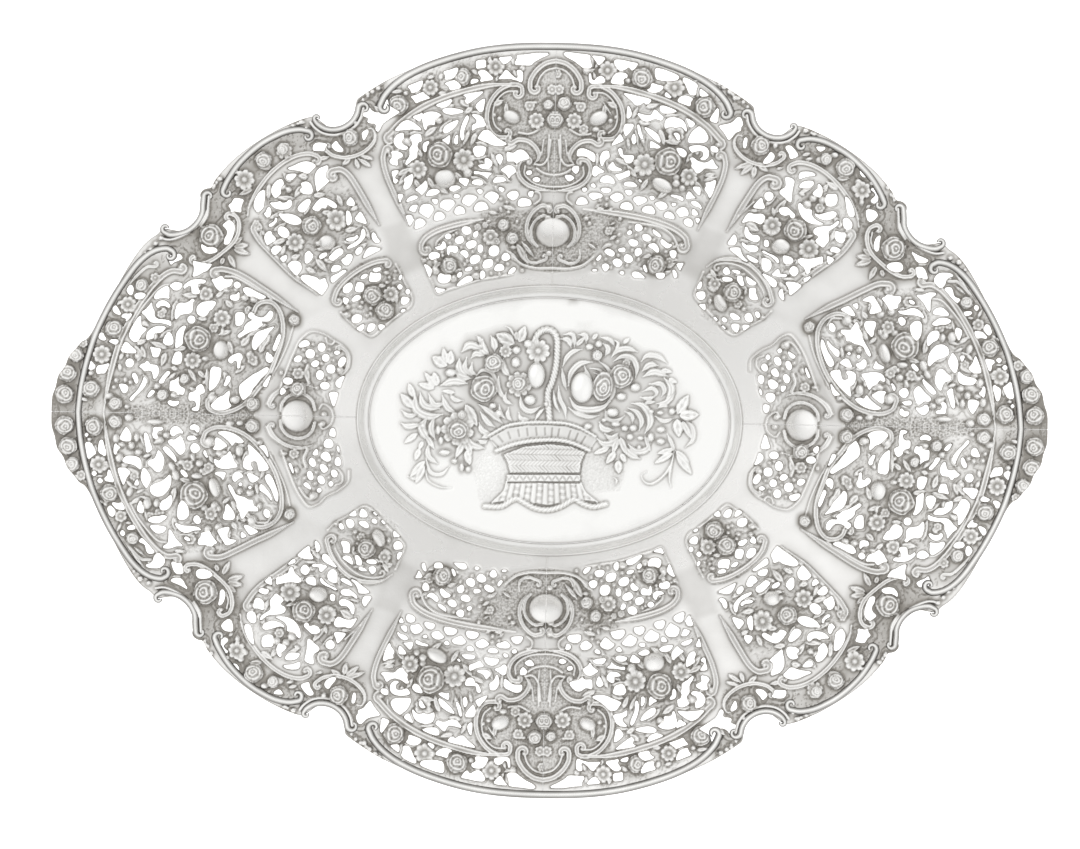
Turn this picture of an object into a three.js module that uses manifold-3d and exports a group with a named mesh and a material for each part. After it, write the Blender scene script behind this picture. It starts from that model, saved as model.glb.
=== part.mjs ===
// An oval fruit bowl of pierced and embossed sheet silver, in millimetres, +Z up, standing on z = 0.
// Four pressed wall panels meet at seams on the X and Y axes, round a flat well on a low foot ring.
import * as THREE from 'three';
import { mergeVertices } from 'three/addons/utils/BufferGeometryUtils.js';
import Module from 'manifold-3d';

const wasm = await Module();
wasm.setup();

// Outer size of the wall
const RIM_LENGTH = 376;
const RIM_WIDTH = 300.8;
const RIM_SQUARENESS = 1.8;
const CREST_REACH = 10.5;
const CREST_ANGLE = THREE.MathUtils.degToRad(14.2);
const WALL_RISE = 54;
const WALL_TURN_ANGLE = THREE.MathUtils.degToRad(70);
const SHEET = 1;

// The floor of the well, its stepped edge and the ring that it stands on
const FLOOR_LENGTH = 146;
const FLOOR_WIDTH = 99.6;
const STEP_RUN_LONG = 4;
const STEP_RUN_WIDE = 4;
const WELL_DEPTH = 3;
const COLLAR_FLARE = 0.4;
const FOOT_HEIGHT = 4;
const FOOT_INSET = 4;
const FOOT_BASE_WIDTH = 4;
const FOOT_TOP_WIDTH = 1.6;

// Fit between neighbouring pieces, and the mouldings' clearance over the sheet
const SEAT_GAP = 0.3;
const SEAM_GAP = 0.3;
const LAY_GAP = 0.55;

// Layout of a quarter of the wall, as angles from its long axis
const RIB_ANGLE = THREE.MathUtils.degToRad(3);
const STRAP_LEAN_ANGLE = THREE.MathUtils.degToRad(7.7);
const OUTER_STRAP = { angle: THREE.MathUtils.degToRad(37), half: THREE.MathUtils.degToRad(3.1) };
const INNER_STRAP = { angle: THREE.MathUtils.degToRad(60), half: THREE.MathUtils.degToRad(2.5) };
const STRAP_EDGE_SHARE = 0.62;

// The scallops of the rim: how deep each notch is cut at its strap's end, and how far its shoulders fall
const OUTER_NOTCH_DEPTH = 8.5;
const OUTER_SHOULDER = 2.7;
const INNER_NOTCH_DEPTH = 11;
const INNER_SHOULDER = 5;
const NOTCHES = [
  { strap: OUTER_STRAP, depth: OUTER_NOTCH_DEPTH, shoulder: OUTER_SHOULDER },
  { strap: INNER_STRAP, depth: INNER_NOTCH_DEPTH, shoulder: INNER_SHOULDER },
];
const SHOULDER_FADE_ANGLE = THREE.MathUtils.degToRad(5);

// Mouldings laid on the rim
const BOW_WIDTH = 3.2;
const BOW_HEIGHT = 2.4;
const SCROLL_WIDTH = 2.6;
const SCROLL_HEIGHT = 2.2;
const RIM_MARGIN = 2.4;
const CURL_RADIUS = 3;
const CURL_ANGLE = THREE.MathUtils.degToRad(215);
const BOW_END_ANGLE = THREE.MathUtils.degToRad(5.4);

// Relief pressed out of the sheet
const ROSE_LIFT = 2.4;
const ROSE_LIP = 1.2;
const MOULDING_RISE = 1.3;
const FLOWER_HEIGHT = 3.2;
const LEAF_HEIGHT = 1.6;
const BASKET_HEIGHT = 2.2;

// Rows of the wall from the well outwards. A letter is a cell: o a round opening, s a scale, l and j
// leaning leaf openings, r a raised rose, a dot plain sheet and a space no sheet. Columns run from the
// long axis to the short axis: rib, end panel, strap, corner panel, strap, side panel.
const BAND_START = 0.84;
const ROWS = [
  { to: 0.08, cells: '.........................' },
  { to: 0.2, cells: '..oooo......oo......ooo..' },
  { to: 0.325, cells: '..ooro.....oroo.....oro..' },
  { to: 0.37, cells: '.........................' },
  { to: 0.53, cells: '.ssssss....ssss....ssssss' },
  { to: 0.69, cells: '.ljrljl....lrrj....srsso.' },
  { to: BAND_START, cells: '.jlrjlj....ljrl....ljrj..' },
  { to: 0.87, cells: '.........................' },
  { to: 0.95, cells: 'rororo......or......roror' },
  { to: 1, cells: '.........................' },
];
const CREST_CELLS = 'rrr';
const PANEL_COLUMNS = { end: 6, corner: 4, side: 6 };

// Outlines of a cell's openings, outward and then round the bowl, as shares of the cell
const OPENINGS = {
  o: [[0.16, 0.34], [0.5, 0.14], [0.84, 0.34], [0.84, 0.66], [0.5, 0.86], [0.16, 0.66]],
  s: [[0.14, 0.5], [0.42, 0.13], [0.78, 0.14], [0.88, 0.5], [0.78, 0.86], [0.42, 0.87]],
  l: [[0.12, 0.2], [0.5, 0.12], [0.88, 0.5], [0.86, 0.84], [0.52, 0.88], [0.16, 0.58]],
  j: [[0.12, 0.8], [0.16, 0.42], [0.52, 0.12], [0.86, 0.16], [0.88, 0.5], [0.5, 0.88]],
};
const CELL_FRAME = [[0, 0], [1, 0], [1, 1], [0, 1]];
const ROSE_OUTLINE = [[0.14, 0.36], [0.5, 0.16], [0.86, 0.36], [0.86, 0.64], [0.5, 0.84], [0.14, 0.64]];

// Mouldings pressed out of a quarter of the wall: places are degrees from the long axis, and reach
const BOLD_WIDTH = 2.6;
const FINE_WIDTH = 2.2;
const MOULDINGS = [
  // side panel: its arch, its strap's edge and the arch under it
  { width: BOLD_WIDTH, line: [[83, 0.835], [79, 0.85], [73, 0.835], [66.8, 0.795], [64, 0.76]] },
  { width: FINE_WIDTH, line: [[62.2, 0.4], [61.9, 0.55], [62.4, 0.69]] },
  { width: BOLD_WIDTH, line: [[84, 0.33], [72, 0.343], [65.5, 0.345], [62.5, 0.305]] },
  // corner panel: the edges of its two straps and its arch
  { width: BOLD_WIDTH, line: [[57, 0.435], [56.7, 0.6], [56, 0.71], [54.4, 0.73]] },
  { width: BOLD_WIDTH, line: [[40, 0.37], [39.5, 0.52], [39.4, 0.66], [40.2, 0.74]] },
  { width: FINE_WIDTH, line: [[53, 0.825], [50.5, 0.855], [47.2, 0.85], [43, 0.82], [41, 0.785]] },
  // end panel: its strap's edge, its scroll and its arch
  { width: BOLD_WIDTH, line: [[32.2, 0.38], [31.9, 0.53], [31.3, 0.68], [30.3, 0.72]] },
  {
    width: FINE_WIDTH,
    line: [[28.5, 0.51], [30, 0.46], [28.5, 0.39], [21, 0.34], [12.2, 0.36], [5.8, 0.42], [4, 0.5], [6.8, 0.565]],
  },
  { width: BOLD_WIDTH, line: [[27.4, 0.83], [25.6, 0.875], [18.5, 0.9], [7, 0.905], [0.6, 0.91]] },
  // half of the shield
  { width: FINE_WIDTH, line: [[84.5, 0.81], [82.4, 0.83], [79.5, 0.78], [78.8, 0.7], [79.8, 0.635], [82, 0.62]] },
  { width: FINE_WIDTH, line: [[83, 0.6], [86.4, 0.57], [86, 0.52], [83.4, 0.5], [84, 0.43], [88, 0.4]] },
];
const MOULDING_CUTS = 2;

// Shields and bosses on the seams: angle, reach, height and half-widths along the two axes
const BOSS_HEIGHT = 3;
const SHIELD_HEIGHT = 1;
const END_BOSS_LONG = 9;
const SIDE_BOSS_LONG = 12;
const END_BOSS_WIDE = 10;
const SIDE_BOSS_WIDE = 8;
const SHIELD_LONG = 28;
const SHIELD_WIDE = 24;
const BOSSES = [
  { angle: 0, reach: 0.22, height: BOSS_HEIGHT, long: END_BOSS_LONG, wide: END_BOSS_WIDE },
  { angle: Math.PI / 2, reach: 0.24, height: BOSS_HEIGHT, long: SIDE_BOSS_LONG, wide: SIDE_BOSS_WIDE },
  { angle: Math.PI / 2, reach: 0.72, height: SHIELD_HEIGHT, long: SHIELD_LONG, wide: SHIELD_WIDE },
];

// Relief on the floor of the well: places as shares of its half-length and half-width
const PEONY_RADIUS = 11;
const ROSE_RADIUS = 7.5;
const BLOSSOM_RADIUS = 5.5;
const FLOWERS = [
  { place: [0.22, 0.27], radius: PEONY_RADIUS },
  { place: [0.1, 0.53], radius: BLOSSOM_RADIUS },
  { place: [-0.13, 0.31], radius: ROSE_RADIUS },
  { place: [-0.31, 0.42], radius: BLOSSOM_RADIUS },
  { place: [-0.33, 0.14], radius: ROSE_RADIUS },
  { place: [0.45, 0.22], radius: BLOSSOM_RADIUS },
  { place: [0.4, -0.03], radius: BLOSSOM_RADIUS },
  { place: [-0.5, 0.02], radius: BLOSSOM_RADIUS },
];
const LONG_LEAF = 26;
const SHORT_LEAF = 20;
const LEAF_WIDTH = 8;
const LEAVES = [
  { place: [-0.68, 0.12], length: LONG_LEAF, turn: 2.9 },
  { place: [-0.6, -0.28], length: SHORT_LEAF, turn: 3.5 },
  { place: [-0.55, 0.42], length: SHORT_LEAF, turn: 2.4 },
  { place: [-0.2, 0.68], length: SHORT_LEAF, turn: 1.9 },
  { place: [0.3, 0.62], length: SHORT_LEAF, turn: 1.1 },
  { place: [0.62, 0.36], length: SHORT_LEAF, turn: 0.6 },
  { place: [0.66, -0.1], length: LONG_LEAF, turn: -0.2 },
  { place: [0.52, -0.38], length: SHORT_LEAF, turn: -0.7 },
];
const BASKET = {
  body: [[-0.17, -0.47], [0.19, -0.47], [0.25, -0.19], [-0.23, -0.19]],
  band: [[-0.35, -0.14], [0.28, -0.14], [0.26, -0.04], [0.12, 0.02], [-0.12, 0.02], [-0.33, -0.04]],
  foot: [[-0.36, -0.71], [0.33, -0.71], [0.2, -0.53], [-0.18, -0.53]],
};
const HANDLE = [[-0.02, 0.04], [-0.03, 0.3], [-0.04, 0.56], [-0.02, 0.72], [-0.12, 0.68]];
const HANDLE_RADIUS = 1.7;
const SPRAY_LIMIT = 0.94;

const OVAL_STEPS = 56;
const SLOPE_STEP = 0.004;

const wellLength = FLOOR_LENGTH + 2 * STEP_RUN_LONG;
const wellWidth = FLOOR_WIDTH + 2 * STEP_RUN_WIDE;
const floorTop = FOOT_HEIGHT + SEAT_GAP + SHEET;
const wallBase = floorTop + WELL_DEPTH;
const sheetMetal = { color: 0xd9d6d0, roughness: 0.3, metalness: 0.95 };
const rimMetal = { color: 0xe4e2dd, roughness: 0.22, metalness: 0.95 };
const floorMetal = { color: 0xe9e8e4, roughness: 0.2, metalness: 0.95 };

const group = new THREE.Group();

function addPiece(name, geometry, metal) {
  const piece = new THREE.Mesh(geometry, new THREE.MeshStandardMaterial(metal));
  piece.name = name;
  group.add(piece);
}

function signedPower(value, power) {
  return Math.sign(value) * Math.abs(value) ** power;
}

function spaced(from, to, count) {
  return Array.from({ length: count }, (unused, i) => from + ((to - from) * (i + 1)) / count);
}

// The wall's inner face: angle runs round the bowl, reach from 0 at the well to 1 at the plain rim
function wallPoint(angle, reach) {
  const wellAngle = angle - STRAP_LEAN_ANGLE * Math.sin(2 * angle);
  const power = 2 / RIM_SQUARENESS;
  const rimX = (RIM_LENGTH / 2) * signedPower(Math.cos(angle), power);
  const rimY = (RIM_WIDTH / 2) * signedPower(Math.sin(angle), power);
  const x = THREE.MathUtils.lerp((wellLength / 2) * Math.cos(wellAngle), rimX, reach);
  const y = THREE.MathUtils.lerp((wellWidth / 2) * Math.sin(wellAngle), rimY, reach);
  const z = wallBase + (WALL_RISE * Math.sin(WALL_TURN_ANGLE * reach)) / Math.sin(WALL_TURN_ANGLE);
  return new THREE.Vector3(x, y, z);
}

function wallNormal(angle, reach) {
  const round = wallPoint(angle + SLOPE_STEP, reach).sub(wallPoint(angle - SLOPE_STEP, reach));
  const outward = wallPoint(angle, reach + SLOPE_STEP).sub(wallPoint(angle, reach - SLOPE_STEP));
  return outward.cross(round).normalize();
}

function wallRun(angle) {
  const edge = wallPoint(angle, 0).sub(wallPoint(angle, 1));
  return Math.hypot(edge.x, edge.y);
}

function foldedAngle(angle) {
  return Math.atan2(Math.abs(Math.sin(angle)), Math.abs(Math.cos(angle)));
}

// Where the scalloped rim runs: its plain line less the notches and their falling shoulders
function rimReach(angle) {
  const folded = foldedAngle(angle);
  let dip = 0;
  for (const notch of NOTCHES) {
    const away = Math.abs(folded - notch.strap.angle);
    const hollow = Math.max(0, 1 - (away / notch.strap.half) ** 2);
    dip += notch.shoulder * Math.exp(-away / SHOULDER_FADE_ANGLE) + (notch.depth - notch.shoulder) * hollow;
  }
  return 1 - dip / wallRun(angle);
}

function crestReach(angle) {
  const share = Math.min(1, foldedAngle(angle) / CREST_ANGLE);
  return rimReach(angle) + (CREST_REACH * Math.sqrt(1 - share * share)) / wallRun(angle);
}

function placedReach(angle, reach) {
  if (reach <= BAND_START) {
    return reach;
  }
  const stretch = (rimReach(angle) - BAND_START) / (1 - BAND_START);
  return BAND_START + (reach - BAND_START) * stretch;
}

function bossLift(point) {
  let lift = 0;
  for (const boss of BOSSES) {
    const middle = wallPoint(boss.angle, boss.reach);
    const away = ((Math.abs(point.x) - middle.x) / boss.long) ** 2
      + ((Math.abs(point.y) - middle.y) / boss.wide) ** 2;
    lift += boss.height * Math.max(0, 1 - away) ** 2;
  }
  return lift;
}

// A closed skin between matching top and bottom points, with a wall round every free edge
class SheetBuilder {
  constructor() {
    this.top = [];
    this.bottom = [];
    this.topFaces = [];
    this.bottomFaces = [];
  }

  addPoint(top, bottom) {
    this.top.push(top);
    this.bottom.push(bottom);
    return this.top.length - 1;
  }

  addFace(a, b, c, side) {
    if (side !== 'bottom') {
      this.topFaces.push([a, b, c]);
    }
    if (side !== 'top') {
      this.bottomFaces.push([a, b, c]);
    }
  }

  geometry() {
    const count = this.top.length;
    const index = [];
    const edges = new Set();
    for (const [a, b, c] of this.topFaces) {
      index.push(a, b, c);
      edges.add(`${a}_${b}`).add(`${b}_${c}`).add(`${c}_${a}`);
    }
    for (const [a, b, c] of this.bottomFaces) {
      index.push(count + a, count + c, count + b);
    }
    for (const edge of edges) {
      const [a, b] = edge.split('_').map(Number);
      if (!edges.has(`${b}_${a}`)) {
        index.push(a, count + a, count + b, a, count + b, b);
      }
    }
    const places = [...this.top, ...this.bottom].flatMap((point) => point.toArray());
    return closedGeometry(places, index);
  }
}

function closedGeometry(places, index) {
  const geometry = new THREE.BufferGeometry();
  geometry.setAttribute('position', new THREE.Float32BufferAttribute(places, 3));
  geometry.setIndex(index);
  return geometry;
}

function columnAngles() {
  const straps = [OUTER_STRAP, INNER_STRAP].map(({ angle, half }) => [
    angle - half,
    angle - half * STRAP_EDGE_SHARE,
    angle,
    angle + half * STRAP_EDGE_SHARE,
    angle + half,
  ]);
  return [
    0,
    RIB_ANGLE,
    ...spaced(RIB_ANGLE, straps[0][0], PANEL_COLUMNS.end),
    ...straps[0].slice(1),
    ...spaced(straps[0][4], straps[1][0], PANEL_COLUMNS.corner),
    ...straps[1].slice(1),
    ...spaced(straps[1][4], Math.PI / 2, PANEL_COLUMNS.side),
  ];
}

// The pierced sheet of the quarter between the +X and +Y axes
function quarterSheet() {
  const sheet = new SheetBuilder();
  const angles = columnAngles();
  const grid = [];

  function trimmed(point) {
    point.x = Math.max(point.x, SEAM_GAP / 2);
    point.y = Math.max(point.y, SEAM_GAP / 2);
    return point;
  }

  function place({ angle, reach, lift }) {
    const base = wallPoint(angle, reach);
    const normal = wallNormal(angle, reach);
    const height = lift + bossLift(base);
    const top = base.clone().addScaledVector(normal, height);
    const bottom = base.addScaledVector(normal, height - SHEET);
    return sheet.addPoint(trimmed(top), trimmed(bottom));
  }

  function gridSpot(angle, reach) {
    const id = place({ angle, reach, lift: 0 });
    return { angle, reach, id };
  }

  // A spot inside the cell between two neighbouring lines of two neighbouring rows
  function insideSpot(corners, outward, round, lift) {
    const mixed = { lift };
    for (const key of ['angle', 'reach']) {
      const low = THREE.MathUtils.lerp(corners[0][key], corners[1][key], outward);
      const high = THREE.MathUtils.lerp(corners[3][key], corners[2][key], outward);
      mixed[key] = THREE.MathUtils.lerp(low, high, round);
    }
    return mixed;
  }

  function addRing(corners, outline, ids, side) {
    const frame = CELL_FRAME.map((spot) => new THREE.Vector2(...spot));
    const hole = outline.map((spot) => new THREE.Vector2(...spot));
    const flat = [...frame, ...hole];
    const all = [...corners.map((corner) => corner.id), ...ids];
    for (const [a, b, c] of THREE.ShapeUtils.triangulateShape(frame, [hole])) {
      const ccw = THREE.ShapeUtils.area([flat[a], flat[b], flat[c]]) > 0;
      sheet.addFace(all[a], all[ccw ? b : c], all[ccw ? c : b], side);
    }
  }

  function addPlain(corners, side) {
    const [a, b, c, d] = corners.map((corner) => corner.id);
    sheet.addFace(a, b, c, side);
    sheet.addFace(a, c, d, side);
  }

  function addRose(corners) {
    const ids = ROSE_OUTLINE.map(([outward, round]) => place(insideSpot(corners, outward, round, ROSE_LIP)));
    const middle = place(insideSpot(corners, 0.5, 0.5, ROSE_LIFT));
    addRing(corners, ROSE_OUTLINE, ids, 'top');
    ids.forEach((id, i) => sheet.addFace(ids[(i + 1) % ids.length], middle, id, 'top'));
    addPlain(corners, 'bottom');
  }

  function addCell(corners, kind) {
    if (kind === 'r') {
      addRose(corners);
    } else if (kind in OPENINGS) {
      const ids = OPENINGS[kind].map(([outward, round]) => place(insideSpot(corners, outward, round, 0)));
      addRing(corners, OPENINGS[kind], ids);
    } else {
      addPlain(corners);
    }
  }

  function addRow(cells) {
    const outer = grid[grid.length - 1];
    const inner = grid[grid.length - 2];
    [...cells].forEach((kind, i) => {
      addCell([inner[i], outer[i], outer[i + 1], inner[i + 1]], kind);
    });
  }

  grid.push(angles.map((angle) => gridSpot(angle, 0)));
  for (const row of ROWS) {
    grid.push(angles.map((angle) => gridSpot(angle, placedReach(angle, row.to))));
    addRow(row.cells);
  }
  const crestAngles = angles.slice(0, CREST_CELLS.length + 1);
  grid.push(crestAngles.map((angle) => gridSpot(angle, crestReach(angle))));
  addRow(CREST_CELLS);
  return sheet.geometry();
}

// A bar along a path of angle and reach. Its section lists how far each corner lies to the side and up.
function sweptBar(path, section) {
  const lines = path.map(({ angle, reach }) => ({
    point: wallPoint(angle, reach),
    normal: wallNormal(angle, reach),
  }));
  const places = [];
  const index = [];
  lines.forEach(({ point, normal }, i) => {
    const before = lines[Math.max(0, i - 1)].point;
    const after = lines[Math.min(lines.length - 1, i + 1)].point;
    const across = after.clone().sub(before).cross(normal).normalize();
    for (const [side, up] of section) {
      const corner = point.clone().addScaledVector(across, side);
      corner.addScaledVector(normal, up + bossLift(point));
      places.push(...corner.toArray());
    }
  });
  const sides = section.length;
  for (let ring = 0; ring < lines.length - 1; ring += 1) {
    for (let side = 0; side < sides; side += 1) {
      const a = ring * sides + side;
      const b = ring * sides + ((side + 1) % sides);
      index.push(a, b + sides, b, a, a + sides, b + sides);
    }
  }
  const last = (lines.length - 1) * sides;
  for (let side = 1; side < sides - 1; side += 1) {
    index.push(0, side, side + 1, last, last + side + 1, last + side);
  }
  return closedGeometry(places, index);
}

// A moulding laid on the wall, flat below and rounded above
function mouldingBar(path, width, height) {
  const section = [[-0.5, 0], [0.5, 0], [0.38, 0.7], [0, 1], [-0.38, 0.7]];
  return sweptBar(path, section.map(([side, up]) => [side * width, LAY_GAP + up * height]));
}

// A moulding pressed out of the sheet, which rises from the middle of the sheet's thickness
function pressedMoulding({ width, line }) {
  const spots = line.map(([degrees, reach]) => new THREE.Vector2(THREE.MathUtils.degToRad(degrees), reach));
  const path = new THREE.SplineCurve(spots).getPoints(MOULDING_CUTS * (line.length - 1));
  return sweptBar(path.map((spot) => ({ angle: spot.x, reach: spot.y })), [
    [-width / 2, -SHEET / 2],
    [width / 2, -SHEET / 2],
    [width / 4, MOULDING_RISE],
    [-width / 4, MOULDING_RISE],
  ]);
}

// Moves a spot on the wall by millimetres round the bowl and outward
function shifted(angle, reach, round, outward) {
  const stepRound = wallPoint(angle + SLOPE_STEP, reach).distanceTo(wallPoint(angle, reach)) / SLOPE_STEP;
  return { angle: angle + round / stepRound, reach: reach + outward / wallRun(angle) };
}

// The curl that ends a moulding: turns inward from the rim, back under its own end
function curl(angle, reach, direction, steps) {
  return spaced(0, CURL_ANGLE, steps).map((turn) => shifted(
    angle,
    reach,
    direction * CURL_RADIUS * Math.sin(turn),
    CURL_RADIUS * (Math.cos(turn) - 1),
  ));
}

function marginReach(angle, margin) {
  return rimReach(angle) - margin / wallRun(angle);
}

function bowPath(from, to, steps) {
  const middle = [from, ...spaced(from, to, steps)].map((angle) => ({
    angle,
    reach: marginReach(angle, RIM_MARGIN),
  }));
  const first = middle[0];
  const last = middle[middle.length - 1];
  return [
    ...curl(first.angle, first.reach, -1, 4).reverse(),
    ...middle,
    ...curl(last.angle, last.reach, 1, 4),
  ];
}

function scrollPath(middle, half) {
  return [-1, -STRAP_EDGE_SHARE, 0, STRAP_EDGE_SHARE, 1].map((share) => {
    const angle = middle + share * half;
    return { angle, reach: marginReach(angle, RIM_MARGIN) };
  });
}

// A ring round the oval: its section is a list of half-lengths, half-widths and heights
function ovalRing(section) {
  const places = [];
  const index = [];
  const sides = section.length;
  for (let step = 0; step < OVAL_STEPS; step += 1) {
    const turn = (2 * Math.PI * step) / OVAL_STEPS;
    for (const [halfLength, halfWidth, height] of section) {
      places.push(halfLength * Math.cos(turn), halfWidth * Math.sin(turn), height);
    }
  }
  for (let step = 0; step < OVAL_STEPS; step += 1) {
    for (let side = 0; side < sides; side += 1) {
      const a = step * sides + side;
      const b = step * sides + ((side + 1) % sides);
      const c = ((step + 1) % OVAL_STEPS) * sides + ((side + 1) % sides);
      const d = ((step + 1) % OVAL_STEPS) * sides + side;
      index.push(a, b, c, a, c, d);
    }
  }
  return closedGeometry(places, index);
}

function wellCollar() {
  const innerLong = FLOOR_LENGTH / 2 + SEAT_GAP;
  const innerWide = FLOOR_WIDTH / 2 + SEAT_GAP;
  const outerLong = wellLength / 2 - SEAT_GAP;
  const outerWide = wellWidth / 2 - SEAT_GAP;
  return ovalRing([
    [innerLong, innerWide, floorTop],
    [outerLong, outerWide, wallBase],
    [outerLong + COLLAR_FLARE, outerWide + COLLAR_FLARE, wallBase - SHEET],
    [innerLong, innerWide, floorTop - SHEET],
  ]);
}

function footRing() {
  const long = FLOOR_LENGTH / 2 - FOOT_INSET;
  const wide = FLOOR_WIDTH / 2 - FOOT_INSET;
  return ovalRing([
    [long - FOOT_TOP_WIDTH / 2, wide - FOOT_TOP_WIDTH / 2, FOOT_HEIGHT],
    [long + FOOT_TOP_WIDTH / 2, wide + FOOT_TOP_WIDTH / 2, FOOT_HEIGHT],
    [long + FOOT_BASE_WIDTH / 2, wide + FOOT_BASE_WIDTH / 2, 0],
    [long - FOOT_BASE_WIDTH / 2, wide - FOOT_BASE_WIDTH / 2, 0],
  ]);
}

function solidOf(geometry) {
  const bare = geometry.clone();
  bare.deleteAttribute('normal');
  bare.deleteAttribute('uv');
  const merged = mergeVertices(bare);
  const corners = merged.index.array;
  const kept = [];
  for (let i = 0; i < corners.length; i += 3) {
    const [a, b, c] = corners.slice(i, i + 3);
    if (a !== b && b !== c && c !== a) {
      kept.push(a, b, c);
    }
  }
  return new wasm.Manifold(new wasm.Mesh({
    numProp: 3,
    vertProperties: new Float32Array(merged.attributes.position.array),
    triVerts: new Uint32Array(kept),
  }));
}

function geometryOf(solid) {
  const mesh = solid.getMesh();
  return closedGeometry([...mesh.vertProperties], [...mesh.triVerts]);
}

// A quarter of the wall with its mouldings
function quarterPanel() {
  let panel = solidOf(quarterSheet());
  for (const moulding of MOULDINGS) {
    panel = panel.add(solidOf(pressedMoulding(moulding)));
  }
  return panel;
}

function floorSpot([shareLong, shareWide]) {
  return new THREE.Vector2((shareLong * FLOOR_LENGTH) / 2, (shareWide * FLOOR_WIDTH) / 2);
}

// Relief rises from the middle of the floor's sheet, so that it joins the sheet
function raised(outline, height) {
  const shape = new THREE.Shape(outline);
  const geometry = new THREE.ExtrudeGeometry(shape, { depth: height + SHEET / 2, bevelEnabled: false });
  return solidOf(geometry.translate(0, 0, floorTop - SHEET / 2));
}

function flowerSolid({ place, radius }) {
  const profile = [
    [0, -SHEET / 2],
    [radius, -SHEET / 2],
    [radius * 0.9, FLOWER_HEIGHT * 0.3],
    [radius * 0.4, FLOWER_HEIGHT],
    [0, FLOWER_HEIGHT * 0.6],
  ];
  const points = profile.map(([r, z]) => new THREE.Vector2(r, z));
  const spot = floorSpot(place);
  const geometry = new THREE.LatheGeometry(points, 8).rotateX(Math.PI / 2);
  return solidOf(geometry.translate(spot.x, spot.y, floorTop));
}

function leafSolid({ place, length, turn }) {
  const outline = [[-0.5, 0], [-0.15, -0.5], [0.25, -0.35], [0.5, 0], [0.25, 0.35], [-0.15, 0.5]];
  const spot = floorSpot(place);
  const points = outline.map(([along, across]) => new THREE.Vector2(along * length, across * LEAF_WIDTH)
    .rotateAround(new THREE.Vector2(), turn)
    .add(spot));
  return raised(points, LEAF_HEIGHT);
}

function handleSolid() {
  const points = HANDLE.map((share) => new THREE.Vector3(...floorSpot(share).toArray(), floorTop));
  const section = new THREE.Shape(
    new THREE.Path().absarc(0, 0, HANDLE_RADIUS, 0, 2 * Math.PI).getSpacedPoints(6),
  );
  const path = new THREE.CatmullRomCurve3(points);
  return solidOf(new THREE.ExtrudeGeometry(section, { steps: 10, extrudePath: path, bevelEnabled: false }));
}

function ovalOutline(scale) {
  return Array.from({ length: OVAL_STEPS }, (unused, step) => {
    const turn = (2 * Math.PI * step) / OVAL_STEPS;
    return floorSpot([scale * Math.cos(turn), scale * Math.sin(turn)]);
  });
}

// The flat floor with its basket, flowers and leaves, kept inside the oval and above the underside
function wellPlate() {
  const plate = new THREE.ExtrudeGeometry(
    new THREE.Shape(ovalOutline(1)),
    { depth: SHEET, bevelEnabled: false },
  );
  const limit = new THREE.ExtrudeGeometry(
    new THREE.Shape(ovalOutline(SPRAY_LIMIT)),
    { depth: 2 * BASKET_HEIGHT + 2 * FLOWER_HEIGHT, bevelEnabled: false },
  );
  let relief = handleSolid();
  const parts = [
    ...Object.values(BASKET).map((outline) => raised(outline.map(floorSpot), BASKET_HEIGHT)),
    ...LEAVES.map(leafSolid),
    ...FLOWERS.map(flowerSolid),
  ];
  for (const part of parts) {
    relief = relief.add(part);
  }
  relief = relief.intersect(solidOf(limit.translate(0, 0, floorTop - SHEET / 2)));
  return geometryOf(solidOf(plate.translate(0, 0, floorTop - SHEET)).add(relief));
}

const QUARTERS = { ne: [1, 1], nw: [-1, 1], sw: [-1, -1], se: [1, -1] };

addPiece('well_plate', wellPlate(), floorMetal);
addPiece('well_collar', wellCollar(), floorMetal);
addPiece('foot_ring', footRing(), rimMetal);
const quarter = quarterPanel();
for (const [name, [signX, signY]] of Object.entries(QUARTERS)) {
  addPiece(`wall_panel_${name}`, geometryOf(quarter.scale([signX, signY, 1])), sheetMetal);
}

// Every notch round the bowl, and a bow between each two that follow each other
const roundNotches = [0, Math.PI].flatMap((start) => [
  { angle: start + OUTER_STRAP.angle, half: OUTER_STRAP.half },
  { angle: start + INNER_STRAP.angle, half: INNER_STRAP.half },
  { angle: start + Math.PI - INNER_STRAP.angle, half: INNER_STRAP.half },
  { angle: start + Math.PI - OUTER_STRAP.angle, half: OUTER_STRAP.half },
]);
const SCROLL_NAMES = ['ene', 'nne', 'nnw', 'wnw', 'wsw', 'ssw', 'sse', 'ese'];
const BOW_NAMES = ['ne', 'n', 'nw', 'w', 'sw', 's', 'se', 'e'];
const BOW_STEPS = 9;
roundNotches.forEach(({ angle, half }, i) => {
  const next = roundNotches[i + 1] ?? { angle: 2 * Math.PI + OUTER_STRAP.angle };
  const scroll = scrollPath(angle, half);
  const bow = bowPath(angle + BOW_END_ANGLE, next.angle - BOW_END_ANGLE, BOW_STEPS);
  addPiece(`rim_scroll_${SCROLL_NAMES[i]}`, mouldingBar(scroll, SCROLL_WIDTH, SCROLL_HEIGHT), rimMetal);
  addPiece(`rim_bow_${BOW_NAMES[i]}`, mouldingBar(bow, BOW_WIDTH, BOW_HEIGHT), rimMetal);
});

export default group;
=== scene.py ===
# The looks of an oval fruit bowl in pierced and embossed silver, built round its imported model.
import math

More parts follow.
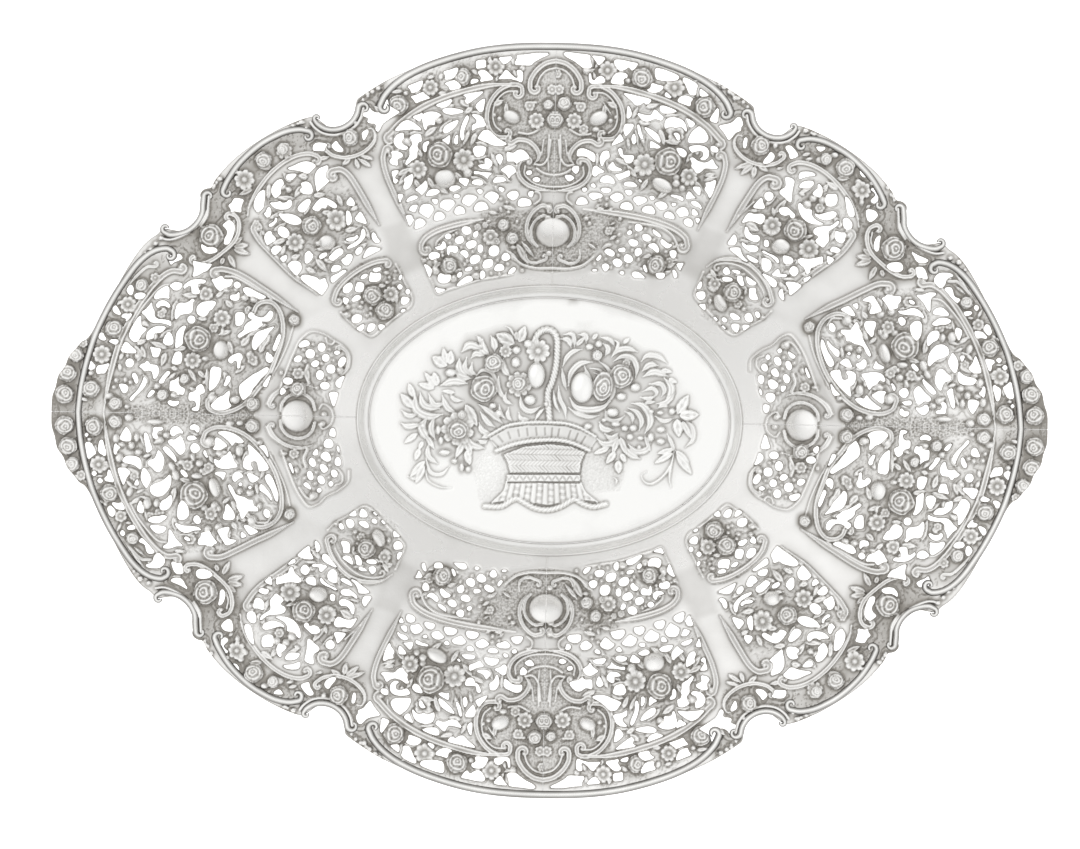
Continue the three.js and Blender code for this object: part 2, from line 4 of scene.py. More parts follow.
import bpy
import numpy as np
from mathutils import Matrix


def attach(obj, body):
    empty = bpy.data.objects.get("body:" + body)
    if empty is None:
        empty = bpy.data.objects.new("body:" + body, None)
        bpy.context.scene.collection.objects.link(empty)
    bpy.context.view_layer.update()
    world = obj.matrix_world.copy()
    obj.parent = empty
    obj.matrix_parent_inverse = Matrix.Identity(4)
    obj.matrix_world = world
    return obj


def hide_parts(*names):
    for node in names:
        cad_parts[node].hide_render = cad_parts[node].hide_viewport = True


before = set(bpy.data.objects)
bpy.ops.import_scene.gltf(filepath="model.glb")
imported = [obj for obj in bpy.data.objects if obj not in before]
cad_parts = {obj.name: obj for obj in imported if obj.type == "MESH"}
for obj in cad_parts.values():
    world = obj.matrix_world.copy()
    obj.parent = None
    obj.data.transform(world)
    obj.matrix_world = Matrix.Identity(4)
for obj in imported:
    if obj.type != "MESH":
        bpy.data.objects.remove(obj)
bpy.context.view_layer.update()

# Sizes are in millimetres until a mesh is made
METRE = 0.001

# The wall: sizes that the solids have too
RIM_LENGTH = 376.0
RIM_WIDTH = 300.8
RIM_SQUARENESS = 1.8
FLOOR_LENGTH = 146.0
FLOOR_WIDTH = 99.6
STEP_RUN_LONG = 4.0
STEP_RUN_WIDE = 4.0
WALL_RISE = 54.0
WALL_TURN = math.radians(70)
STRAP_LEAN = math.radians(7.7)
WELL_DEPTH = 3.0
FOOT_HEIGHT = 4.0
FOOT_INSET = 4.0
SEAT_GAP = 0.3
SEAM_GAP = 0.08
SHEET = 1.0
FLOOR_TOP = FOOT_HEIGHT + SEAT_GAP + SHEET
WALL_BASE = FLOOR_TOP + WELL_DEPTH
WELL_LENGTH = FLOOR_LENGTH + 2 * STEP_RUN_LONG
WELL_WIDTH = FLOOR_WIDTH + 2 * STEP_RUN_WIDE

# The pressed sheet
GRID_STEP = 0.35
WELL_GRID_STEP = 0.32
THICKNESS = 0.8
LEAST_THICKNESS = 0.45
BAR_LIFT = 0.7
SHEET_DROP = 0.35
BAR_ROUNDING = 1.1
BACK_SOFTNESS = 0.9
WELL_PLAY = 0.25
CUT_REACH = 3.0
FAR = 9.0

# How closely plans and lines are worked out
NEWTON_STEPS = 14
NEWTON_REACH = 0.2
ANGLE_NUDGE = 1e-4
PLAN_NUDGE = 0.5
OVAL_STEPS = 200
RING_STEPS = 256

# The mouldings on the rim
BAR_SIDES = 14
BAR_ARC = (-0.12 * math.pi, 1.12 * math.pi)
BAR_SEAT = 0.15
BAR_END_RUN = 7
BAR_END_SIZE = 0.5

# The basket's weave, counted up from a line under the basket
WEAVE_START = 30
LANE_HEIGHT = 2.3
STRAND_WIDTH = 1.55
PLAIT_LIFT = 0.55
SLAT_WIDTH = 2.2
RUNG_GAP = 2.6
HANDLE_WIDTH = 2.9

# Oxide and painted shade for the recess attribute: the share left by each cause, and the reach of each in
# millimetres
FINE_OXIDE_AND_SHADE, FINE_REACH = 0.75, 0.6
BROAD_OXIDE_AND_SHADE, BROAD_REACH = 0.3, 2.2
BUSY_OXIDE_AND_SHADE, BUSY_REACH = 0.3, 1.6
PIERCED_OXIDE_AND_SHADE = 0.5
# painted shade: a dark outline along every cut edge
EDGE_SHADE, EDGE_REACH = 0.34, 0.6
TONE_OXIDE_AND_SHADE, TONE_REACH = 0.62, 0.3
# painted shade on the back face: darker than the front, with a share of the front's oxide and shade
BACK_SHADE_AND_OXIDE = (0.16, 0.45)
DARKEST_TONE = 0.95


def signed_power(value, power):
    """The power of a value's size, with its sign kept."""
    return np.sign(value) * np.abs(value) ** power


def wall_plan(angle, reach):
    """The plan of a spot on the wall: angle runs round the bowl, reach from 0 at the well to 1 at the rim."""
    well_angle = angle - STRAP_LEAN * np.sin(2 * angle)
    power = 2 / RIM_SQUARENESS
    rim_x = RIM_LENGTH / 2 * signed_power(np.cos(angle), power)
    rim_y = RIM_WIDTH / 2 * signed_power(np.sin(angle), power)
    well_x = WELL_LENGTH / 2 * np.cos(well_angle)
    well_y = WELL_WIDTH / 2 * np.sin(well_angle)
    return well_x + (rim_x - well_x) * reach, well_y + (rim_y - well_y) * reach


def wall_rise(reach):
    """The height of the wall at a reach: steep at the well and flatter towards the rim."""
    return WALL_BASE + WALL_RISE * np.sin(WALL_TURN * reach) / math.sin(WALL_TURN)


def wall_reach(x, y):
    """The reach of spots in the first quarter, by Newton steps on the plan."""
    x = np.maximum(x, 0.05)
    y = np.maximum(y, 0.05)
    inner = np.sqrt((x / (WELL_LENGTH / 2)) ** 2 + (y / (WELL_WIDTH / 2)) ** 2) - 1
    outer = 1 - ((x / (RIM_LENGTH / 2)) ** RIM_SQUARENESS + (y / (RIM_WIDTH / 2)) ** RIM_SQUARENESS) ** (
        1 / RIM_SQUARENESS)
    reach = np.clip(0.38 * inner / np.maximum(0.38 * inner + outer, 1e-3), 0.0, 1.2)
    angle = np.arctan2(y * RIM_LENGTH, x * RIM_WIDTH)
    nudge, limit = ANGLE_NUDGE, NEWTON_REACH
    for _ in range(NEWTON_STEPS):
        px, py = wall_plan(angle, reach)
        ax, ay = wall_plan(angle + nudge, reach)
        rx, ry = wall_plan(angle, reach + nudge)
        ax, ay, rx, ry = (ax - px) / nudge, (ay - py) / nudge, (rx - px) / nudge, (ry - py) / nudge
        det = ax * ry - ay * rx
        det = np.where(np.abs(det) < 1.0, np.where(det < 0, -1.0, 1.0), det)
        dx, dy = x - px, y - py
        angle = np.clip(angle + np.clip((dx * ry - dy * rx) / det, -limit, limit), 1e-3, math.pi / 2 - 1e-3)
        reach = np.clip(reach + np.clip((ax * dy - ay * dx) / det, -limit, limit), -0.2, 1.3)
    return reach


def smooth(value, low, high):
    """A soft step from 0 at low to 1 at high."""
    share = np.clip((value - low) / (high - low), 0.0, 1.0)
    return share * share * (3 - 2 * share)


def blurred(field, radius):
    """The field averaged by a bell of the given radius in cells, along rows and then columns."""
    reach = max(1, int(3 * radius))
    offsets = np.arange(-reach, reach + 1)
    weights = np.exp(-0.5 * (offsets / radius) ** 2)
    weights /= weights.sum()
    for axis in (0, 1):
        padded = np.pad(field, [(reach, reach) if i == axis else (0, 0) for i in (0, 1)], mode="edge")
        size = field.shape[axis]
        field = sum(
            weight * np.take(padded, range(start, start + size), axis=axis)
            for start, weight in enumerate(weights))
    return field


def closed_line(numbers):
    """The x, y pairs of a closed outline, with the first pair again at the end."""
    outline = np.reshape(numbers, (-1, 2)).astype(float)
    return np.vstack([outline, outline[:1]])


def oval_line(long_half, wide_half):
    """The closed outline of an oval."""
    turns = np.linspace(0, 2 * math.pi, OVAL_STEPS)
    return np.column_stack([long_half * np.cos(turns), wide_half * np.sin(turns)])


def curve(points, closed=False, cuts=5):
    """A smooth line through the given points."""
    points = np.asarray(points, float)
    count = len(points)
    if closed:
        spans = [[points[(i + j) % count] for j in (-1, 0, 1, 2)] for i in range(count)]
    else:
        ends = np.vstack([2 * points[0] - points[1], points, 2 * points[-1] - points[-2]])
        spans = [ends[i:i + 4] for i in range(count - 1)]
    line = []
    for a, b, c, d in spans:
        for t in np.arange(cuts) / cuts:
            line.append(0.5 * (2 * b + (c - a) * t + (2 * a - 5 * b + 4 * c - d) * t * t
                               + (3 * b - 3 * c + d - a) * t ** 3))
    line.append(line[0] if closed else points[-1])
    return np.array(line)


def spiral(start, heading, radius, turn, side, shrink, steps):
    """A curl that leaves start along heading and winds in: side is 1 to the left and -1 to the right."""
    angle0 = heading - side * math.pi / 2
    centre = np.array(start) - radius * np.array([math.cos(angle0), math.sin(angle0)])
    points = []
    for i in range(1, steps + 1):
        share = i / steps
        now = radius * (1 - shrink * share)
        angle = angle0 + side * turn * share
        points.append(centre + now * np.array([math.cos(angle), math.sin(angle)]))
    return np.array(points)


class Relief:
    """Heights over a plan grid, how far each spot is inside the nearest cut edge, and how dark it is painted, by
    oxide and by painted shade.
    """

    def __init__(self, low, high, step=GRID_STEP):
        self.low = low
        self.step = step
        self.x, self.y = np.meshgrid(
            np.arange(low[0], high[0] + step, step), np.arange(low[1], high[1] + step, step))
        self.height = np.zeros_like(self.x)
        self.edge = np.full_like(self.x, FAR)
        self.tone = np.zeros_like(self.x)
        self.trim = np.full_like(self.x, FAR)

    def window(self, xs, ys, pad):
        """The slices of the grid that hold some spots, with a margin."""
        rows, columns = self.x.shape
        left = int(max(0, (np.min(xs) - pad - self.low[0]) / self.step))
        right = int(min(columns, (np.max(xs) + pad - self.low[0]) / self.step + 2))
        bottom = int(max(0, (np.min(ys) - pad - self.low[1]) / self.step))
        top = int(min(rows, (np.max(ys) + pad - self.low[1]) / self.step + 2))
        return slice(bottom, top), slice(left, right)

    def spots(self, window):
        """The x and y of a window's spots."""
        return self.x[window], self.y[window]

    def zone(self, numbers, pad):
        """The window of an outline, and how far inside it each spot lies."""
        outline = closed_line(numbers)
        window = self.window(outline[:, 0], outline[:, 1], pad)
        return window, inside_distance(*self.spots(window), outline)

    def cut(self, outline):
        """Cuts a closed outline out of the sheet."""
        window = self.window(outline[:, 0], outline[:, 1], CUT_REACH)
        x, y = self.spots(window)
        if x.size:
            self.edge[window] = np.minimum(self.edge[window], -inside_distance(x, y, outline))

    def keep(self, outline):
        """Keeps only what lies inside a closed outline."""
        self.edge = np.minimum(self.edge, inside_distance(self.x, self.y, outline))

    def darken(self, window, share, amount):
        """Darkens the tone where the share is high, for oxide and painted shade alike."""
        self.tone[window] = np.maximum(self.tone[window], amount * share)

    def shadow(self, window, inside, away, low, high, amount):
        """Darkens the ground round a form: inside is 1 on the form, and away is the distance from it."""
        self.darken(window, (1 - inside) * (1 - smooth(away, low, high)), amount)

    def lay(self, window, inside, height, groove=0.14):
        """Lays a raised form over what is there, with a chased groove round it."""
        share = smooth(inside, -0.15, 0.25)
        old = self.height[window]
        ring = np.exp(-((inside + 0.25) / 0.45) ** 2)
        self.height[window] = old * (1 - share) + height * share - groove * ring * (1 - share)


def path_distance(x, y, path):
    """How far each spot lies from a line, and how far along it, from 0 to 1, the nearest place is."""
    steps = np.hypot(*(path[1:] - path[:-1]).T)
    run = np.concatenate([[0.0], np.cumsum(steps)])
    best = np.full(x.shape, 1e9)
    along = np.zeros(x.shape)
    for i in range(len(path) - 1):
        ax, ay = path[i]
        bx, by = path[i + 1] - path[i]
        length = bx * bx + by * by
        if length < 1e-12:
            continue
        t = np.clip(((x - ax) * bx + (y - ay) * by) / length, 0.0, 1.0)
        away = (x - ax - t * bx) ** 2 + (y - ay - t * by) ** 2
        nearer = away < best
        best = np.where(nearer, away, best)
        along = np.where(nearer, run[i] + t * steps[i], along)
    return np.sqrt(best), along / run[-1]


def inside_distance(x, y, outline):
    """Distance to a closed outline, positive inside it."""
    away, _ = path_distance(x, y, outline)
    crossings = np.zeros(x.shape, bool)
    for (ax, ay), (bx, by) in zip(outline[:-1], outline[1:]):
        if ay != by:
            crossings ^= ((ay > y) != (by > y)) & (x < (bx - ax) * (y - ay) / (by - ay) + ax)
    return np.where(crossings, away, -away)


# Openings

def hole(relief, numbers):
    """An opening with a smooth outline through x, y pairs."""
    relief.cut(curve(np.reshape(numbers, (-1, 2)), closed=True, cuts=4))


# Raised forms

def local(relief, x, y, rx, ry, turn, pad=1.5):
    """A window round an oval, with each spot's place in the oval's own axes."""
    reach = max(rx, ry)
    window = relief.window([x - reach, x + reach], [y - reach, y + reach], pad)
    gx, gy = relief.spots(window)
    c, s = math.cos(math.radians(turn)), math.sin(math.radians(turn))
    p = ((gx - x) * c + (gy - y) * s) / rx
    q = (-(gx - x) * s + (gy - y) * c) / ry
    return window, p, q


def rose(relief, x, y, r, lift, turn, squash=1.0, rings=2.9):
    """A full rose: rings of cupped petals round a button, with dark ground about it."""
    window, p, q = local(relief, x, y, r, r * squash, turn, pad=4.0)
    rho, phi = np.hypot(p, q), np.arctan2(q, p)
    share = rho * (1 + 0.03 * np.sin(5 * phi) * smooth(rho, 0.5, 0.9))
    dome = lift * (0.3 + 0.45 * np.sqrt(np.clip(1 - share ** 2, 0, 1)))
    inner = np.hypot(p - 0.2 * (1 - rho), q + 0.14 * (1 - rho))
    turnings = inner * rings + 0.11 * np.sin(2 * phi + 2.1 * inner * rings) + 0.06 * np.sin(3 * phi + turn)
    wave = 0.5 + 0.5 * np.cos(2 * np.pi * turnings)
    ring = np.round(turnings)
    split = np.abs(np.sin(0.5 * (2 + ring) * phi + 1.3 * ring))
    gap = np.exp(-(split / 0.2) ** 2) * smooth(share, 0.25, 0.4)
    relief.lay(window, (1 - share) * r, dome + 0.42 * lift * wave - 0.26 * lift * gap)
    inside = smooth(1 - share, -0.06, 0.02)
    relief.tone[window] *= 1 - inside
    relief.tone[window] += inside * (0.16 + 0.34 * smooth(share, 0.35, 0.9) + 0.4 * (1 - wave) ** 1.3)
    relief.shadow(window, inside, (share - 1) * r, 0.2, 2.6, 0.8)


def daisy(relief, x, y, r, petals, turn=0.0):
    """An open flower: broad rounded petals round a button, with dark ground about it."""
    lift = min(1.3, 0.3 + 0.3 * r)
    window, p, q = local(relief, x, y, r, r, turn, pad=4.0)
    rho, phi = np.hypot(p, q), np.arctan2(q, p) + 0.3
    fan = np.abs(np.cos(0.5 * petals * phi))
    share = rho / (1 - 0.2 * (1 - fan) ** 1.6)
    body = lift * (0.35 + 0.5 * smooth(share, 0.25, 0.8)) * (0.45 + 0.55 * fan ** 0.5)
    vein = 0.15 * lift * np.exp(-((1 - fan) / 0.02) ** 2) * smooth(share, 0.4, 0.6)
    button = lift * (0.4 + 0.6 * np.sqrt(np.clip(1 - (rho / 0.28) ** 2, 0, 1)))
    hub = smooth(0.32 - rho, -0.04, 0.04)
    relief.lay(window, (1 - share) * r, (body - vein) * (1 - hub) + button * hub)
    inside = smooth(1 - share, -0.08, 0.02)
    relief.tone[window] *= 1 - inside
    relief.tone[window] += inside * (0.27 + 0.3 * (1 - smooth(share, 0.4, 0.85)))
    relief.darken(window, np.exp(-((rho - 0.36) / 0.09) ** 2), 0.75)
    relief.darken(window, inside * (1 - fan) ** 1.2, 0.5)
    relief.shadow(window, inside, (share - 1) * r, 0.1, 2.2, 0.7)


def fruit(relief, lift, x, y, rx, ry=None, turn=0.0):
    """A smooth round form with dark ground about it."""
    ry = ry or rx
    window, p, q = local(relief, x, y, rx, ry, turn, pad=3.0)
    rho = np.hypot(p, q)
    away = (1 - rho) * min(rx, ry)
    relief.lay(window, away, lift * np.clip(1 - rho ** 2, 0, 1) ** 0.62)
    inside = smooth(away, -0.2, 0.2)
    relief.tone[window] *= 1 - 0.85 * inside
    relief.shadow(window, inside, -away, 0.1, 1.6, 0.5)


def leaf(relief, x0, y0, x1, y1, width, lift=1.1):
    """A leaf from its stalk to its tip: ridged sides, a sunk midrib and veins."""
    length = math.hypot(x1 - x0, y1 - y0)
    turn = math.degrees(math.atan2(y1 - y0, x1 - x0))
    window, p, q = local(relief, (x0 + x1) / 2, (y0 + y1) / 2, length / 2, width / 2, turn)
    span = np.clip(1 - np.abs(p) ** 2.2, 0, 1) * (1 - 0.25 * p)
    share = np.abs(q) / np.maximum(span, 1e-3)
    side = lift * (0.55 + 0.45 * np.sin(np.pi * np.clip(share, 0, 1)) ** 0.8)
    veins = 0.07 * lift * np.sin(9 * p - 5 * np.abs(q) * 1.6)
    inside = (span - np.abs(q)) * width / 2
    inside = np.where(np.abs(p) < 1, inside, -FAR)
    relief.lay(window, inside, side + veins)


def stroke(relief, path, width, lift, taper=(0.0, 0.0), double=False):
    """A raised line: one rounded ridge, or two ridges with a channel between them."""
    path = np.asarray(path, float)
    window = relief.window(path[:, 0], path[:, 1], width + 1.5)
    x, y = relief.spots(window)
    if not x.size:
        return
    away, along = path_distance(x, y, path)
    size = np.full(x.shape, 1.0)
    for run, reach in ((along, taper[0]), (1 - along, taper[1])):
        if reach:
            size *= np.clip(run / reach, 0.15, 1.0) ** 0.7
    half = width / 2 * size
    share = np.clip(away / half, 0, 1)
    if double:
        body = 0.75 - 0.25 * np.cos(np.pi * np.clip(share / 0.7, 0, 1))
        body = np.where(share > 0.7, np.clip(1 - ((share - 0.7) / 0.4) ** 2, 0, 1) ** 0.6, body)
    else:
        body = np.clip(1 - 0.9 * share ** 2, 0, 1) ** 0.6
    relief.lay(window, half - away, lift * body * (0.6 + 0.4 * size), 0.1)
    inside = smooth(half - away, -0.15, 0.15)
    relief.tone[window] *= 1 - 0.75 * inside
    if double:
        relief.darken(window, inside * (1 - smooth(share, 0.3, 0.62)), 0.42)
    relief.shadow(window, inside, away - half, 0.0, 0.9, 0.22)


def curled(path, first, last, shrink, steps):
    """A line whose ends wind into curls: radius, turn in degrees and side for each end that has one."""
    if last:
        radius, turn, side = last
        heading = math.atan2(*(path[-1] - path[-2])[::-1])
        path = np.vstack([path, spiral(path[-1], heading, radius, math.radians(turn), side, shrink, steps)])
    if first:
        radius, turn, side = first
        heading = math.atan2(*(path[0] - path[1])[::-1])
        path = np.vstack([spiral(path[0], heading, radius, math.radians(turn), side, shrink, steps)[::-1], path])
    return path


def scroll(relief, numbers, width, lift, double, first=None, last=None):
    """A moulding along x, y pairs. It tapers to a plain end that is free, and a curled end holds a bead."""
    free_start = numbers[0] > 1 and numbers[1] > 1
    taper = (0.25 if free_start and last and not first else 0.0, 0.25 if first and not last else 0.0)
    path = curled(curve(np.reshape(numbers, (-1, 2)), cuts=6), first, last, 0.72, 18)
    stroke(relief, path, width, lift, taper, double)
    for curl, end in ((first, path[0]), (last, path[-1])):
        if curl:
            fruit(relief, lift * 1.15, end[0], end[1], max(0.7, 0.42 * width))


# Meshes

def make_mesh(name, points, faces_by_size, shade):
    """A smooth-shaded object from points in millimetres and face arrays, ready for a material."""
    mesh = bpy.data.meshes.new(name)
    mesh.vertices.add(len(points))
    mesh.vertices.foreach_set("co", (np.asarray(points) * METRE).astype(np.float32).ravel())
    loops = np.concatenate([faces.ravel() for faces in faces_by_size])
    sizes = np.concatenate([np.full(len(faces), faces.shape[1]) for faces in faces_by_size])
    starts = np.concatenate([[0], np.cumsum(sizes)[:-1]])
    mesh.loops.add(len(loops))
    mesh.loops.foreach_set("vertex_index", loops.astype(np.int32))
    mesh.polygons.add(len(sizes))
    mesh.polygons.foreach_set("loop_start", starts.astype(np.int32))
    mesh.polygons.foreach_set("use_smooth", np.ones(len(sizes), bool))
    mesh.update(calc_edges=True)
    attribute = mesh.attributes.new("recess", "FLOAT", "POINT")
    attribute.data.foreach_set("value", shade.astype(np.float32))
    piece = bpy.data.objects.new(name, mesh)
    bpy.context.scene.collection.objects.link(piece)
    return piece


def free_edges(faces_by_size, count):
    """The directed edges that only one face has."""
    starts, ends = [], []
    for faces in faces_by_size:
        starts.append(faces.ravel())
        ends.append(np.roll(faces, -1, axis=1).ravel())
    starts, ends = np.concatenate(starts).astype(np.int64), np.concatenate(ends).astype(np.int64)
    free = ~np.isin(starts * count + ends, ends * count + starts)
    return starts[free], ends[free]


def recess_shade(relief, height):
    """How much oxide and painted shade each spot holds: most in grooves and busy relief, near the openings and along
    the cut edges, least on the high and plain parts.
    """
    # oxide and painted shade: fine and broad darken the hollows, busy the steep relief; pierced and rim are painted
    # shade near the openings and along their cut edges
    fine = blurred(height, FINE_REACH / relief.step) - height
    broad = blurred(height, BROAD_REACH / relief.step) - height
    slope_y, slope_x = np.gradient(relief.height, relief.step)
    busy = blurred(np.clip(np.hypot(slope_x, slope_y), 0, 1.5), BUSY_REACH / relief.step)
    pierced = blurred((relief.edge < 0).astype(float), BROAD_REACH / relief.step)
    rim = EDGE_SHADE * np.exp(-(np.clip(relief.edge, 0, None) / EDGE_REACH) ** 2)
    gathered = blurred(relief.tone, TONE_REACH / relief.step)
    return np.clip(FINE_OXIDE_AND_SHADE * fine + BROAD_OXIDE_AND_SHADE * broad + BUSY_OXIDE_AND_SHADE * busy + PIERCED_OXIDE_AND_SHADE * pierced + rim
                   + TONE_OXIDE_AND_SHADE * gathered, 0, 1)


def pierced_sheet(relief, surface, flat_edge=False):
    """A closed sheet from a relief: front and back follow it, and walls close every cut edge."""
    step, edge = relief.step, np.minimum(relief.edge, relief.trim)
    slope_y, slope_x = np.gradient(edge, step)
    steep = np.maximum(slope_x ** 2 + slope_y ** 2, 0.2)
    near = np.abs(edge) < 0.5 * step
    move = np.where(near, edge / steep, 0.0)
    x = relief.x - move * slope_x
    y = relief.y - move * slope_y
    held = (edge > 0) | near
    rounding = np.sqrt(1 - (1 - np.clip(relief.edge / BAR_ROUNDING, 0, 1)) ** 2)
    height = relief.height + BAR_LIFT
    front = height if flat_edge else height * rounding
    back = np.minimum(blurred(front, BACK_SOFTNESS / step) - THICKNESS, front - LEAST_THICKNESS)
    shade = recess_shade(relief, front)

    a, b, c, d = held[:-1, :-1], held[:-1, 1:], held[1:, 1:], held[1:, :-1]
    middle = (edge[:-1, :-1] + edge[:-1, 1:] + edge[1:, 1:] + edge[1:, :-1]) / 4 > -0.12 * step
    number = np.arange(held.size).reshape(held.shape)
    corners = [number[:-1, :-1], number[:-1, 1:], number[1:, 1:], number[1:, :-1]]
    whole = a & b & c & d & middle
    quads = np.column_stack([corner[whole] for corner in corners])
    triangles = []
    flags = [a, b, c, d]
    for missing in range(4):
        rest = [i for i in range(4) if i != missing]
        three = ~flags[missing] & flags[rest[0]] & flags[rest[1]] & flags[rest[2]]
        triangles.append(np.column_stack([corners[i][three] for i in rest]))
    triangles = np.vstack(triangles)
    used = np.unique(np.concatenate([quads.ravel(), triangles.ravel()]))
    index = np.full(held.size, -1)
    index[used] = np.arange(len(used))
    quads, triangles = index[quads], index[triangles]
    count = len(used)
    px, py = x.ravel()[used], y.ravel()[used]
    points = np.vstack([surface(px, py, front.ravel()[used]), surface(px, py, back.ravel()[used])])
    starts, ends = free_edges([quads, triangles], count)
    sides = np.column_stack([starts, starts + count, ends + count, ends])
    quads = np.vstack([quads, quads[:, ::-1] + count, sides])
    triangles = np.vstack([triangles, triangles[:, ::-1] + count])
    front_shade = shade.ravel()[used]
    # The back face is painted darker than the front, as shade, with a share of the front's oxide and shade.
    return points, quads, triangles, np.concatenate([front_shade, BACK_SHADE_AND_OXIDE[0] + BACK_SHADE_AND_OXIDE[1] * front_shade])


def quarter_surface(x, y, height):
    """Lifts plan spots of the first quarter to the wall, with height measured square to it."""
    z = wall_rise(wall_reach(x, y))
    slope_x = (wall_rise(wall_reach(x + PLAN_NUDGE, y)) - z) / PLAN_NUDGE
    slope_y = (wall_rise(wall_reach(x, y + PLAN_NUDGE)) - z) / PLAN_NUDGE
    square = np.sqrt(1 + slope_x ** 2 + slope_y ** 2)
    return np.column_stack([x, y, z - SHEET_DROP + (height - 0.5 * BAR_LIFT) * square])


def placed_panel(name, parts, sign_x, sign_y):
    """The first quarter's sheet mirrored to its own quarter."""
    points, quads, triangles, shade = parts
    points = points * np.array([sign_x, sign_y, 1.0])
    if sign_x * sign_y < 0:
        quads, triangles = quads[:, ::-1], triangles[:, ::-1]
    return make_mesh(name, points, [quads, triangles], shade)


def dress(piece, node, material):
    """Gives a piece its material and its place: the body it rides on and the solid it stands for."""
    piece.data.materials.append(material)
    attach(piece, "root")
    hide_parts(node)


# Materials

TARNISH_SCALE = 60.0
TARNISH_SPREAD = 0.35
TARNISH_SHIFT = -0.16
# Where the colour ramp runs from bright silver to the dark of oxide and painted shade
OXIDE_AND_SHADE_STOPS = (0.06, 0.85)
OXIDE_ROUGHNESS = 0.32
SCRATCH_DEPTH = 0.4 * METRE


def silver(name, bright, dark, roughness, scratch_scale, scratch_strength):
    """Polished silver with oxide and painted shade held in the recesses, fine scratches and a softly uneven surface.
    """
    material = bpy.data.materials.new(name)
    material.use_nodes = True
    nodes, links = material.node_tree.nodes, material.node_tree.links
    nodes.clear()
    output = nodes.new("ShaderNodeOutputMaterial")
    shader = nodes.new("ShaderNodeBsdfPrincipled")
    shader.inputs["Metallic"].default_value = 1.0
    links.new(shader.outputs["BSDF"], output.inputs["Surface"])
    place = nodes.new("ShaderNodeTexCoord")
    recess = nodes.new("ShaderNodeAttribute")
    recess.attribute_name = "recess"
    cloud = nodes.new("ShaderNodeTexNoise")
    cloud.inputs["Scale"].default_value = TARNISH_SCALE
    cloud.inputs["Detail"].default_value = 5.0
    links.new(place.outputs["Object"], cloud.inputs["Vector"])
    tarnish = nodes.new("ShaderNodeMath")
    tarnish.operation = "MULTIPLY_ADD"
    tarnish.inputs[1].default_value = TARNISH_SPREAD
    tarnish.inputs[2].default_value = TARNISH_SHIFT
    links.new(cloud.outputs["Fac"], tarnish.inputs[0])
    amount = nodes.new("ShaderNodeMath")
    amount.operation = "ADD"
    amount.use_clamp = True
    links.new(recess.outputs["Fac"], amount.inputs[0])
    links.new(tarnish.outputs["Value"], amount.inputs[1])
    ramp = nodes.new("ShaderNodeValToRGB")
    for element, position, colour in zip(ramp.color_ramp.elements, OXIDE_AND_SHADE_STOPS, (bright, dark)):
        element.position = position
        element.color = (*colour, 1)
    links.new(amount.outputs["Value"], ramp.inputs["Fac"])
    links.new(ramp.outputs["Color"], shader.inputs["Base Color"])
    rough = nodes.new("ShaderNodeMapRange")
    rough.inputs["To Min"].default_value = roughness
    rough.inputs["To Max"].default_value = min(1.0, roughness + OXIDE_ROUGHNESS)
    links.new(amount.outputs["Value"], rough.inputs["Value"])
    links.new(rough.outputs["Result"], shader.inputs["Roughness"])
    scratches = nodes.new("ShaderNodeTexNoise")
    scratches.inputs["Scale"].default_value = scratch_scale
    scratches.inputs["Detail"].default_value = 6.0
    scratches.inputs["Roughness"].default_value = 0.65
    links.new(place.outputs["Object"], scratches.inputs["Vector"])
    bump = nodes.new("ShaderNodeBump")
    bump.inputs["Strength"].default_value = scratch_strength
    bump.inputs["Distance"].default_value = SCRATCH_DEPTH
    links.new(scratches.outputs["Fac"], bump.inputs["Height"])
    links.new(bump.outputs["Normal"], shader.inputs["Normal"])
    return material


wall_silver = silver("wall_silver", (0.92, 0.912, 0.9), (0.35, 0.332, 0.306), 0.26, 900.0, 0.12)
rim_silver = silver("rim_silver", (0.93, 0.925, 0.91), (0.16, 0.15, 0.14), 0.2, 700.0, 0.18)
floor_silver = silver("floor_silver", (0.95, 0.948, 0.938), (0.42, 0.405, 0.385), 0.22, 500.0, 0.12)


# The outline of a quarter's rim, from the end seam to the side seam, with its two notches

RIM_OUTLINE = [
    198.5, -4, 198.5, 2, 198.3, 6, 197, 10, 196, 14.5, 193.5, 18, 192, 22, 189.5, 25, 187, 28, 184.2, 30, 180, 37.5,
    175, 47, 170, 56.5, 165, 64.5, 161, 69, 157.5, 71.5, 155.5, 73.6, 152.5, 73.4, 149, 73, 145.5, 74.5, 142.5,
    77.5, 140.8, 81, 140.6, 85, 140.8, 88, 139, 89.8, 136.5, 90.5, 135, 93.5, 130, 99.6, 125, 104.2, 120, 108, 115,
    111.3, 110, 114.2, 105, 116.6, 100, 118.6, 96.5, 119.3, 93.5, 117.8, 91, 115.9, 88, 115.2, 84.5, 115.8, 81.5,
    118, 79.6, 121.5, 79.3, 126, 77, 128.2, 72, 131.6, 66, 135.2, 60, 138, 50, 142.3, 40, 145.7, 30, 148.2, 20,
    149.7, 10, 150.4, 0, 150.6, -4, 150.6,
]


def quarter_relief():
    """The plain quarter: the rim's outline, the seams with old oxide along them, and the opening for the well."""
    relief = Relief((0.0, 0.0), (200.0, 152.0))
    rim = np.reshape(RIM_OUTLINE, (-1, 2))
    relief.keep(closed_line(np.vstack([curve(rim, cuts=3), [[-4.0, -4.0]]])))
    relief.trim = np.minimum(relief.x, relief.y) - SEAM_GAP / 2
    relief.tone = np.maximum(relief.tone, 0.25 * np.exp(-(np.minimum(relief.x, relief.y) / 0.35) ** 2))
    relief.cut(oval_line(WELL_LENGTH / 2, WELL_WIDTH / 2))
    return relief


def grain(rng, shape, radius):
    """Seeded noise of one grain size, about 0, with a spread of 1."""
    field = blurred(rng.random(shape), radius)
    return (field - field.mean()) / field.std()


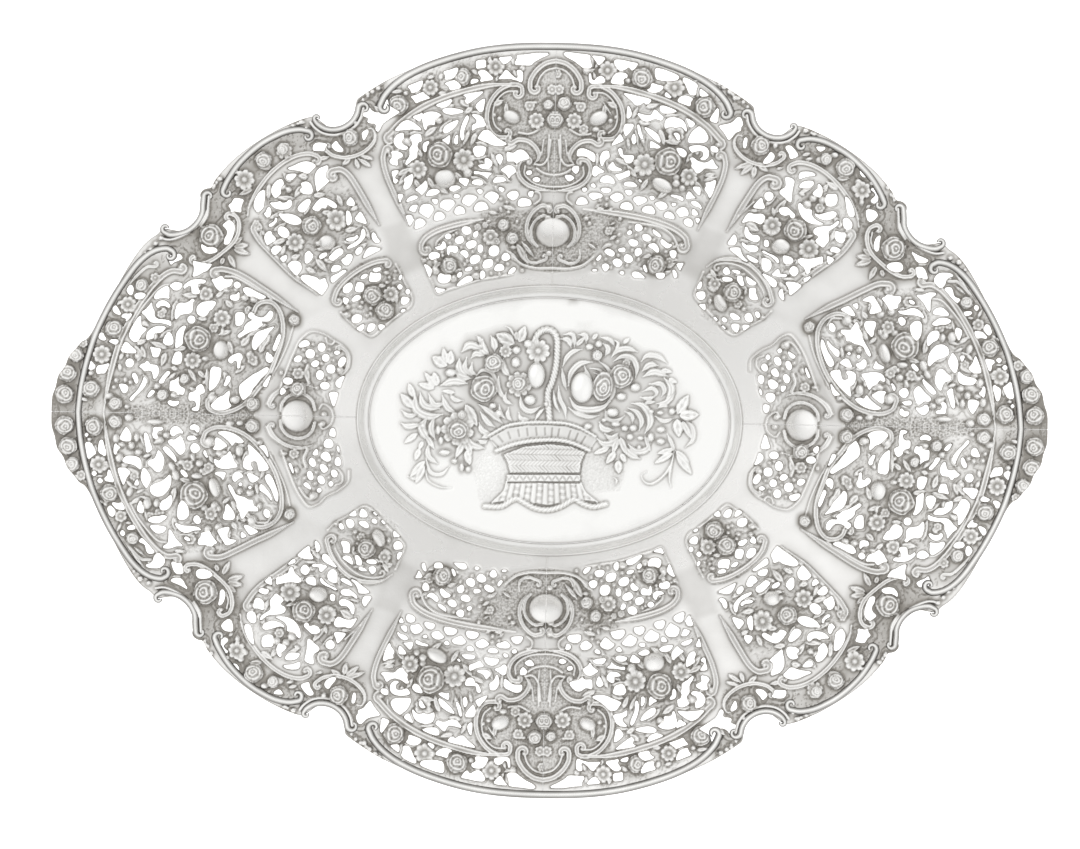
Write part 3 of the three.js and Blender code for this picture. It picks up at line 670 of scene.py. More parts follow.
def stipple(relief, numbers, depth):
    """A matted ground inside an outline: small punched dimples."""
    window, inside = relief.zone(numbers, 0)
    noise = grain(np.random.default_rng(5), inside.shape, 0.55)
    share = smooth(inside, -0.6, 0.8)
    relief.height[window] += depth * share * np.clip(noise, -2, 1.2) * 0.45 - 0.35 * depth * share
    relief.darken(window, share, min(0.5, 1.3 * depth))


def chased(relief, numbers, depth):
    """Fine engraved veins over a zone's solid parts: along the cut edges, and winding where the ground is wide."""
    window, inside = relief.zone(numbers, 1.0)
    rng = np.random.default_rng(int(10 * (numbers[0] + 40)))
    worm, warp, fade = (grain(rng, inside.shape, radius) for radius in (1.1, 1.4, 2.0))
    edge = np.clip(relief.edge[window], 0, 8)
    along = smooth(-np.cos(2 * np.pi * (edge / 1.8 + 0.1 * warp)), 0.3, 1.0) * (1 - smooth(edge, 3.0, 3.8))
    winding = np.exp(-(worm / 0.22) ** 2)
    line = np.maximum(along * smooth(fade, -0.9, 0.3), 0.9 * winding * smooth(-fade, -0.9, 0.2))
    line *= smooth(edge, 0.35, 0.8) * smooth(inside, -0.3, 0.8)
    relief.height[window] -= 1.6 * depth * line
    mottled = 0.4 * depth * smooth(warp, -0.6, 1.2) * smooth(inside, -0.5, 1.5)
    relief.tone[window] = np.minimum(relief.tone[window] + 1.7 * depth * line + mottled, DARKEST_TONE)


def shaded(relief, numbers, amount):
    """Darkens a whole zone, fading at its outline: older oxide and stains, and painted shade on the wall's straps.
    """
    window, inside = relief.zone(numbers, 3.0)
    relief.darken(window, smooth(inside, -2.5, 2.0), amount)


def decorate(relief, zones, openings, leaves, scrolls, berries, daisies, roses):
    """Lays every raised form, the ground first and the boldest last, and cuts the openings."""
    for outline, amount in zones:
        shaded(relief, outline, amount)
    for outline, depth in STIPPLED:
        stipple(relief, outline, depth)
    for outline in openings:
        hole(relief, outline)
    for outline, depth in CHASED:
        chased(relief, outline, depth)
    for x0, y0, x1, y1, width in leaves:
        leaf(relief, x0, y0, x1, y1, width)
    for moulding in scrolls:
        scroll(relief, *moulding)
    for berry in berries:
        fruit(relief, min(1.8, 0.45 + 0.55 * min(berry[2:4])), *berry)
    for x, y, r in daisies:
        daisy(relief, x, y, r, petals=8 if r > 3 else 6, turn=25 * x)
    for x, y, r in roses:
        rose(relief, x, y, r, lift=min(2.0, 0.4 + 0.34 * r), turn=40 * x)
    for boss in BOSSES:
        fruit(relief, 2.2, *boss)


# Quarter A: the north-east panel, and the south-west one turned half round. Outlines are x, y pairs.

OPENINGS_A = [
    # the band along the north bow
    (3, 146.4, 4.5, 147, 8, 146.6, 13.2, 146, 13.5, 144.5, 14.2, 141.2, 11.2, 140.8, 9.5, 141.8, 7, 143.6, 4,
     145.1),
    (14.5, 145.8, 18.9, 145.3, 19.3, 144.2, 17.2, 142.1, 16.4, 142.8, 14.9, 144.9),
    (23.5, 144.2, 26, 144.3, 30, 143.5, 32.6, 142.8, 30.5, 140.2, 29, 141.4, 27.5, 140.4, 25.3, 140.1, 23.4, 142.5),
    (13.3, 136.2, 13.2, 138.3, 13.9, 138.7, 14.4, 136.6, 15.4, 136, 16.5, 137.2, 18, 137.7, 19.3, 137, 19.5, 135.3,
     17, 134.8, 14, 134.8),
    (22, 135.2, 22.7, 137.3, 24, 138.9, 26, 139.3, 28.2, 138.8, 28.5, 137.5, 27, 136.6, 27, 134.7, 24, 134.7),
    (39.6, 140.9, 42, 141, 46, 139.7, 48.9, 138.3, 48.4, 136.7, 45, 136.2, 42, 136.4, 39.9, 137.3),
    (38.4, 135.2, 41, 134.6, 42.9, 134.1, 42.3, 132.6, 40.3, 131.6, 38, 131.7, 36.5, 132.6, 37.8, 133.4),
    (51, 137.7, 53.5, 136.9, 56.5, 135, 56.2, 133, 55.8, 130.9, 53.6, 131.1, 52.6, 132.8, 51.7, 134.9, 50.8, 136.3),
    (44, 131.7, 44.8, 131.4, 46.3, 129.9, 46.4, 129.3, 43.7, 130.3),
    (49.8, 130, 52, 130.6, 54.7, 129.5, 54, 128, 53.6, 126.5, 50, 127.6, 48.8, 128.5),
    (57.8, 133.3, 60.8, 131.2, 60.7, 130.6, 57.8, 130.5),
    (64.7, 125.8, 65.3, 124.5, 64.8, 120.4, 63.2, 120.2, 61.8, 121.2, 63, 123.5),
    (72.8, 122.3, 74.2, 122, 75, 119.6, 74.3, 118.3, 74.1, 117, 72.2, 116.1, 70.5, 114, 69.5, 113.3, 68.6, 114.4,
     67.6, 116, 65.7, 118.3, 66, 119, 69.5, 119.8, 71, 120.6),
    (75.9, 114.3, 76.9, 114, 76.8, 112, 76.3, 110.2, 75.4, 110.4, 75.2, 112.2),
    # the north panel's foliage
    (27.3, 131.1, 30, 130.8, 33, 130.1, 37.8, 129, 38, 128, 37, 127, 36, 126.9, 35.4, 127.7, 34.8, 127.2, 33.5,
     126.5, 32, 126.5, 30.5, 128, 28.5, 129.7),
    (41.7, 125.8, 42.6, 126.5, 45, 126, 48, 124.7, 48.5, 124.2, 46, 123.5, 43.5, 123.4, 42, 124.3),
    (39.5, 124.8, 40.7, 124.3, 42, 123, 43.3, 122, 42.5, 120.6, 41.5, 120.8, 40.3, 121.1, 39, 120.9, 38, 120.4,
     36.5, 120.1, 35, 120.5, 33.5, 122, 32.8, 123.4, 35, 122.9, 37.3, 122.5, 38.5, 123),
    (28.9, 126, 29.7, 125.6, 30.5, 123.7, 30.3, 122, 29, 121.1, 28.6, 122),
    (28.1, 118.8, 29.5, 119.1, 31.4, 118.8, 30.8, 116.8, 28.6, 114.3, 27.8, 115.2, 27.4, 117),
    (32.9, 118.6, 33.8, 118.5, 34.6, 116, 35.4, 113.5, 34.6, 113.3, 33.4, 115.3),
    (35.8, 117.8, 38, 117.2, 40, 116, 41.5, 114.5, 42.4, 112, 41, 112.2, 39, 113.8, 37, 115.8),
    (44, 117.5, 43.8, 119.5, 44.6, 121.2, 46.5, 121.9, 49, 121.7, 51, 120.7, 52.2, 119, 52.7, 116.7, 52.2, 116.5,
     51, 117.9, 49.3, 118.2, 48.2, 117.6, 47, 118.3, 45.5, 118),
    (52.3, 121.6, 54, 121, 55.8, 119.7, 55.3, 118.5, 54, 118, 53.2, 119.5),
    (53.4, 112.1, 53.6, 114, 54.8, 116.3, 57, 118.2, 57.8, 118.4, 60, 116.7, 61.3, 114.3, 60.9, 112.9, 59.6, 112.1,
     56.5, 112),
    (31.6, 115.3, 32.4, 113.8, 32.5, 111.8, 31.6, 111, 31, 111.8, 30.7, 113.5),
    (26.1, 114.9, 27.2, 113.5, 27.5, 112.5, 26, 111.6, 24, 110.7, 22.8, 110.4, 23.4, 111.7, 24.8, 113.4),
    (38.3, 112.3, 39.5, 112, 42.4, 110.2, 41, 109.5, 39.3, 109.9, 38.4, 109.5, 38.1, 110.5),
    (47.5, 115.4, 48.7, 115.8, 49.8, 115, 50, 113.3, 49.2, 112.8, 48.4, 114),
    (48.8, 109.8, 51, 109.6, 52.6, 108.5, 52.8, 107.2, 51.8, 106.2, 50.3, 106.9, 49.4, 108.2),
    (53.7, 109.9, 55, 110.8, 58, 111, 60.5, 110.3, 61.7, 108.7, 61.6, 106.7, 60.3, 105.3, 58.8, 105.2, 58.3, 105.8,
     59.3, 106.6, 59.3, 108.2, 58.2, 108.8, 56.3, 108.5, 55, 108.2),
    (62.7, 110.7, 64, 110.7, 65.4, 109.6, 65, 108.4, 63.5, 108.4, 62.4, 109.3),
    (54.3, 105.8, 55.5, 106.1, 56.5, 105.4, 58, 104.6, 60, 104.2, 61.8, 104.7, 63, 105.6, 63.6, 105, 64.4, 103.5,
     65.4, 102.5, 64.5, 101.8, 60.3, 101.9, 59.3, 101, 58, 100.1, 56.8, 100.1, 55.9, 101.5, 54.9, 102.5, 55, 104),
    (60.7, 96.2, 62.5, 96.5, 64.7, 97.4, 64.5, 95, 63.5, 92, 62.4, 90.2, 61.6, 91.8, 60.4, 93.5, 60.9, 95),
    (55.8, 94.5, 57.5, 94.6, 58.6, 94.2, 58.7, 91.8, 58, 91.3, 57, 92.2, 56, 93.4),
    (54, 92.7, 54.8, 92.3, 56, 91, 57, 90, 55.5, 90, 53.5, 89.6, 53, 90.5, 53.4, 91.8),
    (46.7, 91.2, 48, 91.3, 50.2, 90.9, 51.8, 90.2, 52, 89.2, 51.2, 89, 49.5, 89.9, 47.6, 90.4),
    (9, 107, 9.2, 108.2, 10.3, 109, 12, 109, 14, 108.2, 15.8, 107.3, 16.4, 106, 16.2, 104, 15.6, 103.8, 14.2,
     104.8, 12.8, 105.8, 11, 106, 9.2, 106),
    (8, 102, 9.8, 101.9, 9.9, 100.3, 8.8, 99, 7.5, 100, 7.2, 101),
    (4.6, 98.3, 6.5, 98.5, 8, 97.6, 7.9, 96.9, 6.3, 96, 5.3, 96.4, 4.4, 97.8),
    (20, 108.2, 21.6, 108.2, 22, 107, 22, 105.6, 20.8, 104.8, 20, 103.7, 19.5, 102.3, 18.9, 102.3, 18.3, 104, 18.4,
     106, 19, 107.4),
    (23.4, 104, 24, 103.1, 25, 102, 26.8, 101.3, 27, 100.6, 25, 100.3, 23, 100.5, 21.9, 101.5, 21.8, 102.3),
    (25.4, 109, 26.8, 109.3, 27.2, 108.5, 27.5, 106.9, 29, 106.7, 31.5, 106.6, 31.8, 105.5, 31, 103.9, 29.8, 103.5,
     28.4, 104.1, 27.8, 105.4, 26.5, 106.2),
    (15.9, 102, 17, 102.2, 18.5, 101.2, 20.2, 100.1, 19.5, 99.6, 18, 99.2, 16.5, 98, 15.4, 98.8, 15.4, 100.5),
    (24.5, 98.9, 27, 99.5, 29.8, 100.7, 30.3, 99.9, 30.2, 98.5, 28.5, 97.8, 27, 97.1, 26.2, 96.7, 25.5, 97.5),
    # the scaled rows below it
    (18.4, 96, 19, 97.6, 20.3, 98.4, 22, 98.5, 23.7, 97.4, 24.4, 95.8, 24, 95.3, 21.5, 95.6, 19.5, 95.8),
    (28.1, 95.5, 29, 96.1, 31, 96.2, 32.5, 95.6, 33.4, 94.5, 32.5, 94.3, 30, 94.3, 28.3, 94.7),
    (33.6, 97.3, 34.5, 97.2, 35.2, 96.4, 34.6, 96),
    (14.8, 94.8, 16, 95.3, 16.8, 94.2, 16.4, 93.6, 15.2, 94),
    (11.5, 93.3, 12.8, 93.6, 13.4, 92.8, 12.6, 92, 11.6, 92.2),
    (19, 93.2, 20.3, 93.6, 22.5, 93.3, 23, 92.6, 21.8, 91.6, 20.2, 91.7, 19.2, 92.4),
    (28.5, 92.5, 29.8, 93, 31.2, 92.6, 31.5, 91.5, 30.3, 90.8, 29.3, 91.3),
    (9.2, 87, 9.3, 88.2, 10.2, 89.4, 11.6, 89.8, 13, 89.1, 13.7, 87.9, 13.4, 87.1, 11, 86.8),
    (14, 90.8, 15.5, 91.6, 18, 91.5, 19.5, 90.8, 19.4, 89.9, 17.5, 89.3, 16, 88.8, 14.8, 89.6),
    (22.6, 90, 24, 91.2, 26, 91.7, 27.6, 90.8, 27.9, 89.6, 26.5, 88.7, 25, 88.1, 23.8, 88.8),
    (26.9, 85.8, 27.2, 87.2, 28.5, 88, 30.2, 88, 31.5, 87, 31.8, 85.5, 31, 84.9, 28.5, 85.2),
    (31.9, 89.3, 33, 90.3, 35, 90.4, 36.8, 89.9, 37.4, 88.8, 36.5, 88, 34.8, 87.2, 33.8, 86.9, 32.8, 88),
    (35.6, 84.6, 36, 86, 37.5, 86.7, 39.5, 86.5, 40.6, 85, 40.7, 83.7, 40, 83.5, 37.5, 83.8),
    (38.4, 90.3, 39.3, 90.8, 40.5, 90.2, 40.2, 89.3, 39.2, 89.1),
    (40.7, 87.5, 42, 88.4, 43.5, 88.5, 45, 87.8, 45.7, 86.5, 45, 85.6, 43.2, 85.2, 42.2, 85.8),
    (44.5, 82.7, 44.8, 84, 46, 84.6, 47.6, 84, 48.6, 82.6, 48.2, 81.6, 46.5, 81.9, 45, 82.2),
    (47.2, 87.9, 49.2, 87.8, 48.8, 87, 47.9, 86.8),
    (49.3, 84.7, 50.5, 86, 52.5, 86.4, 53.8, 85.3, 54.2, 83.8, 53.8, 83, 52.5, 82.9, 51, 82.5, 50.2, 83.3),
    (52.4, 80.4, 52.8, 81.6, 54.3, 82, 55.6, 81.3, 56, 80, 55.5, 78.8, 54, 78.9, 52.9, 79.6),
    (55.7, 85.6, 56.5, 85.6, 58, 84, 57.5, 83.3, 56, 83.3, 55.5, 84.4),
    (55.1, 88.6, 56.5, 89, 58.3, 88, 59.3, 86.6, 59.2, 85.7, 58, 86.6, 56.5, 86.9, 55.3, 87.9),
    (57, 82.1, 58.7, 82, 58.5, 80.8, 57.8, 80.1, 57.3, 81),
    # the small north panel by the well
    (21, 68.8, 22, 69.5, 23.5, 69.2, 24.8, 68.2, 24.9, 67, 24, 66.4, 22.3, 67, 21, 68),
    (26.5, 69.5, 27.8, 69.9, 29, 70, 29.2, 68.6, 27.8, 68.2, 26.6, 68.6),
    (18.5, 66.5, 19.3, 67.1, 19.7, 66.2, 19, 65, 18.3, 64.6, 17.6, 65.1),
    (24.2, 64.4, 25, 65.4, 26.3, 65.6, 27.6, 65, 28.2, 64, 27.6, 62.8, 26.5, 62.2, 25, 62.9),
    (20, 62.7, 20.8, 63.5, 22, 63.5, 22.9, 62.7, 22.7, 61.6, 21.5, 60.4, 20.5, 61.2),
    (16, 60.9, 17, 61.3, 18, 61.1, 17.8, 60.5, 16.6, 60.4),
    (27.1, 59.9, 27.9, 60.7, 28.8, 60.4, 28.9, 59.6, 28.2, 59.2),
    (28.7, 66, 29.4, 67.3, 30.6, 67.3, 31.9, 66.5, 32.4, 65.3, 31.6, 64.2, 30.2, 64, 29, 64.8),
    (30.4, 72.5, 31.3, 73.4, 33, 73.2, 34.2, 72.5, 34.2, 71.4, 33, 70.6, 31.5, 70.8),
    (33, 68.3, 33.4, 69.5, 34.5, 70, 35.4, 69.7, 36, 68.2, 35.2, 67.3, 34, 66.6, 33.2, 67.3),
    (29.8, 76.1, 30.5, 76.9, 31.4, 76.8, 31.8, 75.9, 31, 75.2, 30, 75.3),
    (32.9, 78.3, 33.3, 79.4, 34.5, 79.5, 35.8, 78.6, 35.9, 77.5, 35, 76.7, 33.9, 76.6, 33, 77.3),
    (35.9, 74.8, 36.8, 75.6, 38.3, 75.3, 39.5, 74.2, 39.4, 73.2, 38.2, 72.6, 36.6, 73.1),
    (40, 77.5, 41.2, 76.9, 42.8, 75.8, 43.5, 74.8, 43, 74.3, 41.5, 75, 40.3, 76),
    (43.3, 73.2, 44.1, 73.6, 45.2, 72.8, 46.5, 71.9, 47.8, 71.6, 47.4, 70.6, 46, 70, 44.7, 70.7, 43.5, 71.8),
    (38.4, 71.2, 39.5, 71.8, 41, 71.9, 42.3, 70.6, 42.8, 69, 42.3, 68.3, 41.5, 68.5, 40.3, 69.6, 38.9, 70.3),
    (47, 68.7, 47.8, 69.2, 49.2, 69.2, 49.8, 68.2, 49.5, 66.7, 48.5, 66, 47.4, 66.9),
    (50, 63.9, 52.6, 64.2, 52, 62.6, 51.4, 61.3, 50.6, 62.3),
    (36.8, 63.5, 37.5, 63, 38.2, 61.2, 38.1, 60.2, 37.2, 60.8, 36.6, 62.2),
    (32.1, 59.7, 33, 60.5, 34.5, 60.4, 36, 59.5, 37.3, 58, 35, 58, 33, 58.2),
    (41.7, 59.8, 43, 60.2, 45, 60.1, 45.3, 59, 44.5, 58, 42.5, 58.1),
    (48.3, 61.2, 49.2, 61.4, 50.2, 59.8, 50.1, 58.5, 49.2, 58.3, 48.7, 59.5),
    # the small corner panel
    (58.2, 54.2, 59.3, 56.6, 60, 57, 60.3, 55.8, 59.8, 54.2),
    (58.3, 52.5, 60, 53, 61.4, 52.8, 61.8, 51, 60.8, 49.8, 59.3, 49.8, 58.3, 51),
    (59.3, 47.8, 61, 48, 61.8, 47.9, 62, 46, 61.5, 45.6, 60.3, 46.6),
    (68.5, 61.5, 69.8, 62.9, 70.8, 62.2, 71.5, 60.6, 70.5, 59.9, 69.2, 60),
    (72.2, 61.7, 73.8, 61.8, 75.3, 61.2, 75.3, 60.3, 73.8, 60.4, 72.6, 61),
    (68.6, 58.8, 70.5, 58.9, 72.2, 58.4, 72.3, 57.4, 70.5, 57.1, 69.2, 57.2, 68.4, 58),
    (74.4, 59.3, 76.2, 59.3, 76.6, 57.8, 77.2, 55.9, 76, 55.5, 75, 56.5, 74.3, 57.8),
    (77.8, 59.2, 79, 58.8, 80.8, 57.6, 82, 56.6, 81.3, 55.9, 79.5, 55.8, 78.3, 57),
    (79.4, 54.5, 81.7, 54.6, 81.9, 52.8, 82.8, 50.5, 82, 49.9, 80, 50.2, 79.2, 51.5, 79.2, 53),
    (81.8, 44.9, 82.8, 45.3, 83.8, 44.2, 83.6, 43, 82.8, 42.8, 82, 43.8),
    (77.7, 43.5, 78.5, 44.5, 79.8, 44.6, 80.8, 43.2, 81, 41.8, 80, 41, 78.6, 41.4, 77.8, 42.4),
    (71.8, 43.8, 72.5, 44.6, 74, 44.2, 75.8, 42.8, 75.5, 42, 74, 41.8, 72.6, 42.3),
    (68.5, 42.2, 69.5, 42.8, 70.7, 42, 70.5, 41, 69.3, 40.9),
    (65.2, 42.8, 66.3, 42.7, 67, 41.6, 66.7, 41.2, 65.8, 41.8),
    (68.4, 39.5, 69.3, 39.4, 70.4, 38.3, 70.3, 37.9, 69.2, 38.6),
    (72.5, 39.8, 73.5, 40.3, 75.5, 40, 75.6, 38.5, 74.9, 36.9, 74, 37.1, 72.8, 38.3),
    (77.1, 39.8, 79, 39.9, 79.8, 39.4, 78.5, 38.2, 77.5, 37.6, 77, 38.6),
    # the corner panel's foliage
    (92.4, 98.7, 94.5, 98.6, 96, 97.5, 95.7, 95.5, 95.3, 93, 95, 89.2, 93.9, 89.3, 92.5, 90.6, 90.4, 92.3, 90.6,
     93.7, 92.6, 95.3),
    (98, 98.2, 97.7, 99.5, 98.5, 100.9, 101, 101.2, 103, 100.9, 104.2, 100.2, 104, 99.6, 101, 99.2, 99.5, 98.7),
    (98, 94.9, 99, 96.8, 101, 97.5, 103.4, 97.4, 103.6, 96, 102, 94.7, 100, 94.6),
    (103.4, 92.4, 104.5, 94, 105.3, 94.5, 105.3, 96, 106, 96.3, 107, 95, 107.3, 93, 106.8, 91.5, 106.2, 91, 104.8,
     91.5),
    (109, 92.1, 111, 92.4, 112.8, 92.3, 113.3, 90, 112.6, 88.2, 110.6, 87.5, 109, 87.9, 108.5, 90),
    (98, 88.7, 99.2, 88.2, 100.3, 86.7, 102, 86.2, 103.3, 86, 103.2, 84.5, 104.3, 82.7, 106.5, 81.3, 108, 80.4,
     104.5, 80.3, 101.5, 81.3, 99.3, 83.3, 98, 86),
    (104.4, 84.6, 106.2, 84.2, 108.3, 84.8, 111.5, 85.6, 113.1, 84.8, 112.3, 83.2, 109.5, 82, 106.8, 82.5, 105,
     83.5),
    (116.3, 91, 117, 91.3, 118.2, 90, 119.5, 87.5, 120.2, 85, 119.9, 83.6, 118, 83.8, 117, 86.5, 116.6, 89),
    (115.7, 82.4, 117.5, 83, 119.3, 81, 119.1, 78.9, 117.2, 78.4, 116, 79.5),
    (104.5, 78.6, 107.5, 79.5, 111, 79.9, 113.2, 81.5, 114.2, 82, 113.5, 80, 110.5, 77.9, 110.1, 77, 110.3, 74,
     109.3, 72.5, 108.2, 71.2, 107, 71.8, 105, 73.7, 106, 75, 105.9, 75.7, 104.3, 76.7),
    (112.9, 77.7, 115, 77.2, 116.8, 77, 116.7, 74.5, 115.8, 73, 114.2, 73.3, 112.8, 74.8),
    (111.8, 71.5, 113.5, 71.3, 115, 70.3, 114, 69.2, 111.3, 69.6, 111, 70.3),
    (98.2, 65.8, 99.5, 66.8, 102, 66.5, 104.5, 66.8, 107, 67.4, 108, 67.4, 108, 64.8, 106.5, 64.4, 105, 63.6,
     103.5, 62.8, 103, 61.2, 102, 60.4, 101.3, 61.8, 100.6, 63.2, 99.5, 64),
    (109.8, 67.6, 111.5, 67.3, 112.5, 66.3, 111.4, 65, 110.6, 64.5, 110, 65.5),
    (96.7, 63.6, 98.3, 62.6, 98.5, 61, 97.2, 59.6, 95.9, 60, 95, 61.4, 95.4, 62.8),
    (93.7, 57.1, 97, 57.2, 99.8, 56, 98.8, 54.5, 96, 52.2, 95.2, 52.4, 94.9, 54.5),
    (101, 58.8, 103.6, 59.7, 103.3, 58.9, 101.7, 57.4, 100.8, 57.8),
    (92.3, 67.5, 93.5, 67.7, 95.8, 66.9, 96.4, 65.5, 95.3, 64.5, 93, 64.6, 92.4, 65.8),
    (88, 60, 89, 61.2, 90.2, 62.3, 91, 61.9, 91.3, 60.6, 92.6, 60.4, 94, 60.2, 93.8, 59.4, 91.5, 59.2, 89.5, 59.5),
    (84, 60.5, 85.5, 60.2, 88.5, 58.7, 90, 57.3, 89.9, 55.4, 88.2, 55.4, 86.5, 57.5),
    (92.2, 54.6, 92.8, 53, 93.2, 50.8, 92.7, 49.9, 91.3, 51.5, 91, 53.2),
    (84.2, 66.6, 86, 66.4, 87.5, 65.3, 87.8, 63.2, 86.8, 61.6, 85.2, 61.3, 84, 62.8, 83.9, 65),
    (83.6, 69.7, 85.2, 69.3, 86.5, 68.5, 88.5, 67.8, 90.3, 66.5, 90.8, 64.9, 90.2, 64.7, 88.8, 66.3, 86.8, 67.7,
     84.5, 68.7),
    (84.9, 73.9, 86.2, 73.6, 86.6, 72, 86, 71.1, 84.7, 71.5, 84.6, 72.8),
    (77, 79, 77.9, 78.6, 78.6, 77, 80, 75.8, 82, 75.7, 82.9, 74.6, 82.5, 73.4, 81, 73, 79, 73.7, 77.4, 74.8, 76.7,
     76.5),
    (75.7, 72.8, 76.6, 72.5, 78, 71.6, 80.5, 71.7, 82.2, 70.8, 82.3, 69.8, 81, 69, 79, 69.2, 77.2, 70.4, 76, 71.6),
    (72.6, 75.9, 73.5, 74.8, 73.7, 73.2, 72.8, 71.8, 70.7, 71.7, 70.2, 72.5, 71.5, 74.5),
    (70.9, 70.2, 74.8, 70.7, 75.4, 69.5, 76.5, 67.3, 78.2, 65.6, 78.5, 65, 76.5, 65.7, 74.5, 67.2),
    (77.8, 67.8, 79.5, 67.3, 82, 66, 82.5, 65, 80.8, 64.8, 79, 65.8, 78.2, 66.8),
    (78, 84.4, 80.5, 84.1, 83.5, 84.2, 84.7, 83, 84.2, 81.3, 83, 80.1, 80.5, 81, 78.5, 81.3, 76.5, 80.7, 75.6,
     80.8),
    (83, 90.6, 83.8, 88.8, 84.5, 86.5, 82, 86.3, 80, 86.7, 80.5, 88),
    (86, 93, 87.5, 92.3, 87.8, 90.8, 86.5, 89.5, 85.3, 89.5, 84.3, 90.8, 84.5, 92.3),
    (90.5, 86.5, 92.3, 87, 93.5, 86.9, 95.2, 85.5, 96.6, 84, 96.3, 82.8, 95, 82.8, 94.3, 84.1, 93, 83.6, 91.3, 84,
     90.3, 85.2),
    # the band and the two cartouches between the bows
    (86.3, 108.7, 87.8, 107.6, 87.5, 105.8, 85.5, 104.3, 83.5, 104.2, 83.8, 105.6, 85, 107),
    (92.1, 110.8, 94.3, 111.3, 97, 108.3, 96.8, 107, 94.2, 106.2, 93.6, 108),
    (104.4, 111, 106, 111.2, 107.9, 110.9, 107.6, 110, 106, 109.2, 104.8, 110.1),
    (122, 103.2, 123, 103.2, 124.2, 101.8, 125.2, 100, 124.6, 99.3, 123.2, 99.4, 122, 100.8),
    (126.4, 94.6, 128.3, 95.2, 129.2, 93.6, 129.4, 91, 129, 89.3, 127.3, 89, 126.6, 90.2, 128.2, 92, 127.8, 93.2),
    (124.8, 86, 126.5, 86.5, 128.5, 85.8, 129.4, 84, 127.1, 81.7, 125.3, 82.4),
    (133.5, 64.2, 134.8, 65.3, 137.5, 65.7, 139.3, 65.2, 140, 63.5, 139.3, 62.2, 137.3, 61.8, 135, 62.5, 133.7,
     63.5),
    (130.5, 76.2, 130.8, 75.5, 130.4, 73.5, 130.3, 71, 129.7, 69.9, 128.7, 70.2, 128.2, 72, 128.5, 74, 129.3, 75.6),
    (143, 69.8, 144, 69.6, 146, 68.5, 148.5, 67.5, 149.8, 66.8, 149.5, 66, 148, 65.5, 146, 65.7, 144.8, 66.8,
     144.2, 68),
    (145.2, 62.5, 145, 63.5, 146.5, 64, 148.2, 63.5, 149.3, 61.5, 149.8, 59.5, 149.3, 59.1, 147.5, 59.6, 146, 59.6,
     145.4, 61),
    (152.4, 58.5, 152.7, 60, 154.3, 61.5, 157, 61.8, 159.2, 61.4, 159.9, 60.5, 158.5, 60, 157.2, 58.8, 156.8, 57.2,
     155.8, 56, 154.7, 55.8, 153, 57.2),
    (156.6, 55.3, 157.5, 56, 158.8, 56, 159.5, 55.5, 160, 54.3, 160.5, 52.6, 161.8, 51.8, 162.9, 51.3, 162, 50,
     161.2, 50.2, 159.5, 51.8, 158, 53.5),
    (164.5, 46.2, 166, 46.6, 167.6, 46.4, 167.3, 45.4, 166, 44.8, 165, 44.9),
    (168.4, 48.2, 169.2, 49.2, 170.2, 48.5, 170.2, 47.5, 169.5, 46.8, 168.8, 47.3),
    (173.5, 41.5, 174.7, 41, 175.6, 38.8, 175.4, 37.8, 174.5, 37.1, 173.4, 38, 172.4, 39.3, 172.8, 40.8),
    (168.8, 38.5, 171, 38.6, 172.3, 38.2, 173.8, 36.5, 173.3, 35.8, 171.5, 36.1, 169.8, 36),
    (173.3, 27.5, 175, 27.6, 176.7, 27.2, 177, 26.2, 176, 25.2, 175.9, 24, 175.5, 22.9, 174.8, 23.2, 174.2, 24.8),
    (177.6, 27.3, 178.7, 28.3, 179.8, 27.4, 178.9, 26.2),
    (180.1, 24.4, 181.1, 25.5, 182.1, 24.4, 181.2, 23.3),
    (177, 17.4, 178.2, 16.8, 179.6, 15.7, 179.6, 12.7, 179, 11.1, 178, 11.2, 177.3, 13.5, 176.6, 16),
    (183.2, 18.6, 184, 18, 184.5, 15.5, 184.8, 12.3, 182.8, 12.2, 181.7, 13.5, 180.6, 16.2, 181.3, 17),
    (183.7, 9.1, 184.5, 9.9, 185.2, 9.1, 184.5, 8.3),
    # the small east panel
    (86.4, 27, 87.4, 28.2, 88.4, 27, 87.4, 25.9),
    (91, 29.7, 92, 30.7, 93, 29.7, 92, 28.7),
    (95.2, 29.5, 96.5, 29, 98.3, 27.7, 97.9, 26.8, 96.9, 26.7, 95.8, 27.8),
    (89.9, 26.6, 91, 27.3, 92.3, 26.5, 92.8, 25, 92.3, 23.9, 91, 24, 90, 25.2),
    (94.5, 25.2, 95.5, 25.7, 96.6, 24.8, 97, 23, 96.3, 22, 95.3, 22.3, 94.5, 23.7),
    (84.8, 23.2, 85.6, 24.4, 86.8, 24.2, 87.4, 23, 87.2, 21.6, 86.2, 21.4, 85.2, 22),
    (88.8, 21.6, 90, 22.6, 91, 22.3, 92, 20.3, 91.5, 19.2, 90.2, 19.4, 89, 20.5),
    (93.7, 19.8, 94.8, 20.4, 96, 19.4, 96.4, 18.2, 95.7, 16.8, 94.7, 16.9, 93.8, 18),
    (83.8, 19.3, 84.6, 19.8, 85.8, 19.4, 86.1, 17.8, 85.3, 16.3, 84.4, 16.5, 83.6, 17.8),
    (87.6, 17.3, 89, 18.2, 90.5, 17.5, 91.8, 16.3, 91, 14.7, 89.6, 14.2, 88.3, 15),
    (93, 15.5, 94.5, 15.7, 94.9, 15, 94, 13.5, 93.2, 13.2, 92.8, 14.2),
    (84.2, 15, 84.7, 14.3, 85.4, 13, 85.3, 12, 84.9, 11.8, 84.3, 13),
    (87.4, 12.4, 89, 12.7, 90.4, 12.1, 90.6, 10.6, 89.6, 9.2, 88.3, 9, 87.2, 10, 86.8, 11.3),
    (86.2, 8, 87.5, 8, 88.5, 7.5, 88.2, 5.5, 87.5, 4.7, 86.4, 5, 86, 6.5),
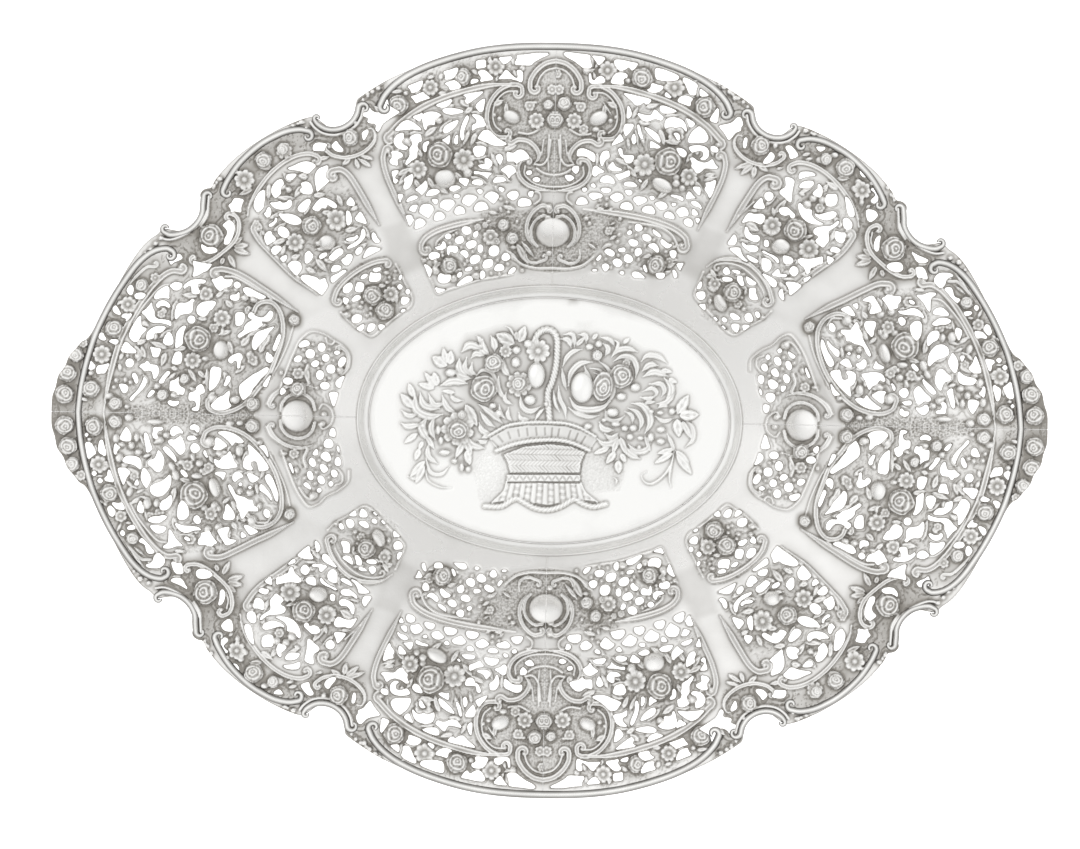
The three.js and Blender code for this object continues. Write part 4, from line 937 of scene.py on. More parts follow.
    (102.3, 23.4, 103, 22.6, 104, 20.5, 104.4, 19.3, 103.8, 18.9, 103, 20, 102.4, 22),
    # the east panel's foliage
    (111.5, 40.7, 112.6, 41, 113.8, 39.6, 113.7, 38, 112.7, 37.6, 111.4, 38.6),
    (108.3, 34.3, 109.3, 34, 110.3, 31.5, 111.5, 29, 113, 26.8, 113.7, 24.8, 113, 23.8, 112, 23.6, 110.6, 25.2,
     109.2, 28.5, 108.3, 31.5),
    (110.8, 34.3, 111.6, 33.3, 113.3, 31.6, 115.4, 30.2, 115.7, 28.8, 115.4, 27.7, 114.3, 28, 112.5, 30, 111, 32.2),
    (116.1, 38.4, 118.3, 38.5, 120, 38.6, 121, 40.2, 122, 41.5, 122.7, 41.3, 123.3, 39.2, 124.5, 37, 124.7, 35.3,
     125.8, 33.2, 127.5, 30.3, 128.2, 28.2, 127.5, 28, 126.3, 29.3, 125.6, 30.8, 125, 31.8, 123.5, 32.5, 121.5, 33,
     119.7, 34, 118.4, 34, 117.8, 36, 116.5, 37),
    (125.2, 40.6, 126, 42, 129.3, 42, 129.9, 40.6, 129.2, 38.5, 129, 36.6, 128.2, 35.8, 127, 37, 125.8, 38.6),
    (120.4, 48.4, 122, 49.2, 122.6, 48.5, 122.5, 46.7, 121.6, 47.2),
    (115.8, 46.7, 118.5, 47.9, 119.6, 47.4, 121, 45.5, 121.5, 44.2, 119.8, 44.2, 117.5, 45.5),
    (124.3, 50.2, 126, 51.6, 128.3, 52.2, 129.5, 50.7, 131.2, 48, 131.9, 46.3, 130, 45.4, 127.8, 44.9, 127.2, 45.8,
     127.9, 47.7, 127.7, 49.2, 126.5, 49.8),
    (131.9, 51.3, 133, 51.8, 134.2, 52.8, 137, 52.2, 139.4, 52, 139.3, 50, 138.5, 49, 138.3, 47.6, 137, 47.1, 135,
     46.8, 134.3, 48, 133, 49.8),
    (138.5, 46.3, 141, 46.5, 143.5, 47.4, 145.5, 47.3, 147.3, 46.2, 148.6, 44.4, 148.4, 43.7, 145.5, 44.6, 142,
     44.8, 139.5, 45.2),
    (142.5, 50.5, 143.7, 50.7, 145, 49.8, 144.5, 49, 143.2, 49.4),
    (145.5, 52.8, 148, 52.9, 150.5, 53.8, 153, 53.7, 153, 52.7, 151.5, 51.8, 151.2, 49.5, 151.2, 47, 150.8, 46.2,
     149.8, 47.3, 148.5, 49.5, 147, 51.2),
    (152.3, 45.4, 152.7, 46.9, 154.2, 47.8, 156, 47.8, 157.8, 46.4, 158.6, 45, 157.5, 44.6, 155, 44.8),
    (152, 41.2, 153, 42.4, 154.8, 43.6, 157, 43.8, 158.8, 43.3, 159.5, 42.4, 157.8, 41.3, 155.5, 41.1, 153.5, 40.6),
    (150.1, 35.5, 151, 37.4, 152.4, 38.5, 154.4, 38.5, 155, 37, 154.2, 35, 152.5, 34, 151, 32.6, 150.3, 33),
    (143.4, 40.5, 145, 42.2, 147, 42.3, 147.9, 41, 147.9, 38, 147.5, 36.3, 146.3, 34.7, 145, 35.4, 143.7, 37.6),
    (138.6, 43.2, 140, 43.9, 141.5, 42.6, 141.2, 41, 140, 40.5, 139, 41.5),
    (150.6, 26.5, 151, 29, 152.3, 31.3, 154, 32.8, 156.3, 33.2, 158.2, 32.2, 159, 30.5, 158.6, 29, 156.8, 28,
     154.5, 27.1, 152.7, 25.7, 151.4, 24.4, 150.8, 25.2),
    (160.3, 29.9, 161.3, 29, 162.4, 27, 162.7, 25, 162.1, 22.5, 161.2, 22, 160, 23.2, 158.9, 25.2, 158.8, 27,
     159.6, 28.6),
    (163.5, 28.7, 164.4, 28.9, 165.2, 28.5, 164.5, 26.8, 163.9, 26.5, 163.5, 27.6),
    (169.3, 28.7, 170, 28, 171, 25.5, 171.8, 23, 171.3, 22, 168.5, 22.2, 167, 23.5, 167.2, 24.5, 168.3, 26),
    (162.8, 22.8, 163.5, 22.2, 165.5, 20.8, 168, 20.2, 169.9, 19.5, 169.8, 18.5, 168.5, 17.3, 165.5, 17.2, 163.7,
     17.8, 162.8, 19, 162.5, 20.8),
    (172.7, 16.7, 173.5, 16.2, 173.6, 14, 173, 12.3, 172, 13.2, 171, 13.9, 172, 15),
    (167, 11, 168.3, 11.4, 170, 11.2, 171.3, 10.3, 170.6, 8.3, 169.2, 6, 168.6, 5.8, 167.5, 7.3, 166.8, 9),
    (160.1, 15.7, 160.8, 15.3, 161.1, 13, 161.6, 10.5, 161.7, 8.3, 161, 7.8, 160.1, 9, 159.2, 12, 158.4, 14, 159,
     15),
    (153.8, 20.5, 154.3, 22.3, 155.5, 23.4, 157, 23.1, 158.3, 21.8, 160, 20.2, 159.6, 19, 157.8, 18.2, 156.9, 17,
     156.2, 14.9, 155.6, 14.9, 154.3, 16.5, 153.6, 18.5),
    (148.8, 19.5, 150, 18.5, 151.5, 17.2, 153, 15.8, 154.3, 14, 153.5, 13.2, 152.3, 13.5, 150.5, 15.3, 149, 17.6),
    (146, 15.5, 147.3, 16.4, 148.5, 15.5, 150, 13.7, 151.8, 12.2, 152.2, 11, 151.3, 10.3, 149.7, 10.4, 148.6, 9.6,
     147.6, 9, 146.6, 9.8, 145.7, 12, 145.3, 14),
    (144.2, 25, 145.1, 25.3, 146.3, 24.4, 147.1, 23.2, 146.7, 22.3, 145.7, 22.7, 144.5, 23.8),
    (139.5, 13.7, 140.3, 15, 141.7, 15.6, 142.9, 15, 143.4, 13.5, 142.8, 12.2, 141.7, 11.6, 140.3, 12.3),
    (140.9, 9.8, 142, 10.3, 143.8, 10.6, 144.6, 10.2, 144.5, 9, 143.5, 8.7, 142, 8.8),
    (140, 5.3, 140.2, 7, 141, 7.3, 142, 6.3, 143.5, 6.2, 143.7, 5.2, 142.8, 4.3, 141.5, 4.2),
    (146.2, 7.8, 147.8, 7.8, 149, 8.2, 150, 9, 151, 8.7, 151.5, 7.5, 151.2, 6.2, 149.8, 5, 148.2, 5.3, 147, 6.5),
    (154.3, 5.6, 156.5, 5.5, 158, 5.7, 158.2, 7, 158.5, 8.5, 158, 9.8, 157, 10.2, 156.3, 9.7, 156.6, 8, 155.8, 7,
     154.7, 6.8),
    (136.3, 17.6, 137.3, 17, 138.2, 15.6, 137.8, 14.3, 137.2, 14.8, 136.7, 16.2),
    (129.2, 23.4, 129.6, 24.8, 130.2, 26.2, 131, 25.2, 132.5, 24.4, 133.5, 23.8, 132.8, 23, 130.5, 22.9),
    (122.3, 24.8, 124, 25.6, 125.3, 26.8, 126.3, 26.2, 126.5, 24.5, 125.5, 23, 124.2, 22.9, 123, 23.5),
    (124.7, 20.9, 126.5, 21.3, 129, 21.7, 131.5, 21.5, 133.2, 20.5, 134, 18.5, 133.4, 17.9, 132.5, 18.4, 131.7,
     18.4, 130.8, 17, 129, 16, 128, 14.7, 127.6, 14.8, 126.8, 16.5, 126, 18.5, 125, 19.8),
    (128.9, 12.3, 130, 13.2, 131, 14, 133, 14.2, 134.5, 13.9, 133.8, 12.5, 133.7, 10.5, 133.2, 9.2, 131.5, 10),
    (122.3, 10.7, 124.3, 11.4, 125.7, 11, 126.5, 12.1, 127, 12.4, 127.8, 11.3, 129.5, 9.7, 131.3, 8.3, 132.6, 7.5,
     131.8, 6.8, 129.5, 6.7, 127, 7.3, 124.5, 8.6),
    (112.3, 20.8, 113, 22, 115, 22.3, 116, 22.4, 116.6, 20.5, 117, 19, 118, 18.4, 119.3, 19, 119.3, 20.2, 118.6,
     21.3, 118.9, 22, 120.5, 22, 122.2, 21, 122.4, 19, 121.5, 16.7, 120.3, 16, 120.4, 14, 120.8, 12.2, 120.3, 11.8,
     118.5, 13.2, 116, 15.6, 113.8, 18.3),
    (116, 25.2, 117, 26.4, 118.3, 27, 119.5, 26.5, 120.3, 25, 120.8, 23.6, 119, 23.5, 117.5, 24.2),
    (112.4, 16.9, 113.3, 16, 114.5, 14.3, 116.3, 12.5, 115.5, 12.2, 114, 12.1, 113, 14),
    (118.8, 29, 119.5, 29.7, 120.2, 29, 119.5, 28.3),
    (122.5, 27.8, 123.3, 28.6, 124.1, 27.8, 123.3, 27),
    (161.5, 39.8, 162.7, 39.8, 163.8, 38.8, 163.8, 37.3, 163, 35.3, 162.5, 34.8, 161.9, 36.5, 161.2, 38),
]

# x, y, radius, for the roses and the daisies
ROSES_A = [
    (34.4, 137.2, 4.1), (59.7, 126.1, 4.2), (45.7, 104.4, 5.6), (3.6, 126.6, 2.9), (0.4, 120.2, 3.2),
    (41.9, 63.2, 3.9), (72.6, 52.8, 3.9), (96.9, 77.9, 4.6), (116.2, 102.9, 3.9), (82.2, 111.2, 3.9),
    (136, 71, 4.9), (141.6, 32.3, 5.6), (165.3, 50, 2.7), (175, 32.1, 3.7), (181.6, 5.7, 3.7), (189.8, 20.9, 3),
    (191.6, 13.6, 3.7), (193.2, 5.4, 3.8), (103.6, 39.4, 2.4), (119.2, 4.4, 2.9), (108.3, 106.2, 2.6),
    (173.3, 3.6, 2.8),
]
DAISIES_A = [
    (20.6, 139.9, 3.9), (47.4, 133.6, 4.2), (36.1, 102.9, 4.6), (7.6, 119.8, 3.3), (54, 98.4, 3.6),
    (48.4, 115, 3.4), (102.4, 70.4, 4.2), (87.6, 79.5, 3.9), (123, 94, 3.7), (134.6, 39.8, 2.7), (128.8, 47.6, 2.5),
    (144.2, 20.6, 2.3), (179.3, 20.8, 3.7), (170.2, 41.2, 2.6), (142.3, 50, 2.2), (155, 39.8, 2.1),
    (102.3, 15.2, 2.1), (11.5, 116.6, 2.1), (1.4, 132, 2.2), (0.6, 138.2, 1.8), (65.3, 56, 2.6), (74.8, 48.2, 1.8),
    (136, 21.3, 2.2), (158.7, 41.2, 2), (10.2, 125.4, 2.2), (186.2, 25.2, 2.2), (106.3, 86.8, 2), (22.5, 76.5, 1.8),
    (47, 64.6, 1.8), (165.2, 25.2, 2),
]
# x, y, radius, and where it isn't round the radius along y and the turn in degrees
RIM_BEADS = [
    (70.6, 131.4, 1, 0.9), (72.8, 129.8, 1, 0.9), (74.8, 128.2, 0.9), (76.6, 126.4, 0.8), (100.4, 117, 0.9, 0.7),
    (102.4, 116.4, 0.9, 0.7), (134.4, 92.4, 0.8, 0.9), (135.8, 90.4, 0.8, 0.9),
]
BERRIES_A = RIM_BEADS + [
    (43.4, 95, 4.6, 2.9, -28), (48.9, 98.2, 1.6), (49, 95.8, 1.8, 1.6), (51.5, 94, 1.4), (52.2, 100.2, 1.4, 1.7),
    (91.3, 71.4, 3.9, 3.3), (67.8, 48.6, 2.6, 3.9, 25), (133.6, 29.3, 2.4, 4.2, 18), (133.3, 36.7, 2),
    (137.4, 37.4, 1.7, 1.6), (131.7, 37.7, 1.2, 1.4), (140.6, 24.8, 2.4, 1.5), (118.3, 42, 2.2, 2),
    (131.5, 45, 1.8), (135.8, 45.8, 1.6), (160, 36.2, 2, 2.4), (156.2, 36, 1.5, 1.8), (135.7, 10.9, 2.2),
    (146.6, 19.4, 1.7, 1.3), (139.7, 19.7, 1.8, 1.6), (46, 117, 2, 1.6, 20), (50.4, 117.2, 1.9, 1.6, -20),
    (17.4, 121, 4, 3, 25), (24.2, 121.6, 0.8), (22.2, 120.2, 1.1), (11, 126.4, 1.6, 0.9), (8.2, 126.8, 1.4, 0.8),
    (16.4, 116.6, 1.7, 1.2), (-1.8, 80, 1.8), (-1.9, 84.5, 1.3), (-1.4, 68.5, 1.7, 1.3), (12.4, 139.8, 1.9, 1.6),
    (29, 136.1, 1.2, 1.3), (13.2, 81.4, 1.3, 1), (14.6, 79.4, 1.1, 1), (21.6, 76, 0.9), (24, 77.4, 1.1, 1),
    (26.8, 81.4, 1, 0.9), (21.2, 86.8, 0.8, 1), (18.7, 88.6, 0.8), (21.3, 89.2, 0.9, 0.8), (87.5, 76.5, 1.3),
    (84.9, 77.6, 1), (89.3, 77.3, 1.2, 1.4), (103.6, 90.6, 1.7), (107.3, 89.8, 1.7), (101.2, 88, 2.1, 2),
    (122.9, 89.6, 1.2, 1.8), (120, 94.8, 1.7, 1.5), (121.4, 97.4, 1.6, 1.5), (111.7, 107.9, 1.8, 1.4),
    (105.6, 105.8, 1.6), (101.6, 106.2, 1.6, 0.9, 10), (88, 111.2, 1.2), (67, 134.1, 1.2, 1.1),
    (69.3, 132.2, 1.2, 1.1), (71.4, 129.8, 1.2), (65.3, 135.2, 0.8, 0.7), (99.9, 117.2, 1.2, 1.1),
    (103.4, 115.9, 1.1, 0.8), (158.5, 67.6, 1.2, 1.1), (161.8, 65.9, 1.2), (164.4, 63, 0.8), (133, 95.2, 0.9),
    (135.5, 92, 0.9, 1.1), (188.3, 26, 1, 1.4, 30), (183.3, 10.8, 1.2, 0.9), (176.4, 36.4, 1.1, 1.2),
    (182, 20.4, 1.1, 1.6), (176, 21.4, 1.1, 1.3), (164.6, 9.8, 1.2, 2), (166.6, 13, 1.5, 1.6),
    (172.8, 10.4, 1.5, 2.2), (170.6, 12.8, 1.6, 1.1), (167.9, 1.9, 2, 1.7), (171.4, 18, 1.8, 2.1),
    (163.8, 15.6, 1.6, 1.4), (124, 3.3, 1.7, 1.3), (128, 3.5, 1.8, 1.4), (157.5, 3.4, 3.4, 1.3),
    (106.2, 15.2, 1.4, 0.9), (94.2, 31.8, 1.9, 1.6), (93.6, 27, 0.9), (88.2, 24.4, 0.8), (93.3, 22.4, 0.9),
    (88, 19.6, 0.8), (92.3, 17.6, 0.8), (87, 15, 0.7), (91.7, 12.7, 0.8), (97.8, 24.8, 0.9, 1),
    (101.2, 21.8, 1.1, 1.5, 20), (91.3, 3, 1.3), (30.8, 78, 0.8), (33.4, 75, 0.8), (40.6, 73.2, 0.8),
    (37, 77.6, 0.7), (32, 69, 0.9), (37, 71, 0.8, 0.9), (26.5, 67, 0.8), (21.5, 65.4, 0.8), (23.6, 62, 0.7),
    (30, 63, 0.8), (34.6, 65.4, 0.9), (45.5, 68.6, 1, 0.8), (26, 72.4, 1, 0.9), (26.6, 75.2, 1, 0.9),
    (17, 63.4, 0.8), (63.7, 49.3, 0.9, 1.2), (77.2, 46.2, 1), (76.2, 50.8, 0.9), (72.6, 56.6, 1.4, 0.7),
    (77.6, 53, 0.8, 1.2), (84.6, 43, 1, 0.9), (115.5, 36.3, 1.2, 1.4), (119.4, 31, 1.8, 1.6),
    (123.5, 30.5, 1.3, 1.4), (126.6, 16.8, 1.4, 1.2), (124, 14.4, 1.8, 2.4), (131.5, 15.8, 2.2, 1.4, -20),
    (116, 11, 1.2, 1.1), (167, 31.5, 1.5, 2.2, -20), (169.3, 20.8, 1.5, 1.2), (149, 24.5, 1.6, 2.6, 20),
    (150.6, 21, 1.4, 2, 30), (155.6, 10.6, 1.9, 1.6), (153, 8.6, 1.5, 1.4), (142.4, 17.4, 1, 1.9, 20),
    (138.6, 22.6, 1.3, 1.2),
]
# x and y of the stalk, x and y of the tip, width
LEAVES_A = [
    (14.5, 140.6, 14, 146, 1.5), (15.4, 140.6, 19, 146, 1.6), (11, 138.6, 15.6, 140.4, 2.4),
    (16, 136, 15, 139.4, 1.4), (25, 140.6, 29, 136.6, 1.6), (52, 134, 57, 137, 1.5), (56.6, 129.4, 57.2, 134, 1.4),
    (50.6, 131, 56, 129.6, 1.6), (42.5, 130.4, 47.4, 128.8, 1.6), (36, 134.8, 39.6, 136.8, 1.6),
    (62.4, 127.6, 65.6, 120, 1.8), (33, 120, 38.4, 119.2, 2.4), (30.8, 121, 33, 126, 1.8),
    (36, 125.6, 41.6, 127, 2.2), (43.4, 122.2, 50, 123, 1.5), (33.6, 117.6, 36, 110, 1.8),
    (32, 117, 33.6, 110, 1.3), (29, 113.6, 30, 108.6, 1.5), (41.8, 117.4, 44, 110.4, 2.6),
    (53.4, 117, 52, 122, 1.2), (44, 112.6, 50, 111.4, 2.2), (55, 108.2, 52.4, 103.4, 1.6),
    (59, 104.6, 54, 104.4, 0.9), (33, 98, 29, 103, 2.2), (24, 105.6, 30, 102.6, 2), (17.2, 107.4, 17, 101.6, 1.6),
    (21, 104, 22.4, 99.6, 1.4), (37.6, 97.4, 34.6, 92.6, 2.2), (46, 93.2, 41.4, 89.6, 2.2),
    (56.4, 96.8, 59.6, 92.6, 2.2), (60, 99, 64.6, 99.6, 2), (59.6, 97, 65.4, 98.6, 1.6),
    (63.6, 106.6, 62.2, 111, 1.3), (57.6, 107.2, 56, 109.4, 1.6), (99.5, 67, 97, 64, 1.6),
    (104, 64, 107.2, 62, 2.4), (99.2, 60.4, 104.6, 61, 1.9), (111, 73.4, 112.6, 78.6, 1.8),
    (112.2, 68.4, 108.6, 69.6, 1.6), (115, 78.8, 112, 84, 2.6), (104, 76, 99.6, 74.6, 1.6),
    (107, 93, 109.4, 96.4, 2.4), (113.4, 94, 108.6, 97.4, 2.6), (97.6, 92.2, 103, 95, 1.8),
    (100.4, 91.6, 97.4, 93, 1.5), (84.6, 87.4, 89, 91.4, 2), (88.4, 84.4, 93.4, 90.4, 2.6),
    (87.6, 87, 88.4, 83, 1.6), (82, 85.4, 78, 85.4, 1.3), (77, 80.4, 82.6, 77.4, 3.4), (74.4, 73.6, 79, 73, 1.4),
    (82.8, 72.4, 78.6, 68.6, 1.6), (84, 69, 89.6, 64.6, 1.6), (93, 63.6, 97.6, 66.2, 1.8),
    (92.4, 61.2, 96, 60.8, 2), (90.6, 57.4, 94.4, 53.4, 2), (92, 58.6, 97, 58.4, 1.4), (83.4, 63.6, 83, 68, 1.4),
    (61.6, 59, 66.6, 59.6, 2.4), (63.6, 62, 66, 58, 1.8), (66, 53, 62.4, 55, 1.8), (77.6, 60, 73, 59.6, 1.4),
    (75.6, 56, 78.6, 53.6, 1.6), (69.6, 56.8, 66.6, 58.4, 1.4), (46.6, 66, 50.6, 65.2, 1.8),
    (40, 67.2, 36, 66.2, 1.8), (45.8, 62, 49.6, 64.4, 1.7), (38.6, 61.6, 34.4, 61.6, 1.4),
    (44, 59.6, 47.8, 61, 1.6), (17, 84.6, 20.4, 85.4, 2), (21.6, 84.4, 24, 85.6, 1.2), (18.6, 87, 16.6, 85.6, 1.2),
    (22.6, 73.2, 25.6, 74.6, 1.6), (24, 71.2, 20, 70.6, 1.6), (14.2, 71.4, 17.8, 69.2, 1.3),
    (22.6, 71.4, 19.4, 69.2, 1.3), (25, 80, 22.6, 78.8, 1), (19.6, 121.4, 19.6, 126.8, 2),
    (25, 125.4, 20.6, 127.4, 2.6), (22.5, 122.4, 19, 127.6, 0.9), (138.6, 24.2, 133.6, 21.6, 1.8),
    (142.6, 19.4, 142, 13.6, 1.4), (147.8, 21.4, 150.4, 16.6, 1.4), (143, 27, 147.4, 26, 2.4),
    (149, 29, 150.2, 36, 2.4), (149.4, 41, 148.4, 47, 2.4), (153, 26.4, 158, 28, 2.2),
    (162.6, 33.6, 166.6, 36.4, 2), (158.4, 34.4, 163.4, 33, 1.3), (164.4, 31.8, 161, 30.4, 1.4),
    (163, 24.4, 168.2, 22, 1.8), (168.4, 27, 165.4, 30, 1.6), (166.4, 28.8, 163.6, 30.2, 1.3),
    (160.6, 21.8, 158.4, 17.4, 2.2), (162, 17.4, 158.6, 16.4, 1.6), (163.4, 8.4, 161.2, 13.6, 1.2),
    (158, 12, 154, 10, 1.6), (146.4, 11, 147.6, 8.4, 1.4), (140, 8.6, 143.4, 7.4, 1.2),
    (136.2, 16.6, 133.6, 19.8, 1.8), (131.2, 15.2, 128.4, 15.2, 1.8), (122.4, 18.4, 120.4, 13.4, 1.8),
    (124.4, 12, 121.6, 12.4, 1.6), (122, 22.6, 127.6, 24.6, 2), (117.6, 22.8, 122.2, 23.4, 1.4),
    (113.8, 21.8, 115.6, 25.6, 1.4), (116.4, 31.8, 117, 26.6, 1.6), (126.6, 34.2, 124.8, 38.6, 1.8),
    (130, 35.4, 127.2, 33, 1.8), (124.4, 42.6, 122.6, 38.4, 1.6), (126.2, 43, 124, 46, 2.4),
    (132, 48, 130, 51.8, 2), (141, 48, 138.6, 45, 1.8), (140.8, 47.2, 147, 48.4, 1.5), (149, 54.6, 143.8, 55, 1.6),
    (137.6, 41.4, 142.4, 44, 1.6), (160.8, 38.4, 160, 42.4, 1), (161, 61, 166, 55, 1.3),
    (160.8, 56.6, 165, 53.2, 1.2), (145.6, 65, 149.6, 65, 1.2), (170, 44, 171.6, 47.6, 1.4),
    (168.4, 43.8, 165.6, 44, 1.3), (178.6, 35, 176.6, 36.6, 1.2), (177.4, 25.4, 180.4, 25.6, 1.2),
    (181, 12.8, 180, 16, 1), (125.6, 97, 128, 96.6, 1.6), (126.4, 88.4, 124.6, 87, 1.4),
    (112.8, 98.6, 118, 98.8, 2.4), (98.6, 107.6, 102.4, 108.4, 1.6), (79.2, 104.4, 71.6, 101.8, 2.2),
    (79.4, 103.6, 74.2, 99.4, 2.6), (80.2, 103.2, 79.4, 97.9, 2.6), (81.2, 103.6, 85.6, 101, 2.3),
    (127.6, 66.2, 120.6, 64.2, 2.8), (127.4, 67, 121, 68, 2.7), (127.4, 68, 123.8, 71, 2.2),
    (129.4, 64, 126.6, 58.4, 2.6), (131.2, 62.8, 132.4, 59.6, 2.2), (88.6, 102, 91.4, 102.6, 1.3),
]
# x, y pairs, width, lift, double ridge, then radius, turn and side of the curls at the first and the last end
SCROLLS_A = [
    ([12, 84.9, 20, 84.1, 30, 82.8, 40, 80.8, 48, 78, 52.8, 74.6, 54, 71.2], 2.4, 1.1, True, None, (2.1, 250, -1)),
    ([30, 80.2, 37, 79.4, 43, 78.2, 47.5, 75.5, 49.6, 72.2], 1.3, 0.8, False, None, (1.4, 250, -1)),
    ([92, 51.6, 96, 54.6, 102, 59, 108, 63.5, 113, 67, 117, 71, 119.9, 75.4], 2.4, 1.3, True, None, (1.9, 250, 1)),
    ([102, 42.6, 110, 47, 117, 50.4, 124, 54, 130, 56.8, 134.4, 57], 2.6, 1.3, True, None, (2.2, 250, -1)),
    ([74.6, 83.6, 80, 88.8], 0.9, 0.5, False),
    ([62, 62.8, 66, 65.4, 72, 66, 78, 64.6, 83, 60.6, 86.6, 55.4, 88.4, 50], 1.8, 1.2, True, None, (2.1, 300, -1)),
    ([66, 63.8, 70, 64.4, 75.6, 63, 81, 58.8, 84.6, 53.6, 85.6, 49.6], 1.1, 0.7, False, (1.5, 260, 1)),
    ([60.6, 60.6, 58.8, 56, 57.4, 51.6, 59.4, 48.6, 63, 45, 67.4, 40.6, 71.4, 36.6, 74.6, 36, 79, 39, 85, 42.4, 88,
     45.4], 1.0, 0.6, False),
    ([80.2, 21.5, 80.6, 26, 84.4, 29.6, 89, 32, 92, 35, 95.6, 36.2, 98.6, 33.4, 101.8, 28, 104.4, 21.6, 107.3, 14],
     1.0, 0.6, False),
    ([84.6, 21.2, 82.8, 23.6, 83.2, 26.4, 85.4, 27.4], 1.0, 0.7, False),
    ([92.6, 30.8, 94.6, 33.2, 97.4, 32.2, 100, 28.6], 1.1, 0.7, False),
    ([119.4, 41, 118.6, 43.8, 114, 44.8, 109.4, 42.5, 106.9, 38, 106.9, 32, 108.4, 26, 110.8, 20.5, 114.4, 15,
     118.4, 10.5, 123, 7.2, 128, 5.4, 133, 5.1, 137, 6.8, 138.6, 10], 1.9, 1.3, True, (1.9, 250, 1), (2.6, 200, 1)),
    ([110.6, 40, 112.4, 42.8, 116, 43], 1.2, 0.8, False),
    ([129, 8.2, 126.4, 11.2, 128.4, 14.4, 124.4, 19.6], 1.0, 0.7, False),
]
